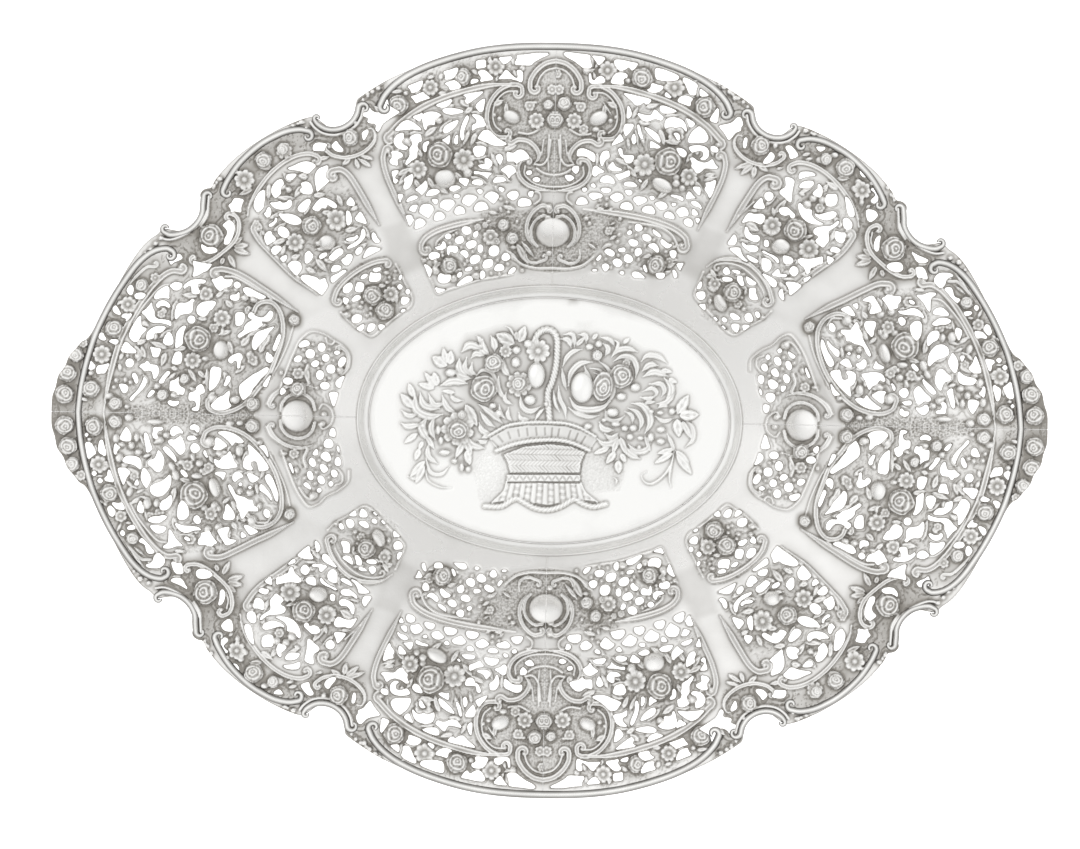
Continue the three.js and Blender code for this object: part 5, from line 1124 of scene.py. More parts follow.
SCROLLS_BOTH = [
    ([58, 77.5, 60.8, 83.5, 64.2, 90.5, 67, 97, 68.4, 103, 67.8, 107], 2.2, 1.2, True, None, (1.6, 260, 1)),
    ([69.6, 77, 73, 82.5, 77.5, 90, 81.5, 96, 85, 98.6, 88.5, 98.2], 2.6, 1.3, True, None, (2.2, 250, -1)),
    ([94.6, 103.8, 98, 104.7, 103, 103.7, 108, 101, 113, 96.6, 117, 91.5, 120, 86.5, 121.6, 82.5, 122, 79.4], 1.9,
     1.2, True, (1.9, 250, 1)),
    ([103.4, 36, 105.4, 29, 108.6, 21.6, 111.6, 16], 0.8, 0.5, False),
    # the kidney-shaped cartouche and the C-scrolls of the north seam
    ([0, 143.4, 4, 142.4, 7.6, 139.6, 10, 135.8, 10.3, 132.6], 2.1, 1.3, True, None, (2.3, 250, -1)),
    ([0, 140.6, 3.6, 139.6, 6.2, 137, 7.4, 134], 1.1, 0.7, False),
    ([13.2, 130.8, 14, 133.2, 18, 133.6, 22.6, 131.2, 26, 126.6, 27.2, 121.4, 26.4, 116.4, 23.6, 113.2, 19.4,
     112.7], 1.9, 1.3, True, (2, 260, 1), (2, 230, -1)),
    ([16, 131.2, 20, 130.6, 23.6, 127, 24.9, 122, 24, 117.6, 21.4, 115.2], 1.0, 0.8, False),
    ([17, 110.6, 14.4, 112, 10.4, 111.4, 7.2, 108.6, 6.2, 105.2, 8.2, 102.4], 2.0, 1.2, True, (1.7, 230, 1)),
    ([10.6, 104.6, 13.2, 104, 14.6, 101, 13.6, 97.2, 10.4, 94.2, 5.6, 92.6, 0, 92], 1.9, 1.2, True, (1.2, 200, 1)),
    ([11.6, 101.6, 11.8, 98.4, 9, 95.6, 5, 94, 0, 93.6], 1.0, 0.7, False),
    ([8, 102.4, 4.6, 102.4, 2.4, 105.6, 1.6, 112], 1.1, 0.9, False),
    ([0, 98.2, 4, 99, 7, 100.8], 1.2, 0.8, False),
    ([6, 116.4, 10, 114.4, 14.4, 114.8], 1.2, 0.8, False),
    ([2.2, 100, 2.6, 108, 2.2, 114], 0.8, 0.6, False),
    ([5.2, 106, 4.4, 112], 0.8, 0.6, False),
    # round the north boss
    ([1.6, 85.6, 5, 86, 8.6, 83, 10.4, 79, 10.4, 74.6, 8.8, 71.4, 6.4, 69.6], 1.7, 1.1, True, (1.3, 200, 1)),
    ([1.4, 81.8, 4.6, 82, 7.6, 79.6, 8.9, 76, 8.2, 72.4, 6.2, 70], 1.3, 1.0, True),
    ([3, 64.6, 7.6, 63.2, 10.6, 65, 11, 69], 1.3, 0.9, True, (1.3, 220, -1)),
    ([7.4, 91.6, 5.6, 91, 5.4, 88.6, 7.6, 86.6], 1.1, 0.9, False),
    ([0, 61.4, 6, 61.2, 12, 62.6, 16.4, 66], 1.4, 0.8, False),
    # round the east boss
    ([94.4, 2.6, 95.4, 6, 98, 8.4, 101.4, 9, 105, 7.8, 107.4, 5, 107.8, 2], 1.4, 1.1, True),
    ([95, 11.6, 99, 12.8, 103.4, 12.4, 107.4, 10.8, 110.6, 8, 112.4, 5], 1.6, 1.1, True, None, (1.4, 220, -1)),
    ([108.8, 10.4, 111.8, 8, 113.4, 4.6], 1.0, 0.7, False),
    ([87, 0, 88, 3, 91, 5, 92.6, 3.2], 1.1, 0.8, False),
    ([97.4, 20.4, 98.4, 17, 97, 13.4], 1.6, 0.8, False),
    # the two cartouches between the bows
    ([75, 114.8, 73, 115.2, 71.6, 112.6, 72.4, 109.6, 75.4, 106.4, 79.6, 104.2, 84, 103.5, 88.4, 104.2, 91.3,
     106.2], 1.7, 1.2, True, None, (1.6, 230, 1)),
    ([128.6, 80.2, 126.4, 79, 125.3, 76, 125.8, 72, 127.8, 68.4, 131.4, 65, 135.4, 61.9, 139.6, 60, 143.2, 60.2],
     1.8, 1.2, True, (1.9, 200, -1), (1.7, 230, 1)),
    ([127.4, 77.4, 126.9, 74, 128, 71], 1.0, 0.7, False),
    ([137.8, 82, 139, 78.6, 142.4, 74.6, 147, 71.4, 152, 69.4, 155.6, 69.6], 1.4, 0.9, False),
    ([76.5, 123, 77.3, 119.6, 79.7, 116, 83.5, 113.5, 88, 112.3, 92.4, 112.9, 95.8, 115, 97.4, 117], 1.5, 0.9,
     False),
    ([137.4, 86.8, 137.7, 83.2, 138, 79.2, 140.4, 74.8], 1.4, 0.9, False),
    # the mouldings along the inside of the band
    ([15.6, 133.2, 21, 133.7, 28, 132.9, 36, 130.9, 45, 127.9, 54, 123.5, 61, 118.4, 65.6, 113.6, 66.8, 112.6],
     2.5, 1.4, True, None, (1.8, 230, -1)),
    ([55, 121, 59.4, 118, 62.4, 114.6, 62.6, 112.6], 0.9, 0.6, False),
    ([148, 56.6, 151.4, 56.9, 155, 55, 159.4, 50.6, 163.4, 45, 167, 39, 170, 33, 172.4, 27, 174.2, 20.6, 175.8,
     13.6, 177, 6.6, 177.8, 0], 2.4, 1.4, True, (1.6, 230, -1)),
    ([152, 51.4, 155.6, 50.6, 159.6, 46.6, 163.6, 41.4, 166.6, 36], 1.1, 0.7, False),
    ([158.4, 58.4, 161.6, 58.2, 165.6, 54.6, 169, 50.4], 1.3, 0.8, True, (1.2, 230, -1)),
]

# Zones that two of the lists below share
NORTH_FOLIAGE = [28, 131, 45, 126, 58, 118, 65, 110, 63, 92, 58, 80, 46, 88, 30, 92, 16, 95, 17, 108, 27, 112]
CORNER_FOLIAGE = [70, 72, 75, 82, 84, 96, 96, 101, 108, 97, 117, 88, 119, 76, 98, 59, 92, 54, 86, 58, 80, 64]
EAST_FOLIAGE = [104, 40, 112, 46, 130, 56, 148, 56, 158, 48, 168, 30, 173, 14, 174, 4, 118, 4, 110, 16, 107, 30]

# Each zone has an outline and an amount. These are painted darker: older oxide in the grounds of the ornament, and
# painted shade on the straps and their heads.
SHADED = [
    # the crest, the bands, the notches and the grounds of the flowers, shields and rib
    ([183, 31, 199, 31, 199, -1, 189.5, -1, 188, 12, 186, 22], 0.95),
    ([150, 64, 166, 62, 178, 42, 186, 18, 187, 0, 180, 0, 178, 14, 172, 32, 163, 48, 152, 57], 0.5),
    ([122, 92, 142, 92, 145, 76, 156, 70, 150, 60, 138, 57, 126, 62, 121, 76], 0.82),
    ([96, 116, 108, 114, 120, 106, 133, 92, 128, 82, 121, 82, 120, 92, 112, 103, 100, 107, 92, 108], 0.7),
    ([70, 120, 80, 124, 92, 116, 97, 108, 92, 102, 82, 101, 72, 106], 0.55),
    ([24, 144, 42, 142, 42, 134, 26, 134], 0.45), ([50, 134, 66, 130, 64, 122, 54, 124], 0.5),
    ([26, 112, 62, 112, 62, 94, 44, 90, 28, 96], 0.45), ([76, 90, 90, 92, 103, 84, 108, 70, 96, 64, 84, 70], 0.4),
    ([61, 62, 76, 64, 86, 54, 78, 44, 66, 43, 58, 54], 0.12),
    ([126, 46, 142, 46, 154, 34, 154, 16, 136, 16, 126, 28], 0.4), ([104, 5, 178, 5, 178, -1, 104, -1], 0.2),
    ([0, 146, 12, 146, 26, 132, 28, 118, 16, 108, 0, 108], 0.35),
    ([0, 96, 16, 88, 30, 84, 30, 64, 14, 60, 0, 60], 0.2), ([95, 18, 110, 18, 116, 4, 116, 0, 90, 0], 0.35),
    # the corner by the north rim beads, then painted shade on the straps, where their reflections run darker, and on
    # their heads
    ([68, 134, 76, 129, 81, 124, 80, 117, 70, 117, 66, 129], 0.6), ([50, 62, 60, 79, 69, 76, 66, 66, 60, 57], 0.34),
    ([52, 66, 58, 76, 66, 92, 68, 106, 76, 105, 84, 98, 68, 74, 60, 62], 0.13),
    ([88, 44, 94, 51, 110, 64, 120, 75, 128, 65, 136, 58, 112, 46, 100, 38], 0.13),
    ([68, 104, 74, 109, 84, 108, 91, 102, 85, 97, 76, 99], 0.34),
    ([117, 72, 123, 76, 131, 70, 137, 59, 128, 56, 121, 64], 0.34),
]
SHADED_B = [(NORTH_FOLIAGE, 0.16), (CORNER_FOLIAGE, 0.26), (EAST_FOLIAGE, 0.28)]
BOSSES = [(0.0, 75.6, 7.0, 6.0), (101.4, 0.0, 6.4, 6.6)]
# These have chased veins
CHASED = [
    # the crest, the bands, the notches, then the foliage of the large and the small panels
    ([180, 32, 199, 31, 199, -1, 180, -1], 0.26),
    ([12, 147, 30, 146, 48, 141, 64, 132, 72, 122, 64, 120, 46, 129, 28, 134, 14, 135], 0.2),
    ([152, 66, 164, 62, 176, 46, 184, 26, 188, 0, 179, 0, 176, 18, 168, 38, 156, 57], 0.2),
    ([122, 92, 140, 92, 144, 78, 156, 70, 152, 60, 138, 58, 127, 64, 121, 76], 0.3),
    ([96, 116, 108, 114, 120, 106, 133, 92, 126, 82, 121, 84, 118, 93, 110, 101, 98, 106, 92, 108], 0.28),
    ([67, 134, 78, 128, 81, 124, 94, 116, 97, 108, 92, 103, 82, 103, 71, 106, 70, 122], 0.28), (NORTH_FOLIAGE, 0.2),
    (CORNER_FOLIAGE, 0.2), (EAST_FOLIAGE, 0.2), ([61, 61, 76, 63, 86, 52, 84, 42, 72, 35, 60, 43, 58, 54], 0.2),
    ([28, 79, 46, 73, 49, 66, 45, 59, 32, 61, 17, 62, 20, 66, 28, 73], 0.18),
    ([82, 20, 84, 27, 94, 33, 101, 29, 107, 14, 108, 4, 88, 4, 83, 14], 0.18),
]
# These have a matted ground
STIPPLED = [
    ([118, -1, 171, -1, 171, 1.5, 165, 3.5, 156, 4.4, 146, 4.4, 136, 4.2, 124, 3.6, 118, 2], 0.5),
    ([-1, 59, 13, 61.5, 22, 74, 28, 78, 30, 83, 12, 84, -1, 84], 0.35),
    ([-1, 92, 14, 93, 15, 112, 27, 113, 27, 131, 13, 134, 8, 143, -1, 144], 0.3),
]


# Quarter B: the north-west panel, and the south-east one turned half round. Its x runs west from the seam.

OPENINGS_B = [
    # the band along the north bow
    (3, 146.2, 4, 146.5, 8, 146.4, 12, 145.8, 15.4, 145.4, 15.6, 144.2, 16.4, 141.8, 13.5, 141.5, 10.2, 141.5, 8.6,
     142.8, 6, 144.4, 3.4, 145.6),
    (22.9, 144.2, 20.5, 144.6, 17.8, 144.8, 18.2, 143.4, 19.6, 142.2, 20.6, 141.8, 21.5, 142.2, 22.2, 143.2),
    (31.8, 142.7, 29.8, 143.3, 28.2, 143.2, 28, 141.6, 28.2, 140.4, 30, 140, 31.6, 139.8, 31.8, 141.2),
    (31, 138.5, 29.6, 139.3, 28, 139, 26.4, 137.6, 25, 136.2, 25.6, 135.4, 28, 135, 30.2, 134.6, 29.8, 136.2, 30.6,
     137.4),
    (33.8, 133.7, 31.4, 134.4, 30.8, 135.3, 32.2, 135.7, 33.5, 135.4),
    (22.8, 136, 21.2, 138, 20.2, 139.4, 19.2, 139.2, 17.6, 137.6, 16.2, 136.5, 15.2, 136.6, 15.4, 138.2, 15.6,
     139.2, 14.6, 139.6, 13.3, 138.8, 13.1, 136.8, 13.6, 134.8, 15.6, 135.4, 18.4, 136, 21, 135.9),
    (44.8, 138.2, 42, 139.2, 39.6, 140, 39, 139.2, 39.6, 137.6, 40.8, 135.9, 42.4, 135.3, 44.2, 135.3, 44, 136.6),
    (44.2, 133.6, 42.2, 134.6, 40.6, 135, 38.8, 134, 37.9, 132.8, 38.2, 131.9, 40, 131.4, 42, 131.1, 42.8, 132.6),
    (58.9, 132.2, 56.4, 133.4, 53.4, 134.6, 53, 133.8, 53.6, 132, 54.4, 130.7, 56, 129.9, 57.4, 129.7, 58, 131),
    (57.6, 128.2, 55.6, 128.9, 53, 130, 52, 129.2, 50.6, 128.3, 50, 127.8, 51.6, 127.2, 54, 126.3, 55.6, 125.7,
     56.6, 127),
    (67.6, 127, 66.9, 126.6, 66.4, 124.8, 65, 123.6, 62.2, 122, 63, 121.2, 66, 119.2, 68.6, 117.2, 69.8, 114.9,
     70.6, 114, 71.6, 115, 71.4, 116.4, 72, 117.2, 73.4, 117.2, 74.8, 117.8, 74.6, 119.2, 75.8, 119.8, 76.6, 120.4,
     75.4, 122.8, 74.2, 123.8, 73.4, 122.6, 71.6, 121.6, 69.8, 121.8, 68.6, 123, 68.4, 125),
    # the north panel's foliage
    (36.8, 129.2, 34, 130, 29, 130.8, 30, 129.4, 32, 127.8, 34.2, 126.2, 35.2, 125.9, 36, 126.8, 35.6, 128.4),
    (28.2, 127.8, 29.6, 127.4, 31.2, 126, 31.8, 124.8, 31.2, 123.8, 29.8, 122.6, 28.8, 123.2, 28.4, 125),
    (45, 123, 44, 121.9, 41.6, 121.4, 39, 121.8, 36.8, 122.4, 37, 123.2, 39.4, 123.8, 42, 124, 44.2, 123.8),
    (47.6, 125, 45.6, 126, 43, 127, 41.4, 127.6, 41.2, 126.8, 42.4, 125.2, 44, 124.2, 46, 124.2),
    (33.2, 121.6, 31, 121.6, 29, 120.6, 28.2, 119, 27.6, 117.6, 28.6, 116.8, 31, 116.4, 33, 115.2, 33.1, 116.6,
     32.8, 117.6, 31.6, 118.2, 31.4, 119.4, 32.4, 120.6),
    (34.6, 121.2, 35.6, 120.8, 37, 118, 37.8, 114.6, 37.6, 112.4, 37, 111.3, 36.2, 112.2, 36.2, 115, 35.4, 117.4,
     34.6, 119.4),
    (38.5, 119.2, 40, 119, 42.4, 117.8, 44.2, 116.4, 44.4, 114.2, 42.8, 114.2, 40.8, 115.6, 39.2, 117.4),
    (38.7, 113.4, 38.6, 111.4, 38.8, 109.9, 39.8, 109.8, 40.2, 111.2, 39.6, 113),
    (27.2, 115.5, 28.8, 115.2, 30.6, 112.6, 30.2, 111.9, 27, 110.6, 24.4, 109.6, 21.6, 109.4, 19.4, 110, 19.5,
     110.7, 22, 112, 24.4, 113.8, 26, 115.3),
    (31.4, 109.2, 29.2, 109.3, 27.4, 108.6, 27.6, 107.2, 28.4, 105.6, 30.4, 105, 31.6, 105.3, 32.6, 107.4, 32.2,
     108.6),
    (22.4, 106.2, 23.4, 105.2, 22.8, 103.6, 21.8, 102, 21.2, 102.6, 20.6, 104.6, 21.2, 105.9),
    (27.8, 104.2, 26.4, 104.4, 25, 103.2, 24.9, 101.8, 26, 100.5, 27.8, 100.1, 29.4, 100.6, 30.4, 101.6, 29, 102,
     27.8, 102.2),
    (18.9, 107, 16.4, 106.8, 14.6, 108, 12.6, 108, 10.8, 106.6, 10, 105, 11, 104.3, 13.6, 103.6, 15, 102.5, 16,
     103.4, 18.6, 103.4, 19, 104.8),
    (18.6, 101.8, 16.6, 101.6, 15.3, 99.9, 15.6, 99, 17.2, 97.8, 18, 96.7, 19, 98.2, 20.4, 99.2, 21.3, 100, 20,
     101),
    (31.8, 99.3, 28.6, 98.9, 24.8, 98.7, 26.2, 97.4, 26.5, 96.3, 28, 97.4, 30, 98.1, 31.8, 98.1),
    (63.8, 114.6, 61, 114.8, 57, 115.2, 53.4, 115, 54.6, 116.6, 57, 118.2, 59, 118.8, 61, 118, 62.4, 116.6),
    (56.8, 120.2, 54, 121.4, 52.8, 122, 53.4, 119.4, 54.2, 118.4, 55.4, 119.2),
    (52.6, 121.4, 50, 122.4, 47.4, 122.2, 45.6, 121.2, 46.4, 120.4, 47.8, 119.4, 48, 118, 47.6, 117.2, 49.8, 117.3,
     51, 116.6, 51.4, 115.2, 52.2, 115.6, 52.8, 118, 53.2, 120),
    (60.6, 113.8, 62.6, 113.2, 64, 111.6, 64.1, 109.6, 62.8, 107.8, 60.6, 107.1, 59, 107.3, 58.7, 108.3, 60.2, 109,
     61.1, 110.2, 60.3, 111.6, 60.3, 112.6),
    (57.8, 112.2, 55.4, 113.5, 53.6, 113.2, 53.2, 111.8, 53.2, 110.6, 54.4, 110, 54.8, 108.4, 54.4, 107.6, 54.9,
     106, 55, 104.2, 57, 102.8, 59.2, 101, 59.3, 102.4, 57.9, 104.8, 57.9, 107.6, 56.8, 109.4, 57.3, 111),
    (52.6, 107.6, 52.4, 109.8, 50.6, 110.7, 50.1, 110.1, 51, 108.6, 51.2, 106.8, 51.9, 106.4),
    (45.1, 111.2, 43.4, 112.2, 42, 113.3, 41.8, 111.4, 42.4, 109.6, 43.8, 110.6),
    (65.1, 106.3, 63, 106.5, 60.9, 105.6, 60.7, 104.3, 62.6, 103.2, 62.4, 101.4, 63, 100.8, 65.2, 101.4, 65.8,
     102.6, 64.8, 104.2),
    (64.8, 98.4, 62.2, 98.8, 63.2, 96.8, 63.6, 95.8, 62.3, 95, 63.2, 93.7, 64.1, 94.2, 64.4, 96),
    (57.6, 97.2, 56.6, 97.4, 56.4, 95.4, 57.2, 93, 58.4, 91.7, 59.8, 91.4, 60.2, 92.6, 59.7, 94.2, 59.9, 95.6,
     58.8, 96.4),
    (51.3, 95.1, 50.6, 93.6, 50.7, 92, 52.2, 89.9, 53, 89.5, 54.2, 90.6, 55.4, 91.4, 53.8, 92.8, 52.2, 94.2),
    # the scaled rows below it
    (24.4, 95.1, 22.8, 94.9, 20.4, 95.3, 19.2, 95.9, 19.8, 96.8, 21.4, 97.2, 23.4, 96.9),
    (32.8, 94.4, 31, 93.8, 29.2, 93.7, 28.2, 94.6, 29.2, 95.8, 31, 96, 32.4, 95.4),
    (37.8, 96.2, 35.6, 96.4, 34, 95.8, 34.4, 94.4, 35.2, 93.2, 36.6, 94, 37.8, 95),
    (41.6, 91.6, 40, 91, 37.8, 92.2, 37.2, 92.6, 38.4, 93.4, 40.2, 93.3, 41.6, 92.6),
    (22, 93.1, 20.6, 93, 19.8, 92.4, 20, 91.6, 20.8, 91.3, 21.8, 92),
    (30.6, 92, 29.2, 92.1, 28.4, 91.4, 29.4, 90.2, 30.4, 91),
    (27.7, 89.2, 27, 90.3, 25.3, 91.3, 23.8, 91.1, 22.3, 90.3, 22, 89.1, 22.8, 87.9, 24, 86.6, 25.3, 87.4, 26.7,
     88.6),
    (35.9, 88.9, 34.6, 89.8, 33.1, 89.8, 31.3, 89.4, 30.8, 88.6, 32.1, 86.9, 33.8, 85.3, 34.9, 85.8, 36.4, 86.6,
     36.5, 87.6),
    (40, 88.8, 39.6, 90, 38, 89.8, 37.6, 89, 38.6, 88.4),
    (18.4, 89.4, 18.7, 90.1, 17.9, 91, 16.7, 91.6, 15, 91.7, 14.1, 90.8, 14.2, 89.6, 15, 88.6, 16.2, 88, 17.5,
     88.6),
    (11, 99.6, 9.4, 100, 8.8, 99, 9.8, 98.2, 10.9, 98.4),
    (8.6, 96.4, 7.2, 97.4, 5.8, 97, 5.6, 96, 6.8, 95.4),
    (10.2, 90.3, 9.8, 91.6, 8.2, 91.7, 8.1, 90.8, 8.6, 89.5, 9.4, 89.5),
    (14.1, 87.9, 13.1, 88.8, 11.6, 89, 9.9, 88.6, 9.1, 87.9, 8.8, 86.9, 9.4, 86.1, 11.6, 85.7, 13.8, 85.7, 14.3,
     86.7),
    (51, 89.1, 50.8, 90.1, 49.7, 91.4, 47.9, 91.8, 46.4, 91.6, 45.6, 90.8, 46.2, 90.2, 47.4, 89.5, 49.5, 89.1),
    (62.2, 89.5, 60.2, 89.2, 60.9, 87.4, 61.4, 86, 62, 87.6),
    (59, 86.4, 58.5, 87.6, 57.4, 88.6, 55.9, 89.1, 54.6, 88.9, 54.5, 88.2, 55.6, 87.5, 57.2, 86.9),
    (48.8, 87.6, 47.4, 87.9, 46.4, 87.6, 46.6, 86, 47.6, 86),
    (45.3, 86.3, 44.1, 87.5, 42.3, 87.8, 40.5, 87.6, 39.6, 86.3, 40.5, 84.8, 42.1, 83.2, 42.8, 83.4, 44.1, 84.1,
     45.4, 84.8),
    (31.6, 85.2, 30.6, 86.6, 28.9, 87.2, 27.2, 86.7, 26.4, 85.5, 26.1, 84.4, 27.7, 84, 29.6, 83.5, 31.3, 83.4,
     31.7, 84.3),
    (39.5, 83.7, 38.7, 84.9, 37.4, 85.2, 36, 84.5, 35.5, 83.5, 35.6, 82.5, 36.9, 82.2, 38.7, 81.9, 39.6, 82.7),
    (47.4, 81.8, 46.4, 82.7, 44.9, 82.7, 43.8, 81.8, 43.5, 80.9, 44.1, 80, 45.4, 79.6, 46.9, 79.3, 47.7, 79.9),
    (53.5, 83.7, 52.9, 85.2, 51.5, 85.8, 49.5, 85.7, 48.2, 84.6, 48.1, 83.2, 49, 81.7, 50, 80.4, 51, 80.8, 52.6,
     81.7, 53.6, 82.5),
    (57.7, 83.6, 57.2, 84.6, 56.2, 85.3, 54.6, 85.4, 54.4, 84.9, 54.9, 83.7, 55.4, 82.5, 56.7, 82.8, 57.6, 83.1),
    (59, 80.9, 57.7, 81.3, 56.5, 80.9, 56.4, 80.2, 55.9, 79.6, 56.4, 78.4, 57.3, 77.1, 57.9, 77.6, 58.6, 79.4),
    (55.3, 77.6, 55.1, 79.1, 54.1, 79.9, 52.8, 79.9, 51.5, 79.1, 51.2, 78.1, 52.1, 77.1, 53.6, 76.3, 54.9, 75.9,
     55.5, 76.4),
    # the small north panel by the well
    (36.7, 76.1, 35.9, 77.1, 34.6, 77.3, 33.3, 76.8, 32.7, 75.5, 33.3, 74.4, 34.9, 74, 36.2, 74.8),
    (30.5, 75.6, 29.9, 74.8, 30.4, 73.3, 31.3, 72.9, 32, 73.5, 31.8, 74.8),
    (34.9, 70, 34.2, 71.1, 32.6, 71.8, 31.3, 71.7, 30.6, 70.9, 31, 69.6, 32.3, 68.7, 33.8, 68.5),
    (39.2, 72.2, 38.2, 73.1, 36.7, 73.5, 35.9, 72.7, 35.8, 71.4, 36.7, 70.5, 38.2, 70.3, 39.2, 71.1),
    (43.4, 73.2, 42.6, 74.2, 41.4, 74.2, 40.7, 73.2, 41.4, 72.2, 42.6, 72.1),
    (44.1, 71.2, 43.3, 70.7, 42.8, 69.6, 43.3, 68.4, 44.6, 67.7, 46.2, 67.8, 47.3, 68.6, 46.2, 69.1, 44.9, 69.6),
    (42.3, 68.4, 41.8, 69.4, 40.5, 69.5, 38.7, 69.4, 37.9, 68.4, 38.2, 67.3, 39.2, 66.6, 40.5, 67.2, 41.3, 66.8,
     41.5, 65.7, 42.2, 66.1, 42.4, 67.3),
    (37.1, 66.8, 36.4, 67.7, 34.9, 67.7, 34, 66.8, 33.8, 65.5, 34.9, 64.6, 35.6, 65.5, 36.7, 66.2),
    (25.3, 68.9, 24.3, 69.8, 22.6, 69.9, 21.6, 68.9, 21.5, 67.4, 22.3, 66.1, 23.8, 65.6, 25.3, 66.2, 25.7, 67.7),
    (30, 69.6, 29.2, 70.2, 28.3, 69.9, 27.9, 68.7, 28.4, 67.2, 29.4, 67, 30.1, 67.9),
    (32.9, 65, 31.8, 65.9, 30.4, 66.1, 29.2, 65.5, 29, 64.3, 29.9, 63.1, 31.6, 62.3, 32.9, 62.8, 33.2, 63.9),
    (27.9, 62.6, 27.4, 63.8, 26, 64.4, 24.5, 64.4, 23.8, 63.3, 24.2, 61.8, 25.5, 61, 27.2, 60.7, 28.1, 61.6),
    (23.1, 61.4, 22.1, 62.5, 20.4, 62.6, 19.4, 61.6, 19.5, 60.5, 20.9, 59.8, 22.6, 59.8, 23.3, 60.4),
    (20.4, 65.7, 19.4, 67, 18.2, 67, 17.2, 66, 17.1, 64.9, 17.9, 64.2, 19.2, 63.9, 20.3, 64.5),
    (17.7, 59.2, 17, 60.4, 15.5, 61.5, 14.7, 60.9, 15, 59.9, 16.2, 58.9, 17.6, 58.7),
    (35, 60.4, 33.6, 61.2, 32.2, 61.2, 32.4, 60.2, 33.6, 59.5, 34.9, 59.6),
    (28.8, 59.4, 27.9, 59.9, 27, 58.9, 27, 57.5, 27.9, 56.6, 28.7, 56.5, 28.9, 57.9),
    (38.4, 53.7, 37.4, 55.1, 35.9, 56.5, 34.1, 57.5, 32.6, 57.5, 31.9, 56.3, 32.3, 55.6, 34.4, 54.8, 36.8, 53.7),
    (49.7, 65.3, 49, 66.4, 47.7, 66.9, 45.9, 66.6, 45.3, 65.7, 45.6, 64.6, 46.9, 64.3, 48.2, 63.7, 49.2, 64.1),
    (51.7, 61.9, 50.8, 61.8, 49.5, 61.1, 48.5, 59.9, 48.5, 58.6, 49, 57.1, 49.6, 57.1, 50.3, 58.6, 51, 60.4),
    (37.9, 58.6, 36.9, 59.1, 36.2, 58.6, 36.7, 57.3, 37.7, 56.8, 38.2, 57.6),
    (45.9, 57.1, 45, 58.4, 43.3, 57.9, 40.9, 57.8, 40.9, 56.2, 41.5, 55.1, 43.3, 54.4, 45, 54.7, 45.9, 55.6),
    (46.9, 52.9, 45.3, 52.4, 42.8, 52.1, 43.5, 51.4, 45.6, 50.6, 46.3, 50.9, 46.8, 51.9),
    # the small corner panel
    (81.9, 53.6, 80.8, 53.9, 80, 52.9, 80.3, 51.3, 81.4, 49.9, 82.8, 49.6, 83.8, 50.2, 83.8, 51.6, 83.1, 52.7),
    (78, 54.1, 76.3, 54, 75.5, 53.3, 75.6, 51.6, 76, 50.5, 77.4, 50.1, 78.7, 50.5, 79, 51.6, 78.6, 53),
    (78.8, 48.8, 77.4, 48.9, 76.7, 48.2, 77.2, 47.2, 78.6, 46.5, 80, 46.3, 80.4, 47.1, 79.7, 47.9),
    (83.6, 47.9, 82.5, 47.8, 81.5, 47.2, 81.7, 46, 82.7, 45.1, 83.4, 45.7, 83.8, 46.8),
    (72.9, 58.2, 71.2, 57.8, 69.4, 58, 68.7, 57.3, 68.8, 55.8, 69.8, 54.7, 71.8, 54.4, 73.2, 54.6, 73.5, 55.6,
     73.2, 57),
    (72.1, 59.4, 70.9, 60, 69.3, 60.2, 68.6, 59.7, 69.3, 58.8, 70.7, 58.4, 71.8, 58.7),
    (75.5, 57.4, 74.3, 57.5, 74, 57, 74.8, 56, 76, 55.4, 76.9, 55.7, 76.4, 56.7),
    (61.7, 55.8, 61.2, 57.3, 60.4, 57.4, 60.3, 56.4, 61, 55.4),
    (62.2, 52.7, 61.1, 53.8, 60, 52.7, 61.1, 51.5),
    (58.9, 50.8, 57.9, 52, 56.9, 50.8, 57.9, 49.6),
    (60.2, 48.5, 59.1, 48.7, 57.4, 48.2, 57.3, 47.2, 58.3, 46, 59.7, 45.5, 60.6, 46.3, 60.6, 47.4),
    (59.9, 43.8, 58.7, 43.6, 59.1, 42.9, 60.1, 42.4, 60.7, 42.8),
    (79.7, 40.6, 78.3, 41.3, 76.6, 41, 76.1, 40, 76.6, 38.6, 78, 37.8, 79.7, 37.9, 80.3, 39.2),
    (77.6, 36.2, 76, 37.3, 75.2, 37.1, 75.5, 35.5, 76.6, 34.5, 77.7, 35, 78.3, 35.6),
    (73.3, 37.5, 72.1, 37.8, 70.8, 37.4, 70.9, 36.1, 72.1, 34.7, 73.5, 34.4, 74.1, 35.1, 73.8, 36.4),
    (69.5, 37.2, 68.1, 37.5, 66.9, 36.7, 67.8, 35.7, 68.7, 35.1, 69.4, 36.1),
    # the corner panel's foliage
    (106.2, 98.8, 104, 99.8, 101, 101.2, 98.6, 101.6, 96.4, 101, 95.2, 99.8, 96.4, 98.4, 97.8, 97, 99, 96.9, 101,
     97.6, 103.4, 98, 105.4, 98.2),
    (90.4, 100.2, 92.4, 99.6, 94.2, 98.6, 95.4, 96.4, 95.5, 94, 95, 91.6, 94.6, 89.8, 93.2, 90.8, 91.2, 92.6, 89.8,
     94.2, 91, 95.2, 91.2, 97, 90.4, 98.6),
    (106.9, 95.2, 106, 96.4, 102.8, 96.5, 104, 94.6, 105.2, 93.9, 106.4, 94.3),
    (101.4, 90.2, 100.4, 91.4, 101, 92.8, 99, 93.6, 97.2, 92.8, 96.4, 91, 96.4, 89.4, 97.4, 88.6, 99.4, 88.7,
     100.4, 89),
    (108.5, 94.2, 109.9, 94.1, 111.1, 93.2, 112.2, 91.7, 112.7, 89.5, 111.9, 87.5, 110.9, 86.9, 109.9, 87.6, 108.9,
     88.7, 109, 89.9, 108.7, 91.3, 107.8, 92.5),
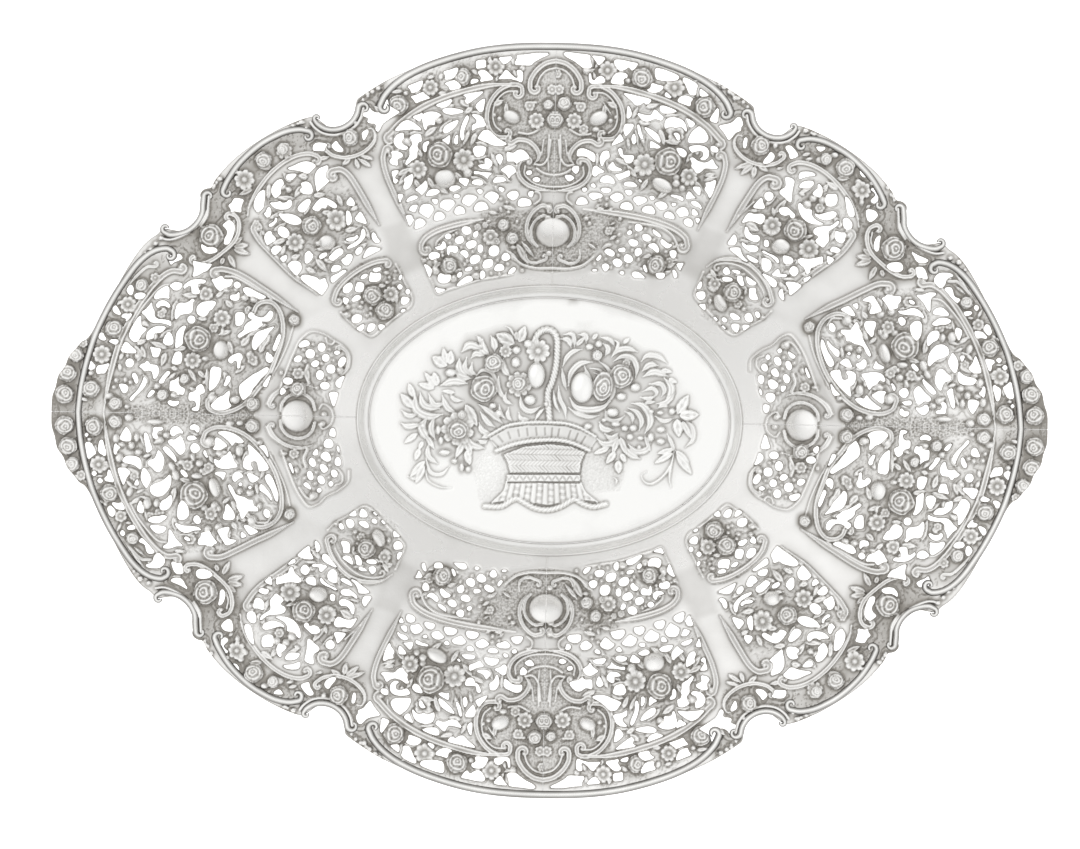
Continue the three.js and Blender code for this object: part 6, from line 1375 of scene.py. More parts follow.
    (115.6, 89.9, 115.2, 88.9, 115.2, 86.8, 115.5, 84.8, 115.8, 82.9, 116.9, 81.7, 117.9, 81, 118.5, 81.3, 119.5,
     82.9, 119.6, 84.4, 119.1, 86.2, 118.1, 88.1, 116.9, 89.4),
    (113.3, 85.1, 112.2, 85, 110.5, 85.2, 109.3, 85.6, 108.3, 85, 106.8, 85.2, 105.8, 86.1, 104.8, 86.1, 104.5, 85,
     104.8, 83.7, 106, 82.7, 107.8, 82.3, 109.9, 82.4, 111.7, 83.1, 112.8, 84.2),
    (113.8, 83.2, 113.1, 82.9, 112.7, 81.7, 112.8, 80.3, 113.4, 79.3, 114.3, 79, 114.8, 79.5, 115.5, 80.5, 114.8,
     81.3, 114.4, 82.3),
    (97.6, 86.7, 99, 86.4, 101, 84.8, 102.2, 83, 101.6, 81.8, 100.2, 81.4, 99, 82, 97.8, 83.8, 97, 85.6),
    (96.3, 83, 95.6, 84.4, 94, 86.4, 92, 87.4, 89.8, 86.8, 87.6, 85.6, 86.5, 84.2, 87.4, 83.3, 89.2, 84, 90.4,
     84.6, 91, 83.2, 92.6, 83.3, 93.8, 82, 95.2, 82.2),
    (81.2, 87.8, 82.6, 86.2, 82.6, 84.9, 80.8, 84.4, 79.5, 84.9, 79.9, 86.6),
    (82.8, 82.2, 81.6, 82.2, 80.9, 80.6, 80.5, 78.6, 81.2, 77.2, 82.4, 76.7, 82.8, 79),
    (77.2, 82.2, 78.2, 81.2, 79.2, 79.8, 78.8, 78.6, 76.8, 77.8, 74.8, 77.4, 75, 78.8, 76, 80.6),
    (83, 71, 81.4, 71.8, 79.8, 72, 78.6, 72.9, 78, 72.8, 78.2, 71.6, 79.6, 70.7, 81.4, 70.3),
    (75.8, 75.4, 75.2, 74, 75.3, 72.2, 76.6, 70.4, 78.4, 68.8, 80.4, 67.8, 82.4, 67.3, 81.6, 68.6, 79.6, 69.8,
     77.8, 71.2, 77, 73, 76.6, 75),
    (72, 74.1, 71.2, 73.6, 70.4, 72, 69.3, 70.6, 70.4, 69.9, 71.6, 70.4, 72.4, 71.6, 72.6, 73.2),
    (77.2, 68.3, 78.8, 67, 79, 65.6, 78.2, 65, 76.8, 65.8, 76.2, 67.4),
    (75.9, 63.8, 75.2, 66, 74, 67.8, 72, 68.3, 69.6, 67.8, 69, 67.3, 71.4, 66, 74, 64.6),
    (89.6, 63.6, 88.6, 65, 86.8, 66.8, 85, 67.4, 83.9, 66.6, 84.2, 65.2, 85.8, 64, 87.4, 62.6, 88.6, 62.6),
    (93.6, 63.8, 92.4, 65.2, 90.6, 65.6, 90.3, 64.8, 91.4, 63.6, 92.8, 63.1),
    (97.6, 66.2, 96.6, 65.4, 95.8, 64.2, 96.6, 62.4, 97.8, 61.2, 99, 61.4, 99.2, 63.4, 99, 65),
    (82.4, 65, 80.8, 65.2, 80.1, 64.2, 80.8, 62.2, 82, 60.8, 83.4, 61, 84.6, 62.6, 83.8, 63.6, 83, 64),
    (109.6, 80.8, 108, 80.6, 105.6, 80.7, 102.8, 80, 101, 78.7, 100.7, 77.5, 101.6, 76.6, 103.8, 76.4, 105.9, 77,
     108, 78.2, 109.2, 79.6),
    (111, 79, 110.3, 78.7, 110.4, 77.5, 111.3, 76.3, 112.3, 75.5, 113.4, 75.5, 113.5, 76.3, 112.5, 76.9, 111.4,
     77.8),
    (109.3, 75.4, 108, 75.5, 106.5, 74.8, 105.4, 73.3, 105.7, 71.8, 106.9, 71.1, 108.6, 71.6, 109.8, 72.8, 109.9,
     74.2),
    (114, 73.4, 112.6, 73.5, 112.2, 72.4, 110.8, 70.9, 111.3, 69.8, 112.5, 69, 114, 68.1, 114.7, 69, 115.3, 70.9,
     114.9, 72.4),
    (111.3, 67.7, 110.1, 67.9, 108.9, 67.7, 108.4, 66.8, 109.2, 65.6, 110.4, 64.5, 111.6, 64.4, 112.5, 65.7, 112.2,
     66.9),
    (107.7, 63.9, 106.5, 64.2, 106.2, 63.3, 106.8, 62, 107.8, 61.5, 108.6, 62.3, 108.9, 63),
    (105, 61.4, 103.4, 62.1, 101.6, 61.8, 100.6, 60.6, 100.4, 58.8, 101.3, 57.3, 102.4, 56.2, 103.7, 57.3, 105,
     58.8, 105.8, 60.2),
    (100.7, 55.3, 100.3, 56.2, 98.6, 56.6, 96.1, 56.1, 94.4, 55.6, 93.2, 54.7, 92.2, 55.1, 91, 55.4, 90.6, 54.2,
     89.9, 52.5, 90.4, 51.1, 91.8, 49.1, 92.5, 48.8, 94.9, 50.5, 97.5, 52.3, 99.8, 54),
    (83.9, 58.8, 82.5, 58.6, 83.1, 57.7, 84.8, 56.3, 86.5, 54.7, 87.9, 53.7, 88.7, 54.4, 88.7, 55.8, 87.6, 56.7,
     85.9, 57.5),
    (87.9, 60.4, 86.5, 60.8, 85.1, 60.5, 84.6, 59.9, 85.3, 58.7, 87.3, 58, 88.4, 58, 88.7, 58.7),
    # the band and the two cartouches between the bows
    (96.4, 107.4, 95.8, 108.6, 94.2, 109.2, 92, 109, 90.8, 108.4, 91.6, 107, 92, 105.9, 94.4, 105.9, 96.2, 106),
    (88.9, 108, 87.8, 109.6, 87, 109.9, 86, 108.6, 84.4, 106.8, 84.6, 105.8, 86.2, 105.7, 87.8, 106.4),
    (76.6, 111, 77, 113, 76.4, 114, 75.4, 114.6, 74.6, 114.8, 74.4, 113.6, 75.2, 111.8, 76, 110.6),
    (129.6, 83.4, 128.4, 84.6, 127.1, 86.4, 123.8, 85.9, 124.1, 84.4, 124.6, 82.5, 124.6, 80.9, 126.1, 81, 127.3,
     81.2, 128.5, 80.8, 128.8, 82.1),
    (131.8, 75.7, 130, 77.2, 129, 77.5, 128.1, 76.9, 127.2, 75.7, 127.1, 74.2, 127.4, 72.4, 128, 70.6, 129, 68.7,
     130, 67.9, 131.2, 68.1, 131.2, 69, 130.9, 70.6, 130.3, 71.5, 130, 73, 130.6, 74.2, 131.3, 74.9),
    (140.1, 67.8, 139, 67.2, 137.5, 66.6, 135.4, 66.6, 134.1, 66, 133.9, 65.1, 135.1, 64.4, 136.9, 64.1, 138.7,
     64.5, 139.7, 65.6, 140.2, 66.6),
    (143.3, 61, 141.8, 60.8, 139.9, 60.4, 138, 60.1, 136.1, 60, 136.6, 58.8, 137.8, 57.3, 139.3, 56.7, 140.6, 55.8,
     142.4, 55, 143.6, 54.9, 143.2, 56.4, 143, 58.3, 143.3, 59.6),
    (151.8, 63.4, 150.5, 63.7, 148.7, 63.7, 148.1, 63.1, 147.6, 62.1, 148.9, 61.2, 151.1, 60.2, 152.1, 59.4, 152.6,
     60.2, 153.1, 61.5, 152.7, 62.8),
    # the small east panel
    (101.2, 27.8, 100.9, 29, 99.4, 30.3, 97.9, 30.4, 96.8, 29.3, 97.3, 28.3, 98.8, 27.8, 100.3, 27.5),
    (93.7, 27.8, 92.9, 29.3, 91.3, 29.3, 90.5, 27.8, 91.3, 26.2, 92.9, 26.2),
    (98.5, 25.1, 97.6, 26.7, 95.6, 26.7, 94.7, 25.1, 95.6, 23.4, 97.6, 23.4),
    (103.1, 22.2, 102.5, 23.6, 101.2, 24.3, 100, 23.8, 100.1, 22.4, 101.4, 21.5),
    (91.9, 23.6, 91.2, 24.9, 89.6, 24.9, 88.9, 23.6, 89.6, 22.2, 91.2, 22.2),
    (96.2, 20.7, 95.6, 21.9, 94.2, 22.5, 93, 21.8, 93.4, 20.4, 94.8, 19.7),
    (90.1, 19.1, 89.3, 20.7, 87.3, 20.7, 86.5, 19.1, 87.3, 17.5, 89.3, 17.5),
    (94.2, 16.6, 93.4, 18.3, 91.8, 18.3, 91, 16.6, 91.8, 14.9, 93.4, 14.9),
    (92.5, 12.4, 91.6, 13.7, 89.6, 13.7, 88.7, 12.4, 89.6, 11, 91.6, 11),
    (107.3, 14, 106.3, 15.2, 104.3, 15.2, 103.3, 14, 104.3, 12.7, 106.3, 12.7),
    (107.2, 11.3, 106.1, 10.1, 106.6, 8.9, 108.1, 8.3, 108.3, 9.5, 108, 10.7),
    (83.7, 24.1, 82.7, 23.9, 82.3, 22.7, 83.1, 20.9, 84.2, 20.1, 85.4, 20.6, 85.4, 22.1, 84.7, 23.3),
    (87.1, 26, 85.9, 26.6, 84.7, 26, 85, 25.3, 86, 24.8, 86.9, 25.3),
    (83.1, 16.5, 82.8, 16.1, 83.7, 14, 84.3, 11.9, 85.1, 11.6, 86.2, 12.6, 86.3, 14, 85, 15.5),
    (88.9, 9.2, 87.4, 9.9, 85.4, 9.5, 85.7, 7.4, 86.3, 5.3, 86.9, 4.1, 87.7, 5.1, 88.4, 7.4),
    # the east panel's foliage
    (136, 53.7, 134.2, 54.3, 132.4, 55.3, 131.6, 55, 130.9, 54.1, 129.3, 54, 127.7, 54, 127.8, 52.8, 128.7, 51.3,
     130.9, 50.5, 132.1, 49.5, 133.1, 49.6, 134.5, 51, 135.4, 52.8),
    (127.2, 51.6, 126.9, 52.8, 125.7, 53.2, 124.5, 52.3, 124.8, 51, 126, 50.6),
    (123.5, 50.5, 122.1, 51.1, 120.3, 50.5, 117.9, 49.2, 115.5, 48.1, 114.4, 47.4, 115.2, 46.7, 117, 46.4, 117.9,
     46.9, 119.4, 47.5, 120.9, 47.4, 122.4, 48.3, 123.2, 49.3),
    (128.6, 47.4, 127.8, 48, 126.3, 48.1, 125.1, 49.2, 124.9, 48, 125.1, 46.2, 126.3, 45.6, 128, 45.9, 128.5, 46.5),
    (138.2, 53.3, 139.9, 53.8, 141.8, 53.8, 143.8, 53.5, 145.7, 52.4, 147, 51.1, 146.7, 49.9, 145.4, 50.9, 144.1,
     50.9, 143.8, 48.7, 143.1, 48, 141.2, 48, 140.6, 49, 141.2, 50.3, 141.5, 51.5, 140.6, 52.2, 139, 52.2),
    (134.2, 44.8, 135.7, 45.4, 137.5, 45.1, 139.3, 44.8, 140.8, 43.9, 141.7, 42.5, 141.7, 40.6, 140.6, 39.4, 138.8,
     39, 137.6, 39.8, 136.6, 41.4, 135.7, 41.9, 134.5, 43.7),
    (126.4, 40.2, 125.8, 40.9, 123.7, 41, 122.8, 40.2, 122.8, 38.4, 123.3, 36.9, 124.3, 35.8, 126.1, 35.8, 126.4,
     37.5),
    (124.6, 30.9, 125.5, 31.5, 124.6, 32.7, 123.1, 33.9, 122.8, 35.4, 121.6, 36.9, 119.8, 38.1, 121.3, 39.1, 121.3,
     40.2, 120.4, 41.1, 119.4, 40.8, 118.7, 39.9, 116.9, 39.2, 115.4, 39.3, 114.2, 40.2, 113, 41.8, 112.2, 41.9,
     111.5, 41.2, 111.6, 40, 112.1, 38.7, 113.6, 37.6, 116, 37.5, 115.5, 36.3, 116.6, 35.4, 118.1, 34.2, 119.8,
     33.6, 121.6, 32.7, 123.4, 31.6),
    (110.9, 35.7, 111.8, 34.5, 113.3, 32.7, 114.3, 30.9, 116, 29, 117.5, 27.2, 118.1, 26.2, 119.1, 26.3, 119.7,
     27.5, 119.7, 29.3, 119, 31.5, 117.5, 33.3, 115.1, 34.3, 112.7, 35.2),
    (109, 32.7, 108.3, 32.1, 108.7, 30, 109.7, 27.5, 110.4, 26, 111.3, 26, 111.5, 27.2, 110.7, 29.3, 110, 31.2),
    (113.6, 25.6, 113, 24.8, 112.1, 24.5, 111.6, 23.6, 111.1, 23, 111.9, 21.5, 112.7, 21.1, 113.9, 21.8, 114.3,
     23.6),
    (113, 18.8, 113.9, 19.3, 115.4, 18.5, 117.2, 17.3, 119, 16.4, 121.3, 14.6, 122.8, 13.4, 124.3, 11.9, 124.6,
     10.1, 124.3, 8.3, 123.4, 6.5, 122.8, 6, 121.6, 6.9, 120.1, 8.3, 119, 10.7, 117.5, 12.5, 116, 14.6, 114.5, 16.1,
     113.3, 17.6),
    (111.9, 16.5, 112.4, 14.9, 113, 13.1, 113.7, 11.5, 114.8, 11.5, 115.2, 12.2, 114.2, 14, 113, 15.5),
    (145.4, 37.7, 144.6, 39.1, 143, 39.1, 142.2, 37.7, 143, 36.3, 144.6, 36.3),
    (146.9, 35.1, 145.8, 34.9, 146.5, 33.3, 146.9, 31.5, 147.1, 29.7, 147.1, 28.1, 148.1, 27.1, 149, 26.5, 149.9,
     26.3, 150, 28.1, 149.9, 30, 149.6, 32.1, 148.4, 34),
    (153, 32.5, 151.9, 32.1, 151.1, 30.6, 150.8, 28.7, 151.4, 27.5, 153, 27.2, 154.2, 27.7, 154.9, 28.7, 154.3,
     30.6),
    (153.9, 34.5, 155.1, 34.8, 156.9, 34.9, 158.7, 34.3, 160.2, 33.3, 161.2, 32.1, 161.5, 30.6, 161.2, 29.2, 160.2,
     29.5, 158.8, 30, 158.5, 31.5, 157.8, 32.2, 156, 32.2, 154.5, 33.3),
    (159.9, 26.5, 158.7, 26.3, 157.2, 26, 155.7, 25.7, 156, 24.2, 156.7, 22.6, 157.9, 22.4, 158.8, 22.6, 159.4,
     24.5),
    (149.9, 24.5, 148.4, 24.8, 147.4, 23.9, 147.3, 22.1, 147.7, 20.3, 148.7, 19.7, 150.2, 19.7, 151.3, 20.3, 151,
     22.1, 150.4, 23.6),
    (153, 16.9, 151.9, 16.7, 152.3, 15.5, 153.6, 14, 154.5, 12.2, 155.7, 12, 156.3, 12.6, 155.1, 14.6, 153.9, 16.1),
    (161.1, 20.9, 160.2, 20.3, 159.9, 19.6, 158.4, 19.4, 157, 19, 156.3, 17.3, 156.6, 15.5, 157.5, 14, 158.4, 13.8,
     158.8, 15.5, 159.3, 16.7, 160.8, 17, 162, 16.7, 163.2, 17.9, 164.1, 18.5, 163.2, 19.6, 162, 19.9, 161.5, 20.6),
    (162.2, 14.6, 161.2, 13.5, 161.1, 12.1, 161.9, 10.4, 163.6, 8.4, 165.3, 6.7, 166.7, 5, 167.4, 4.9, 167.7, 5.6,
     166.7, 7, 165, 8.7, 163.6, 11, 162.6, 13.2),
    (158.8, 9.3, 157.8, 8.7, 158.4, 7.7, 159.6, 6.6, 160.5, 6.2, 160.8, 6.6, 160.2, 8, 159.4, 9),
    (148, 15.2, 148.4, 14, 148.5, 12.5, 147.8, 11, 146.2, 10.2, 146, 9.5, 146.6, 7.7, 148.1, 7.8, 148.7, 7.4,
     149.3, 8.6, 150.8, 9, 151.9, 9.2, 152, 11, 151.7, 12.9, 150.2, 13.4, 149, 14.3),
    (139.7, 12, 138.8, 11.3, 138.2, 9.8, 138.3, 8.6, 140, 7.7, 139.8, 6.2, 140, 4, 140.5, 1.5, 142.1, 1.3, 143.2,
     1.8, 142.7, 2.5, 141.5, 3.1, 141.7, 4.7, 142.7, 5.4, 144.2, 5.4, 144.5, 6.8, 144.1, 8.4, 142.7, 8.9, 141.7,
     9.5, 141.5, 10.7, 140.6, 11.6),
    (135.2, 19, 133.7, 19, 132, 18.5, 131.7, 17, 132, 14.9, 132.6, 13.1, 133.7, 11.3, 134.9, 10.1, 136.1, 9.4,
     136.5, 10.1, 136.4, 12.5, 136.2, 14.9, 136.1, 17.3),
    (128.4, 9.6, 128.3, 8, 128.6, 6.2, 128.3, 4.7, 127.5, 3.6, 128.9, 2.4, 131, 1.8, 133.4, 1.7, 134.9, 2.5, 135.6,
     3.4, 135.2, 4.3, 133.7, 5.9, 132.2, 7.1, 130.7, 7.7, 129.5, 8.9),
    (129.5, 15.3, 128.4, 15.5, 128, 14.3, 128.6, 12.8, 129.8, 11.4, 130.7, 11.6, 130.5, 12.5, 129.9, 14),
    (126.1, 24.4, 124.9, 24.8, 123.7, 24.1, 123.4, 22.7, 124, 21.5, 124.3, 19.7, 124.6, 18.5, 125.4, 18.8, 125.5,
     20.3, 125.7, 21.4, 126.7, 21.5, 127.7, 20.5, 128.9, 21.2, 128.9, 22.4, 127.7, 23.6),
    (149.9, 42.2, 150.4, 40.2, 150.1, 37.6, 149, 38.4, 148.1, 39.4, 146.3, 39.9, 144.2, 40.3, 143.2, 41.9, 143.4,
     43.9, 142.6, 45.5, 143.8, 45.8, 144.7, 45, 146.3, 44.3, 148.3, 44.3, 149.5, 43.4),
    (159.5, 44.2, 159.2, 42.3, 158.4, 40.7, 158.2, 38.7, 156.6, 37.6, 154.5, 37.5, 152.3, 37, 151.7, 36, 151.9,
     34.9, 153.3, 35.5, 156, 36.1, 158.7, 36.1, 160.5, 36.9, 162, 38.7, 163.4, 40, 162.7, 40.9, 161.7, 41.6, 160.4,
     43.2),
    (164, 38.8, 163.6, 37.8, 163.6, 35.5, 163, 34.4, 161.5, 33.8, 161.9, 32.7, 163.3, 31.3, 164.2, 29.6, 165, 28.5,
     166.4, 28.4, 167.6, 29.3, 168.3, 30.7, 167.8, 33, 166.7, 35.2, 165.3, 37.5),
    (169.8, 28.2, 168.7, 27.9, 167.6, 26.8, 166.2, 25.6, 165.4, 24.8, 165.7, 23.9, 167.3, 23.8, 169, 23.9, 170.7,
     24.2, 171.4, 24.8, 171.1, 25.9, 170.5, 27.3),
    (169.6, 19.9, 168.8, 21.4, 167.1, 21.5, 166.2, 20, 167, 18.4, 168.8, 18.3),
    (166.6, 15.8, 165.6, 15.8, 164.7, 14.4, 164.4, 12.9, 165, 11.7, 165.7, 12.1, 166.3, 13.5, 166.9, 14.6),
    (171.9, 10.7, 171.8, 11.4, 170.4, 11.5, 169, 11.1, 168.3, 10.1, 168.8, 8.4, 170, 7.8, 170.8, 8.4, 171.4, 9.6),
    (152.5, 4.9, 151.7, 5.3, 150.2, 4.9, 148.7, 5.1, 148.1, 4.6, 148.7, 3.6, 150.2, 2.9, 151.7, 3.3, 152.6, 4.2),
    (154, 50.8, 152.9, 50.4, 152.6, 49, 152.7, 47.1, 152.6, 45.8, 154, 46.1, 155.9, 46.1, 157.6, 45.5, 158.5, 45.8,
     158.4, 47.1, 157.2, 48.7, 155.6, 49.9),
    (157.7, 43.5, 156.6, 44.8, 154.7, 45.1, 153.1, 44.3, 152.3, 43.2, 152.3, 42.4, 153.1, 42.3, 154.3, 42.9, 155.9,
     42.9, 156.9, 42.1, 157.6, 42.4),
    (150.7, 52.4, 148.9, 52.4, 147.5, 51.7, 147.9, 50.3, 149.2, 49.3, 150.7, 49.3, 151.9, 50.3, 152.4, 51.2),
    # the band along the east bow
    (173.9, 42.7, 174.9, 41.6, 174.7, 40.3, 173.6, 39.4, 172.2, 39, 171.7, 39.5, 172.2, 40.5, 172.8, 41.6),
    (171.2, 38.9, 170.4, 39.5, 168.7, 39.5, 167.1, 39.7, 167.4, 38.9, 168.1, 37.8, 169.4, 36.5, 169.8, 36.6, 169.5,
     37.3, 170.4, 37.8, 171.4, 38.1),
    (179.1, 31.8, 178.4, 31.4, 178, 30.4, 177.4, 29.6, 177.6, 28.8, 178.6, 28.7, 179.8, 29.2, 180.4, 30.2, 180.1,
     31.3),
    (176, 28.6, 175.2, 29.2, 173.8, 29.2, 172.6, 28.9, 172.6, 27.9, 173.3, 27.2, 174.3, 27.3, 175.5, 27.9, 176.4,
     28),
    (183.8, 20.6, 183.1, 20.3, 182.2, 19.4, 181.5, 18.6, 181.7, 17.5, 182.5, 17, 183.6, 17, 184.6, 17.7, 184.8,
     18.9, 184.3, 19.7),
    (176, 19.7, 176.2, 18.6, 176.9, 16.9, 177.7, 15.6, 179.1, 15.5, 180.5, 15.3, 181, 16, 181, 17.7, 180.3, 18.6,
     178.8, 18.9, 177.4, 19.2),
    (168, 51, 167, 50.3, 166.8, 48.7, 167.2, 47.4, 167.8, 46.9, 168.8, 47.5, 169.5, 48.7, 169.1, 49.9),
    (166.4, 46.9, 165.6, 47.7, 163.6, 48, 162.1, 47.4, 162.4, 46.4, 163.6, 45.5, 165.6, 45.5, 166.2, 46.1),
]
ROSES_B = [
    (46, 105.4, 5.2), (62.6, 124.8, 4), (37.2, 136.4, 3.6), (96.6, 76.2, 3.9), (116, 101.7, 3.4),
    (81.6, 111.4, 3.4), (136.4, 71, 4.9), (141.1, 30, 5.2), (174.2, 33.4, 3.6), (183.1, 9.3, 3.6),
    (189.1, 22.8, 3.1), (192.4, 15.3, 3.6), (193.4, 7, 3.8), (163.6, 50.9, 2.8), (154.8, 7.4, 2.4),
    (103.2, 38.4, 2.4), (71.8, 48.9, 3.9), (67.1, 43, 3.7), (101.2, 10.7, 3.2), (41.5, 61.4, 3.4),
    (19.9, 78.2, 2.5), (16.2, 73, 2.6), (2.8, 126, 2.2), (0.4, 120.2, 3.2), (146.2, 14, 2.2), (119.2, 4.4, 2.9),
    (173.3, 3.6, 2.8), (108.3, 106.2, 2.6),
]
DAISIES_B = [
    (54.4, 99.4, 3.8), (36.2, 103.6, 4.5), (50, 131.8, 3.4), (24, 140.6, 3.6), (86.6, 78.6, 4.4), (103, 69.4, 3.8),
    (107.8, 105.6, 3.4), (123.4, 93.8, 4.2), (131.6, 38.4, 3.6), (134.9, 34.5, 2), (143, 21.4, 3.5),
    (178.9, 23.1, 3.8), (168.8, 43.2, 3.4), (138.1, 48, 3), (64.7, 49.6, 3.3), (101.2, 17, 2.5), (25, 73.2, 3.3),
    (30.2, 77, 1.5), (27.2, 78, 1.3), (158.2, 54, 2.1), (7.4, 119.6, 3.4), (119.4, 22.2, 2.2), (155.6, 39.6, 1.8),
    (1.4, 132, 2.2), (10.2, 125.4, 2.2), (118.4, 76.4, 1.6), (22.6, 71.6, 1.5), (186.4, 27.4, 2),
]
BERRIES_B = RIM_BEADS + [
    (43.6, 96, 4.4, 4), (90.4, 69.6, 3.6, 3.2), (36, 100.4, 1.8), (34.6, 98.6, 2), (38.8, 102.2, 1.1),
    (59.8, 129.4, 1.2), (58.9, 110.2, 2), (46.4, 119, 1.6), (108, 91.4, 1.4), (105.8, 90.2, 1.4), (94, 69.2, 1.2),
    (132, 25.8, 3.3, 3.9), (17.4, 121, 3.6, 2.7, 25), (24.2, 121.6, 0.8), (22.2, 120.2, 1.1), (11, 126.4, 1.6, 0.9),
    (8.2, 126.8, 1.4, 0.8), (70.6, 131, 1.2, 0.9), (73, 129.6, 1.1, 0.9), (74.8, 128.8, 0.9), (101.2, 116.9, 1),
    (104.4, 115.6, 1, 0.7), (99.2, 114.8, 0.8), (133, 93.8, 1.3, 1), (135.4, 91, 1), (80, 117.6, 0.9),
    (156, 69.8, 1.3, 1, -30), (158.2, 67.6, 1.2, 1, -30), (160.2, 65.4, 1, 0.8, -30), (162, 63.6, 0.8, 0.7),
    (138.2, 22.2, 1.6, 1.2), (131.4, 33.2, 1, 2), (122.7, 46.8, 1.7, 1.5), (119.1, 46.2, 1.8, 1.5), (126.3, 50, 1),
    (130.1, 49.6, 1.5, 1, 10), (156.9, 10.8, 1.5), (150, 7.4, 2, 1.3), (158, 30.8, 1.2, 1.7), (134.8, 6.4, 1.8),
    (126, 6, 2, 1.8), (120.4, 24, 1.8), (118.6, 21, 1.6), (138.2, 12.8, 1), (175.6, 6.5, 1.9, 1.6),
    (173.1, 12.9, 1.1, 1.2), (169.5, 13.2, 1, 1.3), (167.4, 12.2, 1.1, 1), (174, 10.1, 1), (164.7, 22.6, 1.4),
    (168.8, 22.8, 0.8, 0.9), (168.7, 2.5, 1.3, 1.1), (183.2, 15.6, 1.3), (84.6, 18.8, 1.5, 1.7), (88.9, 26.9, 0.8),
    (93.7, 24.2, 0.7), (87.2, 22.6, 0.8), (92, 21.2, 0.8), (93.2, 19.4, 0.7), (95.5, 28.8, 0.8),
    (99.2, 26.6, 0.9, 0.8), (98.6, 22, 1), (88.8, 15.4, 0.8), (90.6, 14.8, 0.7), (93.8, 11.4, 0.9),
    (108, 17.2, 0.8, 1.2), (81.7, 44.3, 1.1), (82.1, 41, 1.6, 1.3), (76.7, 44.3, 1.2, 1), (72.6, 43.9, 0.9),
    (72.6, 41.6, 0.9), (74.2, 40.9, 0.9), (66.6, 58.2, 1.3, 0.9), (65.4, 56.3, 0.7), (63.3, 55.8, 0.7),
    (66.3, 54.3, 1, 0.8), (63, 58.8, 0.8), (76, 46.2, 0.9), (38.7, 74.5, 0.8), (40, 73.7, 0.7), (41.3, 70.4, 0.8),
    (36.7, 68.9, 0.8), (44.4, 66.8, 0.9), (44.1, 65.4, 0.8), (33.8, 72.4, 0.8), (32.1, 67.3, 0.8),
    (51.3, 63.5, 0.9), (50, 64.2, 0.6), (46.9, 62.8, 1.2), (34.2, 63.6, 0.9), (35.2, 62.2, 0.8),
    (46.8, 59.4, 1.9, 1.6), (39.7, 56.6, 1.7), (30.4, 57.8, 2, 1.5), (27.2, 65.6, 0.9), (22.1, 64.2, 0.8),
    (18, 62.8, 0.9), (12.1, 60.3, 0.9), (21.2, 58.6, 0.8), (24.5, 58.8, 0.8), (30.4, 60.8, 0.9),
    (24.5, 75.5, 1.8, 1, 10), (15.8, 69.4, 1.4, 1), (21.1, 88.4, 0.8), (18.7, 87.2, 0.8), (18, 83.3, 1, 0.8),
    (14.5, 79.6, 0.9, 1), (25.9, 79.6, 1.2, 0.7, -20), (1.8, 85.4, 1.6, 1.4), (2, 81, 1.6, 1.5),
    (1.4, 67.4, 1.5, 1.2), (90.7, 0.8, 1.3),
]
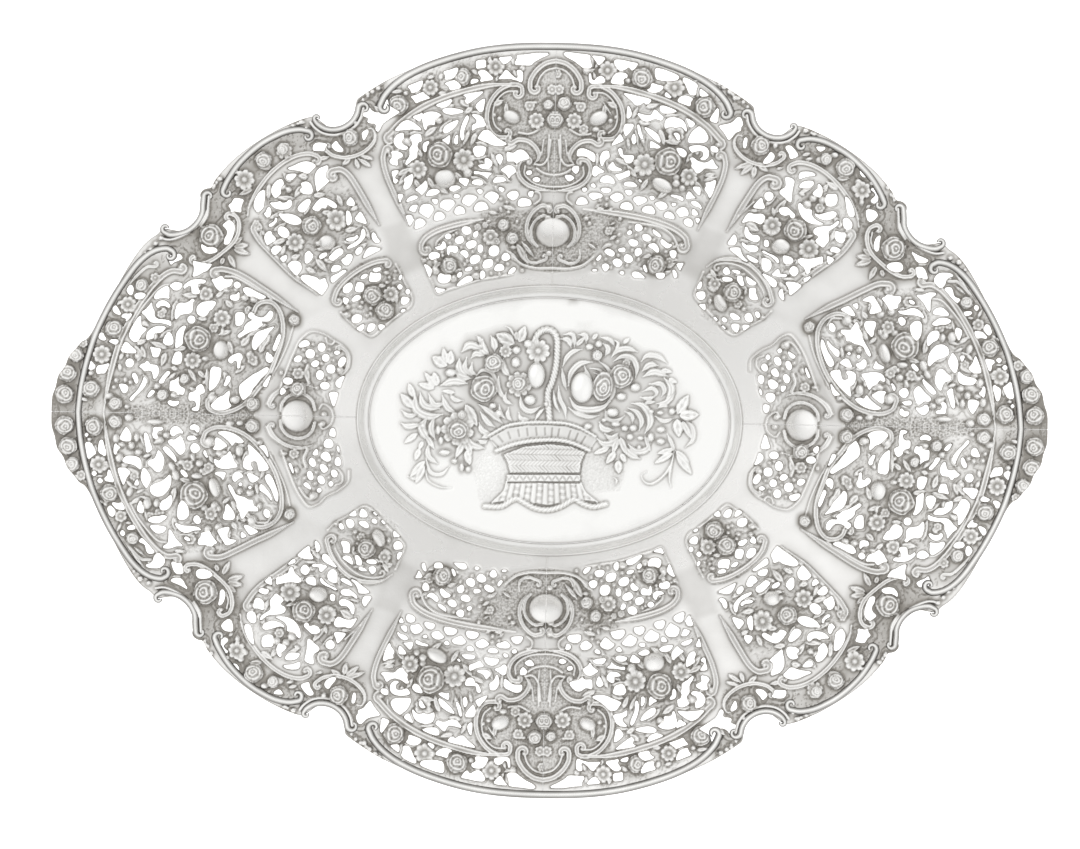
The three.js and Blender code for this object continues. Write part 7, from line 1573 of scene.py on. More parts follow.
LEAVES_B = [
    (14.8, 140.2, 12, 140, 2.2), (17, 141.4, 17.4, 144.8, 1.5), (17, 139.6, 15.4, 136.4, 1.7),
    (22.6, 137.2, 24, 134.6, 1.6), (26.6, 141.6, 26.4, 145, 1.8), (33.8, 139.2, 30.6, 137.4, 1.8),
    (41.4, 134.6, 37.6, 134.6, 1.6), (46.2, 134.8, 45.6, 138, 2), (53.4, 129.6, 57.4, 130.6, 1.8),
    (51.4, 135.6, 48, 136.6, 1.8), (47, 129.6, 43.4, 130, 1.8), (61, 130.4, 65.6, 129.6, 2),
    (67.4, 120.2, 72.4, 124.2, 2.6), (33, 124.4, 36.4, 121.8, 2.4), (38.2, 127, 34.2, 124.6, 2.4),
    (40, 125.4, 46, 123.4, 2), (33.6, 122.4, 29.2, 122.2, 1.6), (34, 115.6, 36.6, 109.2, 1.8),
    (31.4, 114.6, 33.6, 109.2, 2.2), (39, 115, 40.8, 109.4, 1.8), (46.6, 114, 41, 119.6, 2.4),
    (52, 112.6, 47, 116.6, 2.6), (50, 119.2, 45, 121.4, 1.6), (58.4, 113.4, 52.6, 113.8, 2),
    (59, 120.8, 55.2, 117.4, 2), (62.6, 115.8, 66.4, 108.6, 2.2), (26.6, 109, 32, 110.8, 2.2),
    (25.2, 106.6, 22.6, 101, 2.2), (24.8, 99.4, 30.6, 103.8, 2.6), (33.4, 104.6, 26.6, 105.4, 2.6),
    (20.6, 107.6, 14.6, 110.2, 2.2), (20.4, 101, 14.4, 101.8, 1.8), (23.2, 97.8, 16.8, 95.2, 2),
    (33.4, 97, 26.2, 94.2, 2.2), (52.6, 104.4, 56, 108.6, 2.2), (60.4, 103, 56.6, 100, 2.4),
    (62.6, 97, 57, 100, 2.4), (48, 93.6, 42, 90, 2.6), (50.6, 96.6, 47.4, 91.2, 2.2), (55.8, 95.4, 53.2, 91.6, 2.2),
    (62, 93, 59, 98.2, 2), (66.6, 104, 61.8, 107.2, 2.2), (39.6, 98.6, 35.4, 93.6, 2.4), (20.2, 91, 24.4, 93.8, 2),
    (20.2, 85.6, 14.8, 84.4, 2), (21.4, 85.6, 20.8, 82.8, 1.4), (26, 83.2, 21.8, 82.6, 1.6),
    (14.4, 70.8, 9.4, 62.4, 3), (12.4, 71.6, 7.2, 65.4, 1.8), (18.6, 68, 13.4, 63.4, 2.4),
    (94.4, 102.6, 89.6, 103.6, 2), (98, 95.2, 102.4, 96, 2.4), (100.6, 92, 103.6, 87, 2.4),
    (104.8, 93.2, 108.2, 97, 2.2), (113.6, 92.6, 113.8, 86, 2.4), (103.4, 86.8, 110.6, 87, 2.2),
    (96, 88, 91, 88.8, 2.4), (86.4, 88.6, 84.4, 84, 2.4), (92.6, 81.4, 88, 81.4, 2.4), (78, 84.2, 81.4, 82.6, 2),
    (83.4, 74.4, 78, 75.6, 2.4), (76, 76.6, 73.2, 71, 2.2), (84.2, 70, 78.2, 70, 1.6), (74.4, 69.8, 79.4, 66, 2),
    (84.6, 68.6, 89.6, 65.2, 1.8), (94.6, 63, 90.2, 58, 3), (98.6, 59.2, 94.4, 57.4, 2.4),
    (91.8, 62.8, 87.4, 61.8, 1.8), (90.6, 67.2, 95, 66.8, 1.6), (112, 68.6, 106.2, 70.6, 2.4),
    (108.4, 63.8, 106.8, 69, 1.8), (104.6, 63, 100.8, 64.4, 2.4), (111.8, 73.6, 106.4, 77.2, 2),
    (113.6, 78.4, 107.4, 81.8, 1.8), (99.4, 80.2, 97.4, 87, 2.2), (78, 99, 79.6, 103.4, 2.2),
    (73, 100, 78.6, 103.4, 2.2), (72, 103, 78.4, 104.6, 1.8), (84.6, 100.4, 80.8, 103.8, 2.2),
    (112.6, 98.8, 118, 98.8, 2.4), (125.6, 97, 128.4, 96.6, 1.6), (120, 90.2, 125.8, 87.6, 2.4),
    (127.6, 66.2, 120.6, 64.2, 2.8), (127.4, 67, 121, 68, 2.7), (127.4, 68, 123.8, 71, 2.2),
    (129.4, 64, 126.6, 58.4, 2.6), (131.2, 62.8, 132.4, 59.6, 2.2), (129, 29.6, 127.4, 23.8, 2.4),
    (128, 33.6, 133.2, 31.8, 2.2), (127.4, 42.8, 130.6, 45.8, 2.6), (134.4, 46.6, 131, 49.4, 2),
    (141.4, 47, 147.6, 47.6, 2.6), (142.6, 50.4, 140, 51.8, 1.6), (149.4, 45.6, 151.6, 36.6, 2.6),
    (137.4, 38, 141.6, 38.2, 2), (145.4, 26.6, 151, 25.4, 2.4), (153, 26, 160, 28.6, 2.6),
    (151.4, 33.6, 156.6, 30, 2), (163.6, 36.6, 160.2, 34.6, 2), (165.4, 27.4, 161, 29.4, 2.2),
    (161.8, 21.8, 163.4, 27, 2.2), (153.6, 24.6, 155.4, 18.6, 2.6), (151.6, 18.6, 148.6, 17.4, 2),
    (149.6, 16.2, 152.6, 13.8, 1.6), (141, 17.4, 138, 14.4, 2.2), (144.6, 18, 141.4, 12.6, 2.2),
    (137.4, 18.6, 137.2, 10, 1.6), (134.4, 9.2, 137.4, 4.2, 2.4), (130.8, 17.6, 127.6, 10.2, 2.2),
    (122.2, 20, 126.4, 16.4, 2), (124, 27.6, 120.6, 31.4, 3), (116.6, 24.8, 114.6, 30.6, 2.6),
    (115.4, 27.6, 112.4, 32.6, 2.6), (116, 34.6, 122.4, 31, 1.6), (117.6, 36, 113.4, 36.2, 1.6),
    (155.4, 42.2, 153.4, 40, 1.8), (160.4, 12, 162.6, 15.6, 1.6), (171.5, 16.4, 172, 20, 1.8),
    (170.6, 24, 172, 20.6, 1.8), (165, 20.6, 163, 24.4, 2), (144.4, 10.4, 141, 9.4, 1.4), (166, 27, 163, 22.6, 2),
    (171.6, 44.8, 173.4, 42.6, 1.4), (187, 5.4, 184, 4.6, 1.6), (19.6, 121.6, 19.6, 126.8, 2),
    (25, 125.4, 20.6, 127.4, 2.6), (44.8, 62.8, 48.4, 60, 1.8), (36.6, 60.4, 39.4, 58.4, 1.6),
    (97.6, 19, 97, 13, 1.6), (70, 52.8, 66.4, 53, 1.8), (74.4, 51.6, 75.2, 46, 2), (69.4, 40, 64.4, 41, 1.6),
    (62.4, 45.8, 62.8, 52.6, 1.8),
]
SCROLLS_B = [
    ([28, 80.2, 34, 78.9, 40, 77.4, 46, 75.4, 50.4, 72.8, 52.6, 70, 52.8, 67.8], 2.2, 1.1, True, None, (2.1, 250,
     -1)),
    ([38, 76.2, 41, 75, 44, 73.2, 46.4, 71, 46.8, 69.4], 1.3, 0.8, False, None, (1.2, 250, -1)),
    ([16, 58.6, 22, 57.4, 28, 56.3, 33, 54.9, 38, 53.1, 42.4, 51.6, 46, 50.2, 47.6, 53.6, 49.4, 57, 51, 60.4, 52.4,
     64], 0.9, 0.5, False),
    ([66.6, 63, 70.6, 62.3, 75, 60.5, 79.4, 57.7, 83.4, 54.3, 86.2, 50.6, 87.4, 47], 2.0, 1.2, True, (1.5, 240, 1),
     (1.8, 250, -1)),
    ([62.8, 61.5, 61.2, 58.6, 59.2, 54.4, 57, 50.6, 56, 47.6, 57, 44.6, 60.4, 42.2, 64.4, 39.2, 68.4, 35.4, 72,
     32.6, 75.4, 34.2, 79, 36.4, 82.4, 39.4, 84.4, 41.8], 1.0, 0.6, False),
    ([81, 20, 80.8, 24.6, 83.4, 28.4, 87.4, 30.8, 91, 33, 95.4, 34, 98.4, 32.6, 101, 29.6, 103.2, 25, 105, 20.4,
     107, 15, 108.6, 9], 1.0, 0.6, False),
    ([83.4, 17.6, 81.8, 19.6, 81.3, 23, 82.2, 26.2, 84.6, 28], 1.5, 0.9, True, (1.0, 230, 1), (1.2, 240, -1)),
    ([90.4, 31.4, 89.8, 29.6, 88, 29, 86.8, 30.2], 1.0, 0.6, False),
    ([94, 48.8, 98, 52, 104, 56.6, 109, 61.4, 113, 65.4, 117, 69.6, 119.6, 73.6], 2.4, 1.3, True, None, (1.9, 250,
     1)),
    ([102, 55.2, 107.4, 61, 112.4, 65.4, 115.8, 69.2, 116.8, 72.4], 1.1, 0.7, False, None, (1.0, 230, 1)),
    ([101.6, 41.6, 106, 44.4, 111, 47.6, 116, 50.8, 121, 54, 126, 56.6, 131, 58, 134.4, 57.8], 2.6, 1.3, True,
     None, (1.8, 250, -1)),
    ([112, 46.6, 118, 50.2, 123, 53.2, 127, 55, 130.4, 55.2], 1.3, 0.8, False),
    ([119, 41.6, 118, 43.8, 115.4, 45.4, 112, 45.2, 109.4, 42.8, 107.9, 39, 107.4, 34, 108.2, 29, 110, 23.6, 111.6,
     19, 113.8, 14.6, 117, 10.6, 120.6, 6, 124.6, 2.8, 129, 1, 133, 0.8, 136.4, 2.2, 137, 5], 1.9, 1.3, True, (1.9,
     250, 1), (1.4, 200, 1)),
]

# The floor of the well: the basket of flowers. The curls have x, y pairs and a width.

WELL_CURLS = [
    # to the right of the handle
    ([24.5, 26, 27, 28.8, 31, 29.6, 35, 28.4], 1.9), ([25.5, 24.4, 29, 26.4, 33, 25.6, 34.8, 22, 34.4, 18], 2.0),
    ([36.6, 24.5, 39, 27, 43.5, 26.6, 47, 24], 1.9), ([37, 20.6, 40, 23.2, 43.4, 23], 2.0),
    ([37.4, 18.4, 42, 20.4, 47.4, 18.8], 2.2), ([46, 18, 48.8, 14.6, 48.4, 10.6, 46, 8.4], 2.3),
    ([40, 15.4, 44.6, 15.6, 46.2, 13, 45, 10.4], 1.7), ([37.4, 12.4, 41, 13.8, 43, 12.2, 42, 9.8], 1.5),
    ([36.5, 10, 40, 9.6, 42.4, 10.8], 1.4), ([43, 7.6, 47, 8.2, 50.4, 12], 1.8),
    ([33, 7.6, 37.4, 6.8, 40.2, 3.4, 40.6, -0.6, 38.6, -4.4], 2.3),
    ([31.6, 5.6, 35.2, 4, 37.2, 0.4, 36.2, -3.4], 1.8), ([30.4, 4.2, 33.2, 2.6, 33.6, -0.4], 1.4),
    ([22.4, 5, 23.2, 1.4, 27, 0.4, 30.4, 2.6], 1.4), ([20.2, -0.2, 21.8, -3, 25.8, -3.4], 2.1),
    ([22.4, -5, 25.2, -6.6, 28, -4.4], 1.7), ([19.4, -7, 22, -9, 25.6, -8.6, 27.6, -6], 2.1),
    ([32, -9, 35, -11.8, 39, -11.2, 41, -8.4], 2.1), ([29.8, -9, 32.6, -12.8, 36.8, -14.8], 2.0),
    ([42.6, 2.6, 46, 0.6, 50, 1.8], 1.5), ([43.4, 5.6, 45.6, 7, 48, 6.4], 1.4),
    ([54, 1.6, 57.6, -1.6, 58, -6.4, 55, -9.8], 1.6),
    ([50.6, -10.4, 49.6, -16, 46.6, -21.2, 42, -24.6, 38.8, -24, 37.6, -21.4, 39.4, -20], 1.0),
    ([50.4, -12, 48.8, -22, 49.6, -26], 0.9), ([47.6, -4.4, 49.6, -8.6, 50.6, -12], 1.5),
    ([26.4, -22.4, 27.6, -23.6, 27, -25.4], 0.9),
    # the peony and the petals round it
    ([5, 22, 6.4, 25.4, 9, 28, 12.6, 29], 1.7), ([4.6, 21, 5.6, 16, 6.6, 12.6], 1.5),
    ([7.4, 14, 8.4, 19.4, 12, 23.2, 17, 24], 2.0), ([13.8, 22, 15, 18.6, 17, 13, 19.4, 9.6], 2.2),
    ([16, 21.4, 20, 20.6, 23.2, 16.4, 24.2, 12, 21.8, 9.8, 19.6, 11.6], 1.6),
    ([17.6, 19.6, 20, 18.4, 21.6, 14], 1.2), ([19, 24.6, 23, 21.6, 25.4, 16.6, 25.2, 10.4, 22, 6.8], 1.7),
    ([8, 9.4, 10.6, 5.6, 15.6, 4.6, 21, 5.6, 24.4, 8.2], 2.2), ([7.6, 5.4, 11, 3, 16, 1.8, 20, 2.4], 1.5),
    ([4, 33, 7, 32.6, 8.2, 29.6], 1.9), ([5.2, 34.8, 8.6, 35, 9.6, 32, 9.4, 29.8], 1.5),
    ([11, 34.8, 14, 34.6, 14.2, 31.6], 1.7), ([20, 34, 24, 33, 25.6, 30.4], 1.5),
    ([21, 31.6, 23.2, 29.4, 22, 26.4], 1.8), ([25.6, 33, 27.2, 31.6, 26, 28.6], 1.2),
    ([3.4, 14, 4, 9, 6, 5, 6.6, 1], 1.6), ([1.4, 12, 2.2, 7, 4, 3.6], 1.3),
    # to the left of the handle
    ([-27.6, 32.4, -27.4, 28.4, -24.6, 26], 2.6), ([-24.2, 33.6, -22.8, 31, -22.6, 27.6], 2.4),
    ([-30, 33.8, -28.8, 32.4, -28.4, 30.4], 1.4), ([-35.8, 27, -32.6, 29.8, -28, 28.4], 2.5),
    ([-36.8, 24.4, -36.6, 19.6, -33.2, 16.8], 2.5), ([-33.8, 25, -34.4, 20.6, -31.2, 17], 1.6),
    ([-32, 24.6, -30, 26.4, -26.8, 25.6], 2.0), ([-31.6, 22.8, -31.8, 19.4, -29.4, 17.6], 1.5),
    ([-38.4, 19.4, -36, 17, -31.6, 16.4], 2.0), ([-30.6, 16.4, -27.4, 19.8, -23.4, 18.6, -21.8, 13.4, -23, 8], 1.6),
    ([-44, 13.4, -39, 15.2, -33.4, 14.4], 2.6), ([-19, 24.6, -18.8, 20.6, -16.2, 17.4], 2.2),
    ([-20.8, 17.4, -20.8, 12.6, -18, 8], 1.8), ([-17.6, 11, -18, 8, -15, 6.2], 1.5),
    ([-12, 10.4, -11, 5.4, -7.6, 3.6, -3.6, 5.6], 1.8), ([-52.4, 10.4, -50.6, 5.2, -44.4, 4], 2.3),
    ([-49, 10, -46.4, 5.6, -42, 6.4], 1.8), ([-54.4, 10.2, -53.8, 3.6, -48.6, 0.8, -43, 1.8], 2.6),
    ([-49.6, 0, -51.4, -4, -48.6, -9], 2.6), ([-46.4, 0.4, -47.6, -4, -46, -8.4], 2.1),
    ([-40.6, 10.4, -38.4, 7.8, -35, 7.4], 1.6), ([-43.4, 9.4, -41.4, 4.6, -37.6, 2.4], 2.0),
    ([-33, -7, -31, -10.4, -26, -11.6], 2.2), ([-29, -8.4, -26.4, -9.2, -24.6, -8.2], 1.6),
    ([-48.6, -10, -48.6, -15, -44.8, -18.2], 1.9), ([-49.6, -16, -47.6, -21.6, -43.2, -22.4, -40, -19.2], 1.5),
    ([-56.6, -23.6, -53.8, -24.2, -51, -20.6], 1.4), ([-49.6, -20, -48.4, -25, -43.4, -27.6, -39, -27.8], 0.8),
    ([-60, -2, -57, -3.4, -52, -2.4], 2.0), ([-59.6, 3, -57, 1, -53.4, 1.2], 1.7),
    ([-28.6, 6, -24, 3, -19, -1.4], 2.0), ([-28, 3, -25, -1, -22, -3], 1.8),
    ([-28.4, -1.4, -27, -4.6, -23.6, -5.6], 2.0), ([-16.6, 5, -16.8, 1.6, -15, -0.6], 1.5),
    ([-12.4, 3, -11.4, 0.6, -8, 0.4], 1.6), ([-20.4, 6, -19.6, 2.4, -17.8, 0.4], 1.3),
    ([-18.4, 37.8, -16.4, 36.6, -14.6, 33], 1.0), ([-6, -0.2, -4, 3, -2, 5], 1.3),
]
WELL_LEAVES = [
    (27.8, -6, 25.6, -13.4, 2.8), (28.6, -6, 31.4, -13.6, 2.8), (24.4, -10.6, 17.6, -13.2, 2.6),
    (27, -12, 23, -17.2, 3.2), (29, -12.6, 31.2, -16.6, 2.6), (28, -15.4, 28.4, -21.2, 3.6),
    (51.4, 3.4, 56, 11.6, 4.4), (52.2, 2.8, 60.6, 3.6, 4.6), (51.4, 1.8, 52.4, -6, 4.4), (53.6, 1, 57.4, -6.6, 2.6),
    (50.4, -10.6, 43.4, -12.6, 2.6), (50.2, -12, 42.2, -16.8, 2.8), (51, -11, 57, -16.4, 2.8),
    (51.4, -12.4, 58, -21, 3.6), (-14.6, 30.6, -22.4, 34.6, 5.4), (-12.8, 31.2, -10.4, 38.2, 4.2),
    (-14, 32, -14, 36, 2), (-41.6, 21.2, -48, 25, 4.8), (-40.6, 21.6, -40.2, 27.8, 3.8), (-42, 22, -43.4, 29, 2.8),
    (-45.6, 13, -47, 19, 3.8), (-46.2, 12.6, -51, 19, 2.8), (-46.4, 12, -53.6, 14, 3), (-34, -8, -37.6, -16, 3.2),
    (-34, -8, -31, -14.6, 3.2), (-33.4, -12.6, -31.6, -18.8, 3.4), (-49.8, -17, -56, -24, 3.2),
    (-50, -19, -53.6, -26.6, 3), (-50.8, -9, -52.6, -13, 2.2), (-52, -12, -54, -17.4, 2.8),
    (-53, -6, -58.6, -10.4, 2.8), (-55, 4, -60.4, 10, 3.8), (-55, 8.4, -57, 14.4, 3.2), (-34, 6, -29, -3, 4.4),
    (-49.6, -7, -46, -12.6, 2.4), (44.6, 21.4, 49.6, 20.4, 2.2), (47.6, 18, 51.6, 16, 2),
    (10.4, 30.4, 13.6, 34, 2.2), (16.6, 33, 19, 35.6, 2), (29, 31.6, 32, 34, 2), (38, 7.8, 43, 8.4, 1.6),
    (38.6, -5.4, 41, -12, 1.8), (-38, 10.6, -44, 11.2, 2), (-23, -6, -27.6, -7.6, 2),
]
WELL_BERRIES = [
    (13, 13.6, 4.9, 6.4), (15.6, 30, 1.8, 1.5), (19.3, 31.2, 1.6), (34.4, 14, 2.2, 1.9), (28.8, 10.2, 2.2, 1.8),
    (25.4, 3.8, 2.6, 2), (26.8, -1, 2, 1.2), (30.4, -2.6, 1.6, 1.4), (33.8, -2.4, 1.7, 1.5), (32.6, -6, 1.6, 1.5),
    (36.8, -6.4, 1.5, 1.1), (41, -6, 1.5, 2), (45, -2.8, 2, 1.4), (45, -7.6, 1.9, 1.4), (49.4, 4.6, 1.6, 1.5),
    (41, 4.4, 1.3, 1), (44.6, 4, 1.6, 1), (-9.2, 30.8, 2, 1.9), (-13.8, 28.2, 1.9, 1.8), (-5.6, 18.2, 3.8, 5.5),
    (-14, 23.2, 2.1, 2.3), (-40.2, 18.6, 2.3, 1.8), (-42, -13.6, 2.5, 1.4), (-35, -19.4, 1.1, 1.9),
    (-32.4, -20.2, 1.2, 1.4), (-38, -17, 1.4, 1.2), (-8, 8.2, 2.6, 2.2), (-20.4, 2.6, 1.7), (-44.8, -4.6, 1.2, 2.2),
    (-43.6, -8.8, 1.2, 1.8), (15.6, -2, 1.8, 1.4), (22, 0.6, 1.2, 1), (-23, 5.6, 1.6, 1.4), (-1.4, 6.6, 1.2, 1.1),
    (36.4, -10, 1, 0.9), (-51, -3, 1, 1.2),
]
WELL_SHADED = [
    ([-34, 34, -20, 37, -4, 36, 12, 36, 24, 35, 36, 30, 48, 22, 44, 12, 46, 2, 40, -8, 26, -10, 22, -2, 6, 1, -14,
     1, -26, -6, -34, -2, -36, 10, -40, 20], 0.4),
    ([4, 30, 14, 31, 28, 24, 26, 4, 14, 0, 5, 3], 0.55), ([-33, 20, -20, 34, -6, 32, -2, 6, -20, 2, -32, 6], 0.45),
    ([7.6, 50, 9.8, 50, 9.8, 48, 7.6, 48], 0.9), ([22, 45.6, 33, 44, 33, 42, 24, 42.4], 0.16),
    ([9, 41, 16, 40, 15, 37, 10, 38], 0.2),
]
WELL_STIPPLED = [
    ([13, -14, 24, -13, 31, -20, 29, -28, 18, -29, 12, -24], 0.16),
    ([-18, -13, -28, -12, -31, -20, -28, -33, -20, -33, -16, -24], 0.12),
]
WELL_ROSES = [
    (28.6, 18.4, 4.8), (-22.9, 22.8, 3.8), (-26.8, 12.4, 5.4), (-12.5, 14.6, 3.4), (-35.4, 1.6, 2.0),
    (18.8, 26.6, 2.3), (-36.8, -4.6, 4.2),
]
WELL_DAISIES = [(-5, 28, 4.9), (-18.2, 27.6, 2.7), (-37, -4, 6.8), (-12.5, 14.4, 5.2), (30.6, 23.6, 1.8)]
HANDLE = [
    -6.6, 31.8, -5.2, 34.8, -2.4, 36.6, 0.6, 36, 2.4, 33, 2.6, 28, 2.2, 22, 0.9, 16, -0.8, 11.4, -0.6, 6.4, 0, 1,
]


def mark(relief, path, width, depth):
    """A chased line."""
    path = np.reshape(path, (-1, 2)).astype(float)
    window = relief.window(path[:, 0], path[:, 1], 3 * width)
    away, _ = path_distance(*relief.spots(window), path)
    relief.height[window] -= depth * np.exp(-(away / (0.5 * width)) ** 2)
    relief.darken(window, np.exp(-(away / (0.55 * width)) ** 2), 0.7)


def rope(relief, path, width, pitch, depth):
    """Slanting strands chased across a rounded cord."""
    heading = np.gradient(path, axis=0)
    heading /= np.linalg.norm(heading, axis=1)[:, None]
    run = np.concatenate([[0.0], np.cumsum(np.hypot(*np.diff(path, axis=0).T))])
    for place in np.arange(pitch, run[-1] - 0.5 * pitch, pitch):
        x, y, along_x, along_y = (np.interp(place, run, row) for row in (*path.T, *heading.T))
        side_x, side_y = 0.42 * width * (0.9 * along_x - along_y), 0.42 * width * (0.9 * along_y + along_x)
        mark(relief, [x - side_x, y - side_y, x + side_x, y + side_y], 0.6, depth)


def patch(relief, numbers):
    """The window of an outline, with each spot and its distance inside."""
    window, inside = relief.zone(numbers, 0.5)
    return window, *relief.spots(window), inside


def patina(relief, window, inside, share, amount):
    """Oxide over a patch alone, in place of what it held."""
    relief.tone[window] *= 1 - smooth(inside, -0.2, 0.2)
    relief.darken(window, smooth(inside, -0.1, 0.3) * share, amount)


# x, y pairs, width, lift
BASKET_ROLLS = [
    ([-25.4, -35, -19, -34.9, -15, -32.6, -12.4, -31.7, -9, -33.5, -5, -35.4, 0, -36, 5, -34.6, 9, -32.2, 11,
     -31.6, 14, -33.2, 18.4, -34.4, 23.4, -33.2], 2.5, 1.2),
    ([-16.8, -25, -18, -29, -22.4, -33.4], 1.0, 0.8), ([13.2, -25, 15, -28.6, 19.8, -32.4], 1.0, 0.8),
    ([-24.4, -6.6, -17, -2.4, -9, -1, 0, -0.7, 7, -1.1, 13, -3, 18.6, -6.2], 1.8, 1.2),
]
BASKET_SLOTS = [
    (-20.6, -6.6, -18.6, -9), (-16.6, -5, -15.6, -7.6), (-12.6, -4, -12, -6.6), (-9, -3.4, -8.6, -6.2),
    (-5.4, -3, -5, -6), (-1.8, -3, -1.6, -5.8), (1.2, -3, 1, -6), (4, -3.4, 3.6, -6), (8.6, -4, 7.8, -6.6),
    (11.6, -5, 10.6, -7.6), (14.6, -6.2, 13.2, -8.6), (-23, -8.6, -20.4, -11),
]


def roll(relief, numbers, width, lift):
    """A raised roll of the basket, roped unless it is thin."""
    path = curve(np.reshape(numbers, (-1, 2)))
    stroke(relief, path, width, lift)
    if width > 1:
        rope(relief, path, width, 1.7, 0.22)


def basket(relief):
    """The woven basket: rolls, a slotted band, plaited body, rope band and slatted foot on a wavy base."""
    window, x, y, inside = patch(relief, [
        -18.4, -14, -10, -10.6, 0, -9.4, 9, -10.2, 14.8, -12.4, 13, -17, 12.6, -21, -15.6, -21.4, -16.6, -17.4])
    lane = (y + WEAVE_START) / LANE_HEIGHT
    side = np.where(np.floor(lane) % 2 == 0, 1.0, -1.0)
    slant = (x + side * (y + WEAVE_START)) / STRAND_WIDTH
    plait = PLAIT_LIFT * np.sqrt(np.abs(np.sin(np.pi * slant)))
    lanes = np.exp(-((lane - np.round(lane)) / 0.07) ** 2)
    relief.lay(window, inside, 0.45 + plait * (1 - 0.5 * lanes), 0.4)
    gaps = np.maximum(np.maximum(0.9 * lanes, 0.3), (1 - plait / PLAIT_LIFT) ** 1.5)
    patina(relief, window, inside, gaps, 0.8)
    window, x, y, inside = patch(relief, [-17, -22, 12.8, -21.6, 13, -24.4, -16.8, -25])
    zigzag = np.abs((x / 2.9) % 1 * 2 - 1)
    line = np.exp(-((((y + 23.3) / 1.1) - (2 * zigzag - 1)) / 0.5) ** 2)
    relief.lay(window, inside, 1.0 - 0.5 * line, 0.2)
    patina(relief, window, inside, line, 0.5)
    window, x, y, inside = patch(relief, [
        -16.4, -25.4, 13, -25, 14.8, -28.8, 19.6, -32.4, 14, -32, 10.6, -30.4, 6, -33, 0, -34.2, -6, -33.6,
        -12.6, -30.4, -17, -32.8, -23, -33.8, -18.2, -29])
    fan = x * (1 + 0.014 * (y + 25))
    slat = np.abs(np.sin(np.pi * fan / SLAT_WIDTH))
    place = np.floor(fan / SLAT_WIDTH)
    rung = (np.sin(2 * np.pi * (y + 0.9 * place) / RUNG_GAP) > 0.2) & (place % 2 == 0)
    relief.lay(window, inside, 0.35 + 0.6 * np.sqrt(slat) - 0.22 * rung, 0.2)
    patina(relief, window, inside, np.maximum((1 - slat) ** 2, 0.22 + 0.2 * rung), 0.85)
    for numbers, width, lift in BASKET_ROLLS:
        roll(relief, numbers, width, lift)
    window, x, y, inside = patch(relief, [
        -24.2, -7.6, -17, -3.4, -9, -2, 0, -1.8, 7, -2.2, 13, -4, 19.4, -7.4, 17, -11, 11, -8.6, 6, -7, 0, -6.6,
        -8, -7.2, -15, -9, -21.4, -11.6])
    relief.lay(window, inside, 0.4 + 0.04 * np.sin(40 * x), 0.2)
    relief.darken(window, smooth(inside, -0.1, 0.3), 0.3)
    roll(relief, [-21.2, -12.6, -15, -10, -8, -8.4, 0, -7.7, 6, -8, 11, -9.4, 16.2, -11.6], 2.2, 1.3)
    for slot in BASKET_SLOTS:
        mark(relief, slot, 0.7, 0.45)


def well_relief():
    """The floor of the well with all that is pressed out of it."""
    relief = Relief((-74.0, -51.0), (74.0, 51.0), WELL_GRID_STEP)
    relief.keep(oval_line(FLOOR_LENGTH / 2 - WELL_PLAY, FLOOR_WIDTH / 2 - WELL_PLAY))
    for outline, depth in WELL_STIPPLED:
        stipple(relief, outline, depth)
    for outline, amount in WELL_SHADED:
        shaded(relief, outline, amount)
    for points, width in WELL_CURLS:
        path = curve(np.reshape(points, (-1, 2)))
        stroke(relief, path, 1.4 * width, 0.5 + 0.3 * width, (0.35, 0.3))
        if width > 1.3:
            mark(relief, path[len(path) // 8:], 0.7, 0.12 * width)
    for x0, y0, x1, y1, width in WELL_LEAVES:
        leaf(relief, x0, y0, x1, y1, width, lift=0.35 + 0.2 * width)
    basket(relief)
    handle = curve(np.reshape(HANDLE, (-1, 2)))
    stroke(relief, handle, HANDLE_WIDTH, 1.7)
    rope(relief, handle, HANDLE_WIDTH, 1.5, 0.4)
    for x, y, r in WELL_DAISIES:
        daisy(relief, x, y, r, petals=9)
    for x, y, r in WELL_ROSES:
        rose(relief, x, y, r, lift=min(1.8, 0.4 + 0.3 * r), turn=40 * x)
    rose(relief, 21.2, 14.2, 4.3, lift=1.6, squash=1.45, turn=-12, rings=3.4)
    for berry in WELL_BERRIES:
        fruit(relief, min(2.2, 0.45 + 0.5 * min(berry[2:4])), *berry)
    return relief


def well_surface(x, y, height):
    """Lifts plan spots to the flat floor."""
    return np.column_stack([x, y, FLOOR_TOP - BAR_LIFT + height])


# The collar's section: outwards and up from the floor's edge, and oxide with painted shade, darkest in the corner
# where it meets the floor
COLLAR_SECTION = [
    (-0.1, -1.0, 0.6), (-0.1, 0.1, 0.75), (0.25, 0.3, 0.35), (0.9, 0.55, 0.12), (2, 1.3, 0.1), (3, 2.3, 0.1),
    (3.6, 3.2, 0.12), (4.05, 3.9, 0.22), (4.5, 4.15, 0.3), (4.8, 3.7, 0.4), (4.4, 2.9, 0.4), (3.6, 1.5, 0.4),
    (2.4, 0.2, 0.4), (1.2, -0.7, 0.4),
]
# The foot's section, outwards from its middle line and up from the ground
FOOT_SECTION = [
    (-0.7, FOOT_HEIGHT), (-0.8, 2.6), (-1.1, 1.4), (-1.8, 0.5), (-1.9, 0.1), (-1.6, 0), (1.6, 0), (1.9, 0.1),
    (1.8, 0.5), (1.1, 1.4), (0.8, 2.6), (0.7, FOOT_HEIGHT),
]
FOOT_OXIDE = 0.12


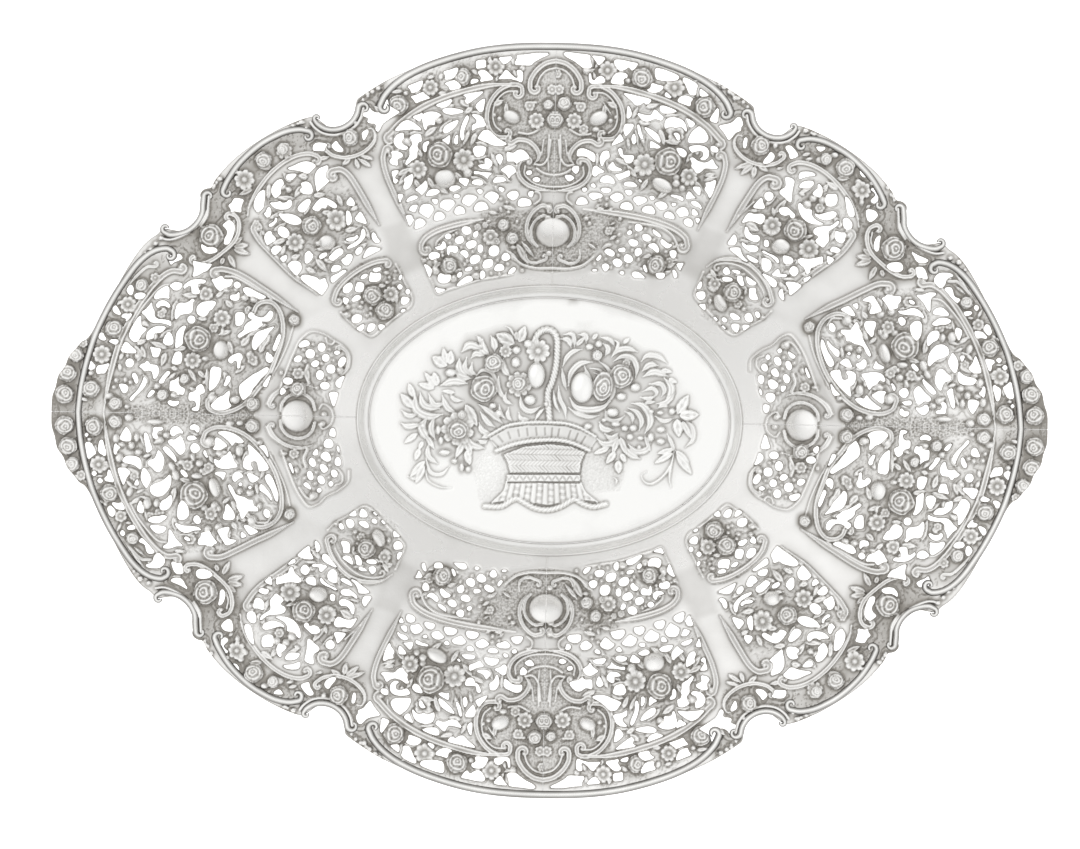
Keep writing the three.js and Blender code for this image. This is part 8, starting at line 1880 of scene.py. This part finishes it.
def oval_ring(name, long_half, wide_half, section, shade):
    """A ring swept round an oval from a closed section of (outward, up) points."""
    count = RING_STEPS
    turns = np.arange(count) / count * 2 * math.pi
    x, y = long_half * np.cos(turns), wide_half * np.sin(turns)
    nx, ny = wide_half * np.cos(turns), long_half * np.sin(turns)
    size = np.hypot(nx, ny)
    nx, ny = nx / size, ny / size
    sides = len(section)
    points = np.array([[(x[i] + nx[i] * out, y[i] + ny[i] * out, up) for out, up in section] for i in range(count)])
    index = np.arange(count * sides).reshape(count, sides)
    after, beside = np.roll(index, -1, axis=0), np.roll(index, -1, axis=1)
    faces = np.column_stack([index.ravel(), after.ravel(), np.roll(after, -1, axis=1).ravel(), beside.ravel()])
    shades = np.tile(np.broadcast_to(shade, sides), count)
    return make_mesh(name, points.reshape(-1, 3), [faces], shades)


def swept_bar(name, path, width, height):
    """A half-round moulding along plan points in any quarter, sitting on the wall and thinner at its ends."""
    path = np.asarray(path, float)
    heading = np.gradient(path, axis=0)
    heading /= np.linalg.norm(heading, axis=1)[:, None]
    out = np.column_stack([heading[:, 1], -heading[:, 0]])
    run = np.concatenate([[0.0], np.cumsum(np.hypot(*(path[1:] - path[:-1]).T))])
    size = np.minimum(*(np.interp(away, [0, BAR_END_RUN], [BAR_END_SIZE, 1.0]) for away in (run, run[-1] - run)))
    angles = np.linspace(*BAR_ARC, BAR_SIDES)
    rows = []
    for angle in angles:
        side = 0.5 * width * math.cos(angle) * size
        spots = path + out * side[:, None]
        lift = BAR_SEAT + height * max(-0.25, math.sin(angle)) * size
        rows.append(np.column_stack([spots, quarter_surface(*np.abs(spots).T, lift)[:, 2]]))
    rows = np.array(rows)
    count, sides = len(path), BAR_SIDES
    index = np.arange(sides * count).reshape(sides, count)
    faces = []
    for i in range(sides):
        j = (i + 1) % sides
        faces.append(np.column_stack([index[i, :-1], index[j, :-1], index[j, 1:], index[i, 1:]]))
    faces = np.vstack(faces)
    points = rows.reshape(-1, 3)
    caps = []
    for column, flip in ((0, False), (count - 1, True)):
        middle = len(points)
        points = np.vstack([points, rows[:, column].mean(axis=0)])
        ring = index[:, column]
        after = np.roll(ring, -1)
        cap = np.column_stack([np.full(sides, middle), after, ring])
        caps.append(cap[:, ::-1] if flip else cap)
    # Painted shade: the moulding's sides darker than its top, and its end caps a middling grey.
    along = np.tile(0.95 * np.abs(np.cos(angles))[:, None] ** 1.2, (1, count)).ravel()
    return make_mesh(name, points, [faces, np.vstack(caps)], np.concatenate([along, [0.3, 0.3]]))


def bar_line(numbers, first, last):
    """The plan line of a moulding, with its curls."""
    return curled(curve(np.reshape(numbers, (-1, 2)), cuts=8), first, last, 0.6, 26)


NORTH_BOW = [
    0, 149.1, 10, 148.9, 20, 148.2, 30, 146.7, 40, 144.2, 50, 140.8, 58, 137, 64, 132.8, 68, 128.4, 69.9, 124.6,
]
CORNER_BOW = [
    98.2, 113.6, 102, 114.1, 107, 113.2, 112, 111, 117, 108, 122, 103.8, 126.4, 99, 130, 93.4, 131.9, 89.4,
]
EAST_BOW = [
    187.9, 0, 187.4, 6, 186.6, 12, 184.9, 20, 181.9, 30, 178, 39, 174, 46.6, 170, 53, 166, 58.6, 162, 62.6, 158, 65,
    154, 65.8, 151.8, 65,
]
UPPER_NOTCH = [78.4, 123.6, 79.2, 120.4, 81.2, 117.4, 84.4, 115.2, 88, 114.3, 91.6, 114.7, 94.6, 116.4, 95.9, 118]
LOWER_NOTCH = [139.4, 87, 139.7, 83.4, 140, 79.8, 142, 76, 145.2, 73.1, 149, 71.6, 152.6, 71.2, 155, 72.2]


def rim_bars(corner, upper, lower, sign_x, sign_y):
    """The corner bow and the two notch scrolls of one quarter."""
    flip = np.array([sign_x, sign_y])
    for node, points, width, height, first, last in (
            (f"rim_bow_{corner}", CORNER_BOW, 2.9, 1.9, (2.1, 270, 1), (2, 250, -1)),
            (f"rim_scroll_{upper}", UPPER_NOTCH, 2.6, 1.8, (2.2, 260, 1), (1.3, 230, 1)),
            (f"rim_scroll_{lower}", LOWER_NOTCH, 2.6, 1.8, (1.8, 260, 1), (1.7, 230, 1))):
        path = bar_line(points, first, last) * flip
        if sign_x * sign_y < 0:
            path = path[::-1]
        dress(swept_bar("silver_" + node, path, width, height), node, rim_silver)


def main_bows():
    """The four bows that cross a seam, each from one half and its mirror image."""
    for node, sign, numbers, last, mirror, width, height in (
            ("rim_bow_n", 1, NORTH_BOW, (2.2, 260, -1), (-1, 1), 3.1, 2.0),
            ("rim_bow_s", -1, NORTH_BOW, (2.2, 260, -1), (-1, 1), 3.1, 2.0),
            ("rim_bow_e", 1, EAST_BOW, (2.1, 260, 1), (1, -1), 2.9, 1.9),
            ("rim_bow_w", -1, EAST_BOW, (2.1, 260, 1), (1, -1), 2.9, 1.9)):
        half = bar_line(numbers, None, last)
        path = np.vstack([(half * mirror)[:0:-1], half]) * sign
        dress(swept_bar("silver_" + node, path, width, height), node, rim_silver)


relief_a, relief_b = quarter_relief(), quarter_relief()
decorate(relief_a, SHADED, OPENINGS_A, LEAVES_A, SCROLLS_BOTH + SCROLLS_A, BERRIES_A, DAISIES_A, ROSES_A)
decorate(relief_b, SHADED + SHADED_B, OPENINGS_B, LEAVES_B, SCROLLS_BOTH + SCROLLS_B, BERRIES_B, DAISIES_B, ROSES_B)
sheet_a = pierced_sheet(relief_a, quarter_surface)
sheet_b = pierced_sheet(relief_b, quarter_surface)
for quarter, sheet, sign_x, sign_y in (("ne", sheet_a, 1, 1), ("nw", sheet_b, -1, 1), ("sw", sheet_a, -1, -1),
                                       ("se", sheet_b, 1, -1)):
    panel = placed_panel(f"silver_wall_{quarter}", sheet, sign_x, sign_y)
    dress(panel, f"wall_panel_{quarter}", wall_silver)

points, quads, triangles, shade = pierced_sheet(well_relief(), well_surface, flat_edge=True)
dress(make_mesh("silver_well_plate", points, [quads, triangles], shade), "well_plate", floor_silver)
collar = [(out, FLOOR_TOP + up) for out, up, _ in COLLAR_SECTION]
collar_oxide_and_shade = [oxide for _, _, oxide in COLLAR_SECTION]
dress(oval_ring("silver_well_collar", FLOOR_LENGTH / 2, FLOOR_WIDTH / 2, collar, collar_oxide_and_shade),
      "well_collar", floor_silver)
dress(oval_ring("silver_foot_ring", FLOOR_LENGTH / 2 - FOOT_INSET, FLOOR_WIDTH / 2 - FOOT_INSET, FOOT_SECTION,
                FOOT_OXIDE), "foot_ring", rim_silver)
main_bows()
for corner, upper, lower, sign_x, sign_y in (
        ("ne", "nne", "ene", 1, 1), ("nw", "nnw", "wnw", -1, 1), ("sw", "ssw", "wsw", -1, -1),
        ("se", "sse", "ese", 1, -1)):
    rim_bars(corner, upper, lower, sign_x, sign_y)


# The stage, the light and the camera

STAGE_HALF = 3.0
STAGE_DROP = 0.4 * METRE
STAGE_GREY = 0.8
STAGE_GLOW = 0.75
SKY_STOPS = [(0.0, 0.58), (0.3, 0.84), (0.6, 0.93), (0.85, 0.97), (1.0, 1.0)]
LIGHT_SIZE = 4.5
KEY_POWER = 7
FILL_POWER = 3


def make_floor():
    """The white ground of the studio, which glows a little so that its edges are lost."""
    mesh = bpy.data.meshes.new("stage_floor")
    side = STAGE_HALF
    mesh.from_pydata([(-side, -side, 0), (side, -side, 0), (side, side, 0), (-side, side, 0)], [], [(0, 1, 2, 3)])
    floor = bpy.data.objects.new("stage_floor", mesh)
    floor.location.z = -STAGE_DROP
    bpy.context.scene.collection.objects.link(floor)
    material = bpy.data.materials.new("stage_white")
    material.use_nodes = True
    shader = material.node_tree.nodes["Principled BSDF"]
    shader.inputs["Base Color"].default_value = (*[STAGE_GREY] * 3, 1)
    shader.inputs["Roughness"].default_value = 0.9
    shader.inputs["Emission Color"].default_value = (1, 1, 1, 1)
    shader.inputs["Emission Strength"].default_value = STAGE_GLOW
    mesh.materials.append(material)


def area_light(name, place, power):
    """A round soft light that faces the bowl."""
    data = bpy.data.lights.new(name, "AREA")
    data.shape = "DISK"
    data.size = LIGHT_SIZE
    data.energy = power
    light = bpy.data.objects.new(name, data)
    light.location = place
    direction = -np.array(place)
    flat = math.hypot(direction[0], direction[1])
    light.rotation_euler = (math.atan2(flat, -direction[2]), 0, math.atan2(direction[1], direction[0]) - math.pi / 2)
    bpy.context.scene.collection.objects.link(light)


def make_world():
    """A sky that is brighter upwards, for the silver to mirror."""
    world = bpy.data.worlds.new("studio")
    bpy.context.scene.world = world
    world.use_nodes = True
    nodes, links = world.node_tree.nodes, world.node_tree.links
    place = nodes.new("ShaderNodeTexCoord")
    split = nodes.new("ShaderNodeSeparateXYZ")
    links.new(place.outputs["Generated"], split.inputs["Vector"])
    ramp = nodes.new("ShaderNodeValToRGB")
    ramp.color_ramp.elements[0].position = SKY_STOPS[0][0]
    ramp.color_ramp.elements[1].position = SKY_STOPS[-1][0]
    for position, _ in SKY_STOPS[1:-1]:
        ramp.color_ramp.elements.new(position)
    for element, (_, value) in zip(ramp.color_ramp.elements, SKY_STOPS):
        element.color = (value, value, value * 0.99, 1)
    links.new(split.outputs["Z"], ramp.inputs["Fac"])
    links.new(ramp.outputs["Color"], nodes["Background"].inputs["Color"])


def make_camera():
    """A long lens straight above, turned and shifted as the photograph frames the bowl."""
    distance = 4.8
    plane = 0.045
    view_width = 0.432
    turn = math.radians(1.05)
    right, up = 0.0038, 0.0016
    data = bpy.data.cameras.new("camera")
    data.sensor_width = 36.0
    data.lens = data.sensor_width * distance / view_width
    data.clip_end = 20.0
    camera = bpy.data.objects.new("camera", data)
    camera.location = (
        -(right * math.cos(turn) - up * math.sin(turn)),
        -(right * math.sin(turn) + up * math.cos(turn)),
        plane + distance)
    camera.rotation_euler = (0, 0, turn)
    bpy.context.scene.collection.objects.link(camera)
    bpy.context.scene.camera = camera


make_floor()
make_world()
area_light("key", (-1.6, 1.4, 2.2), KEY_POWER)
area_light("fill", (1.8, -1.2, 2.0), FILL_POWER)
make_camera()
bpy.context.scene.view_settings.view_transform = "Standard"
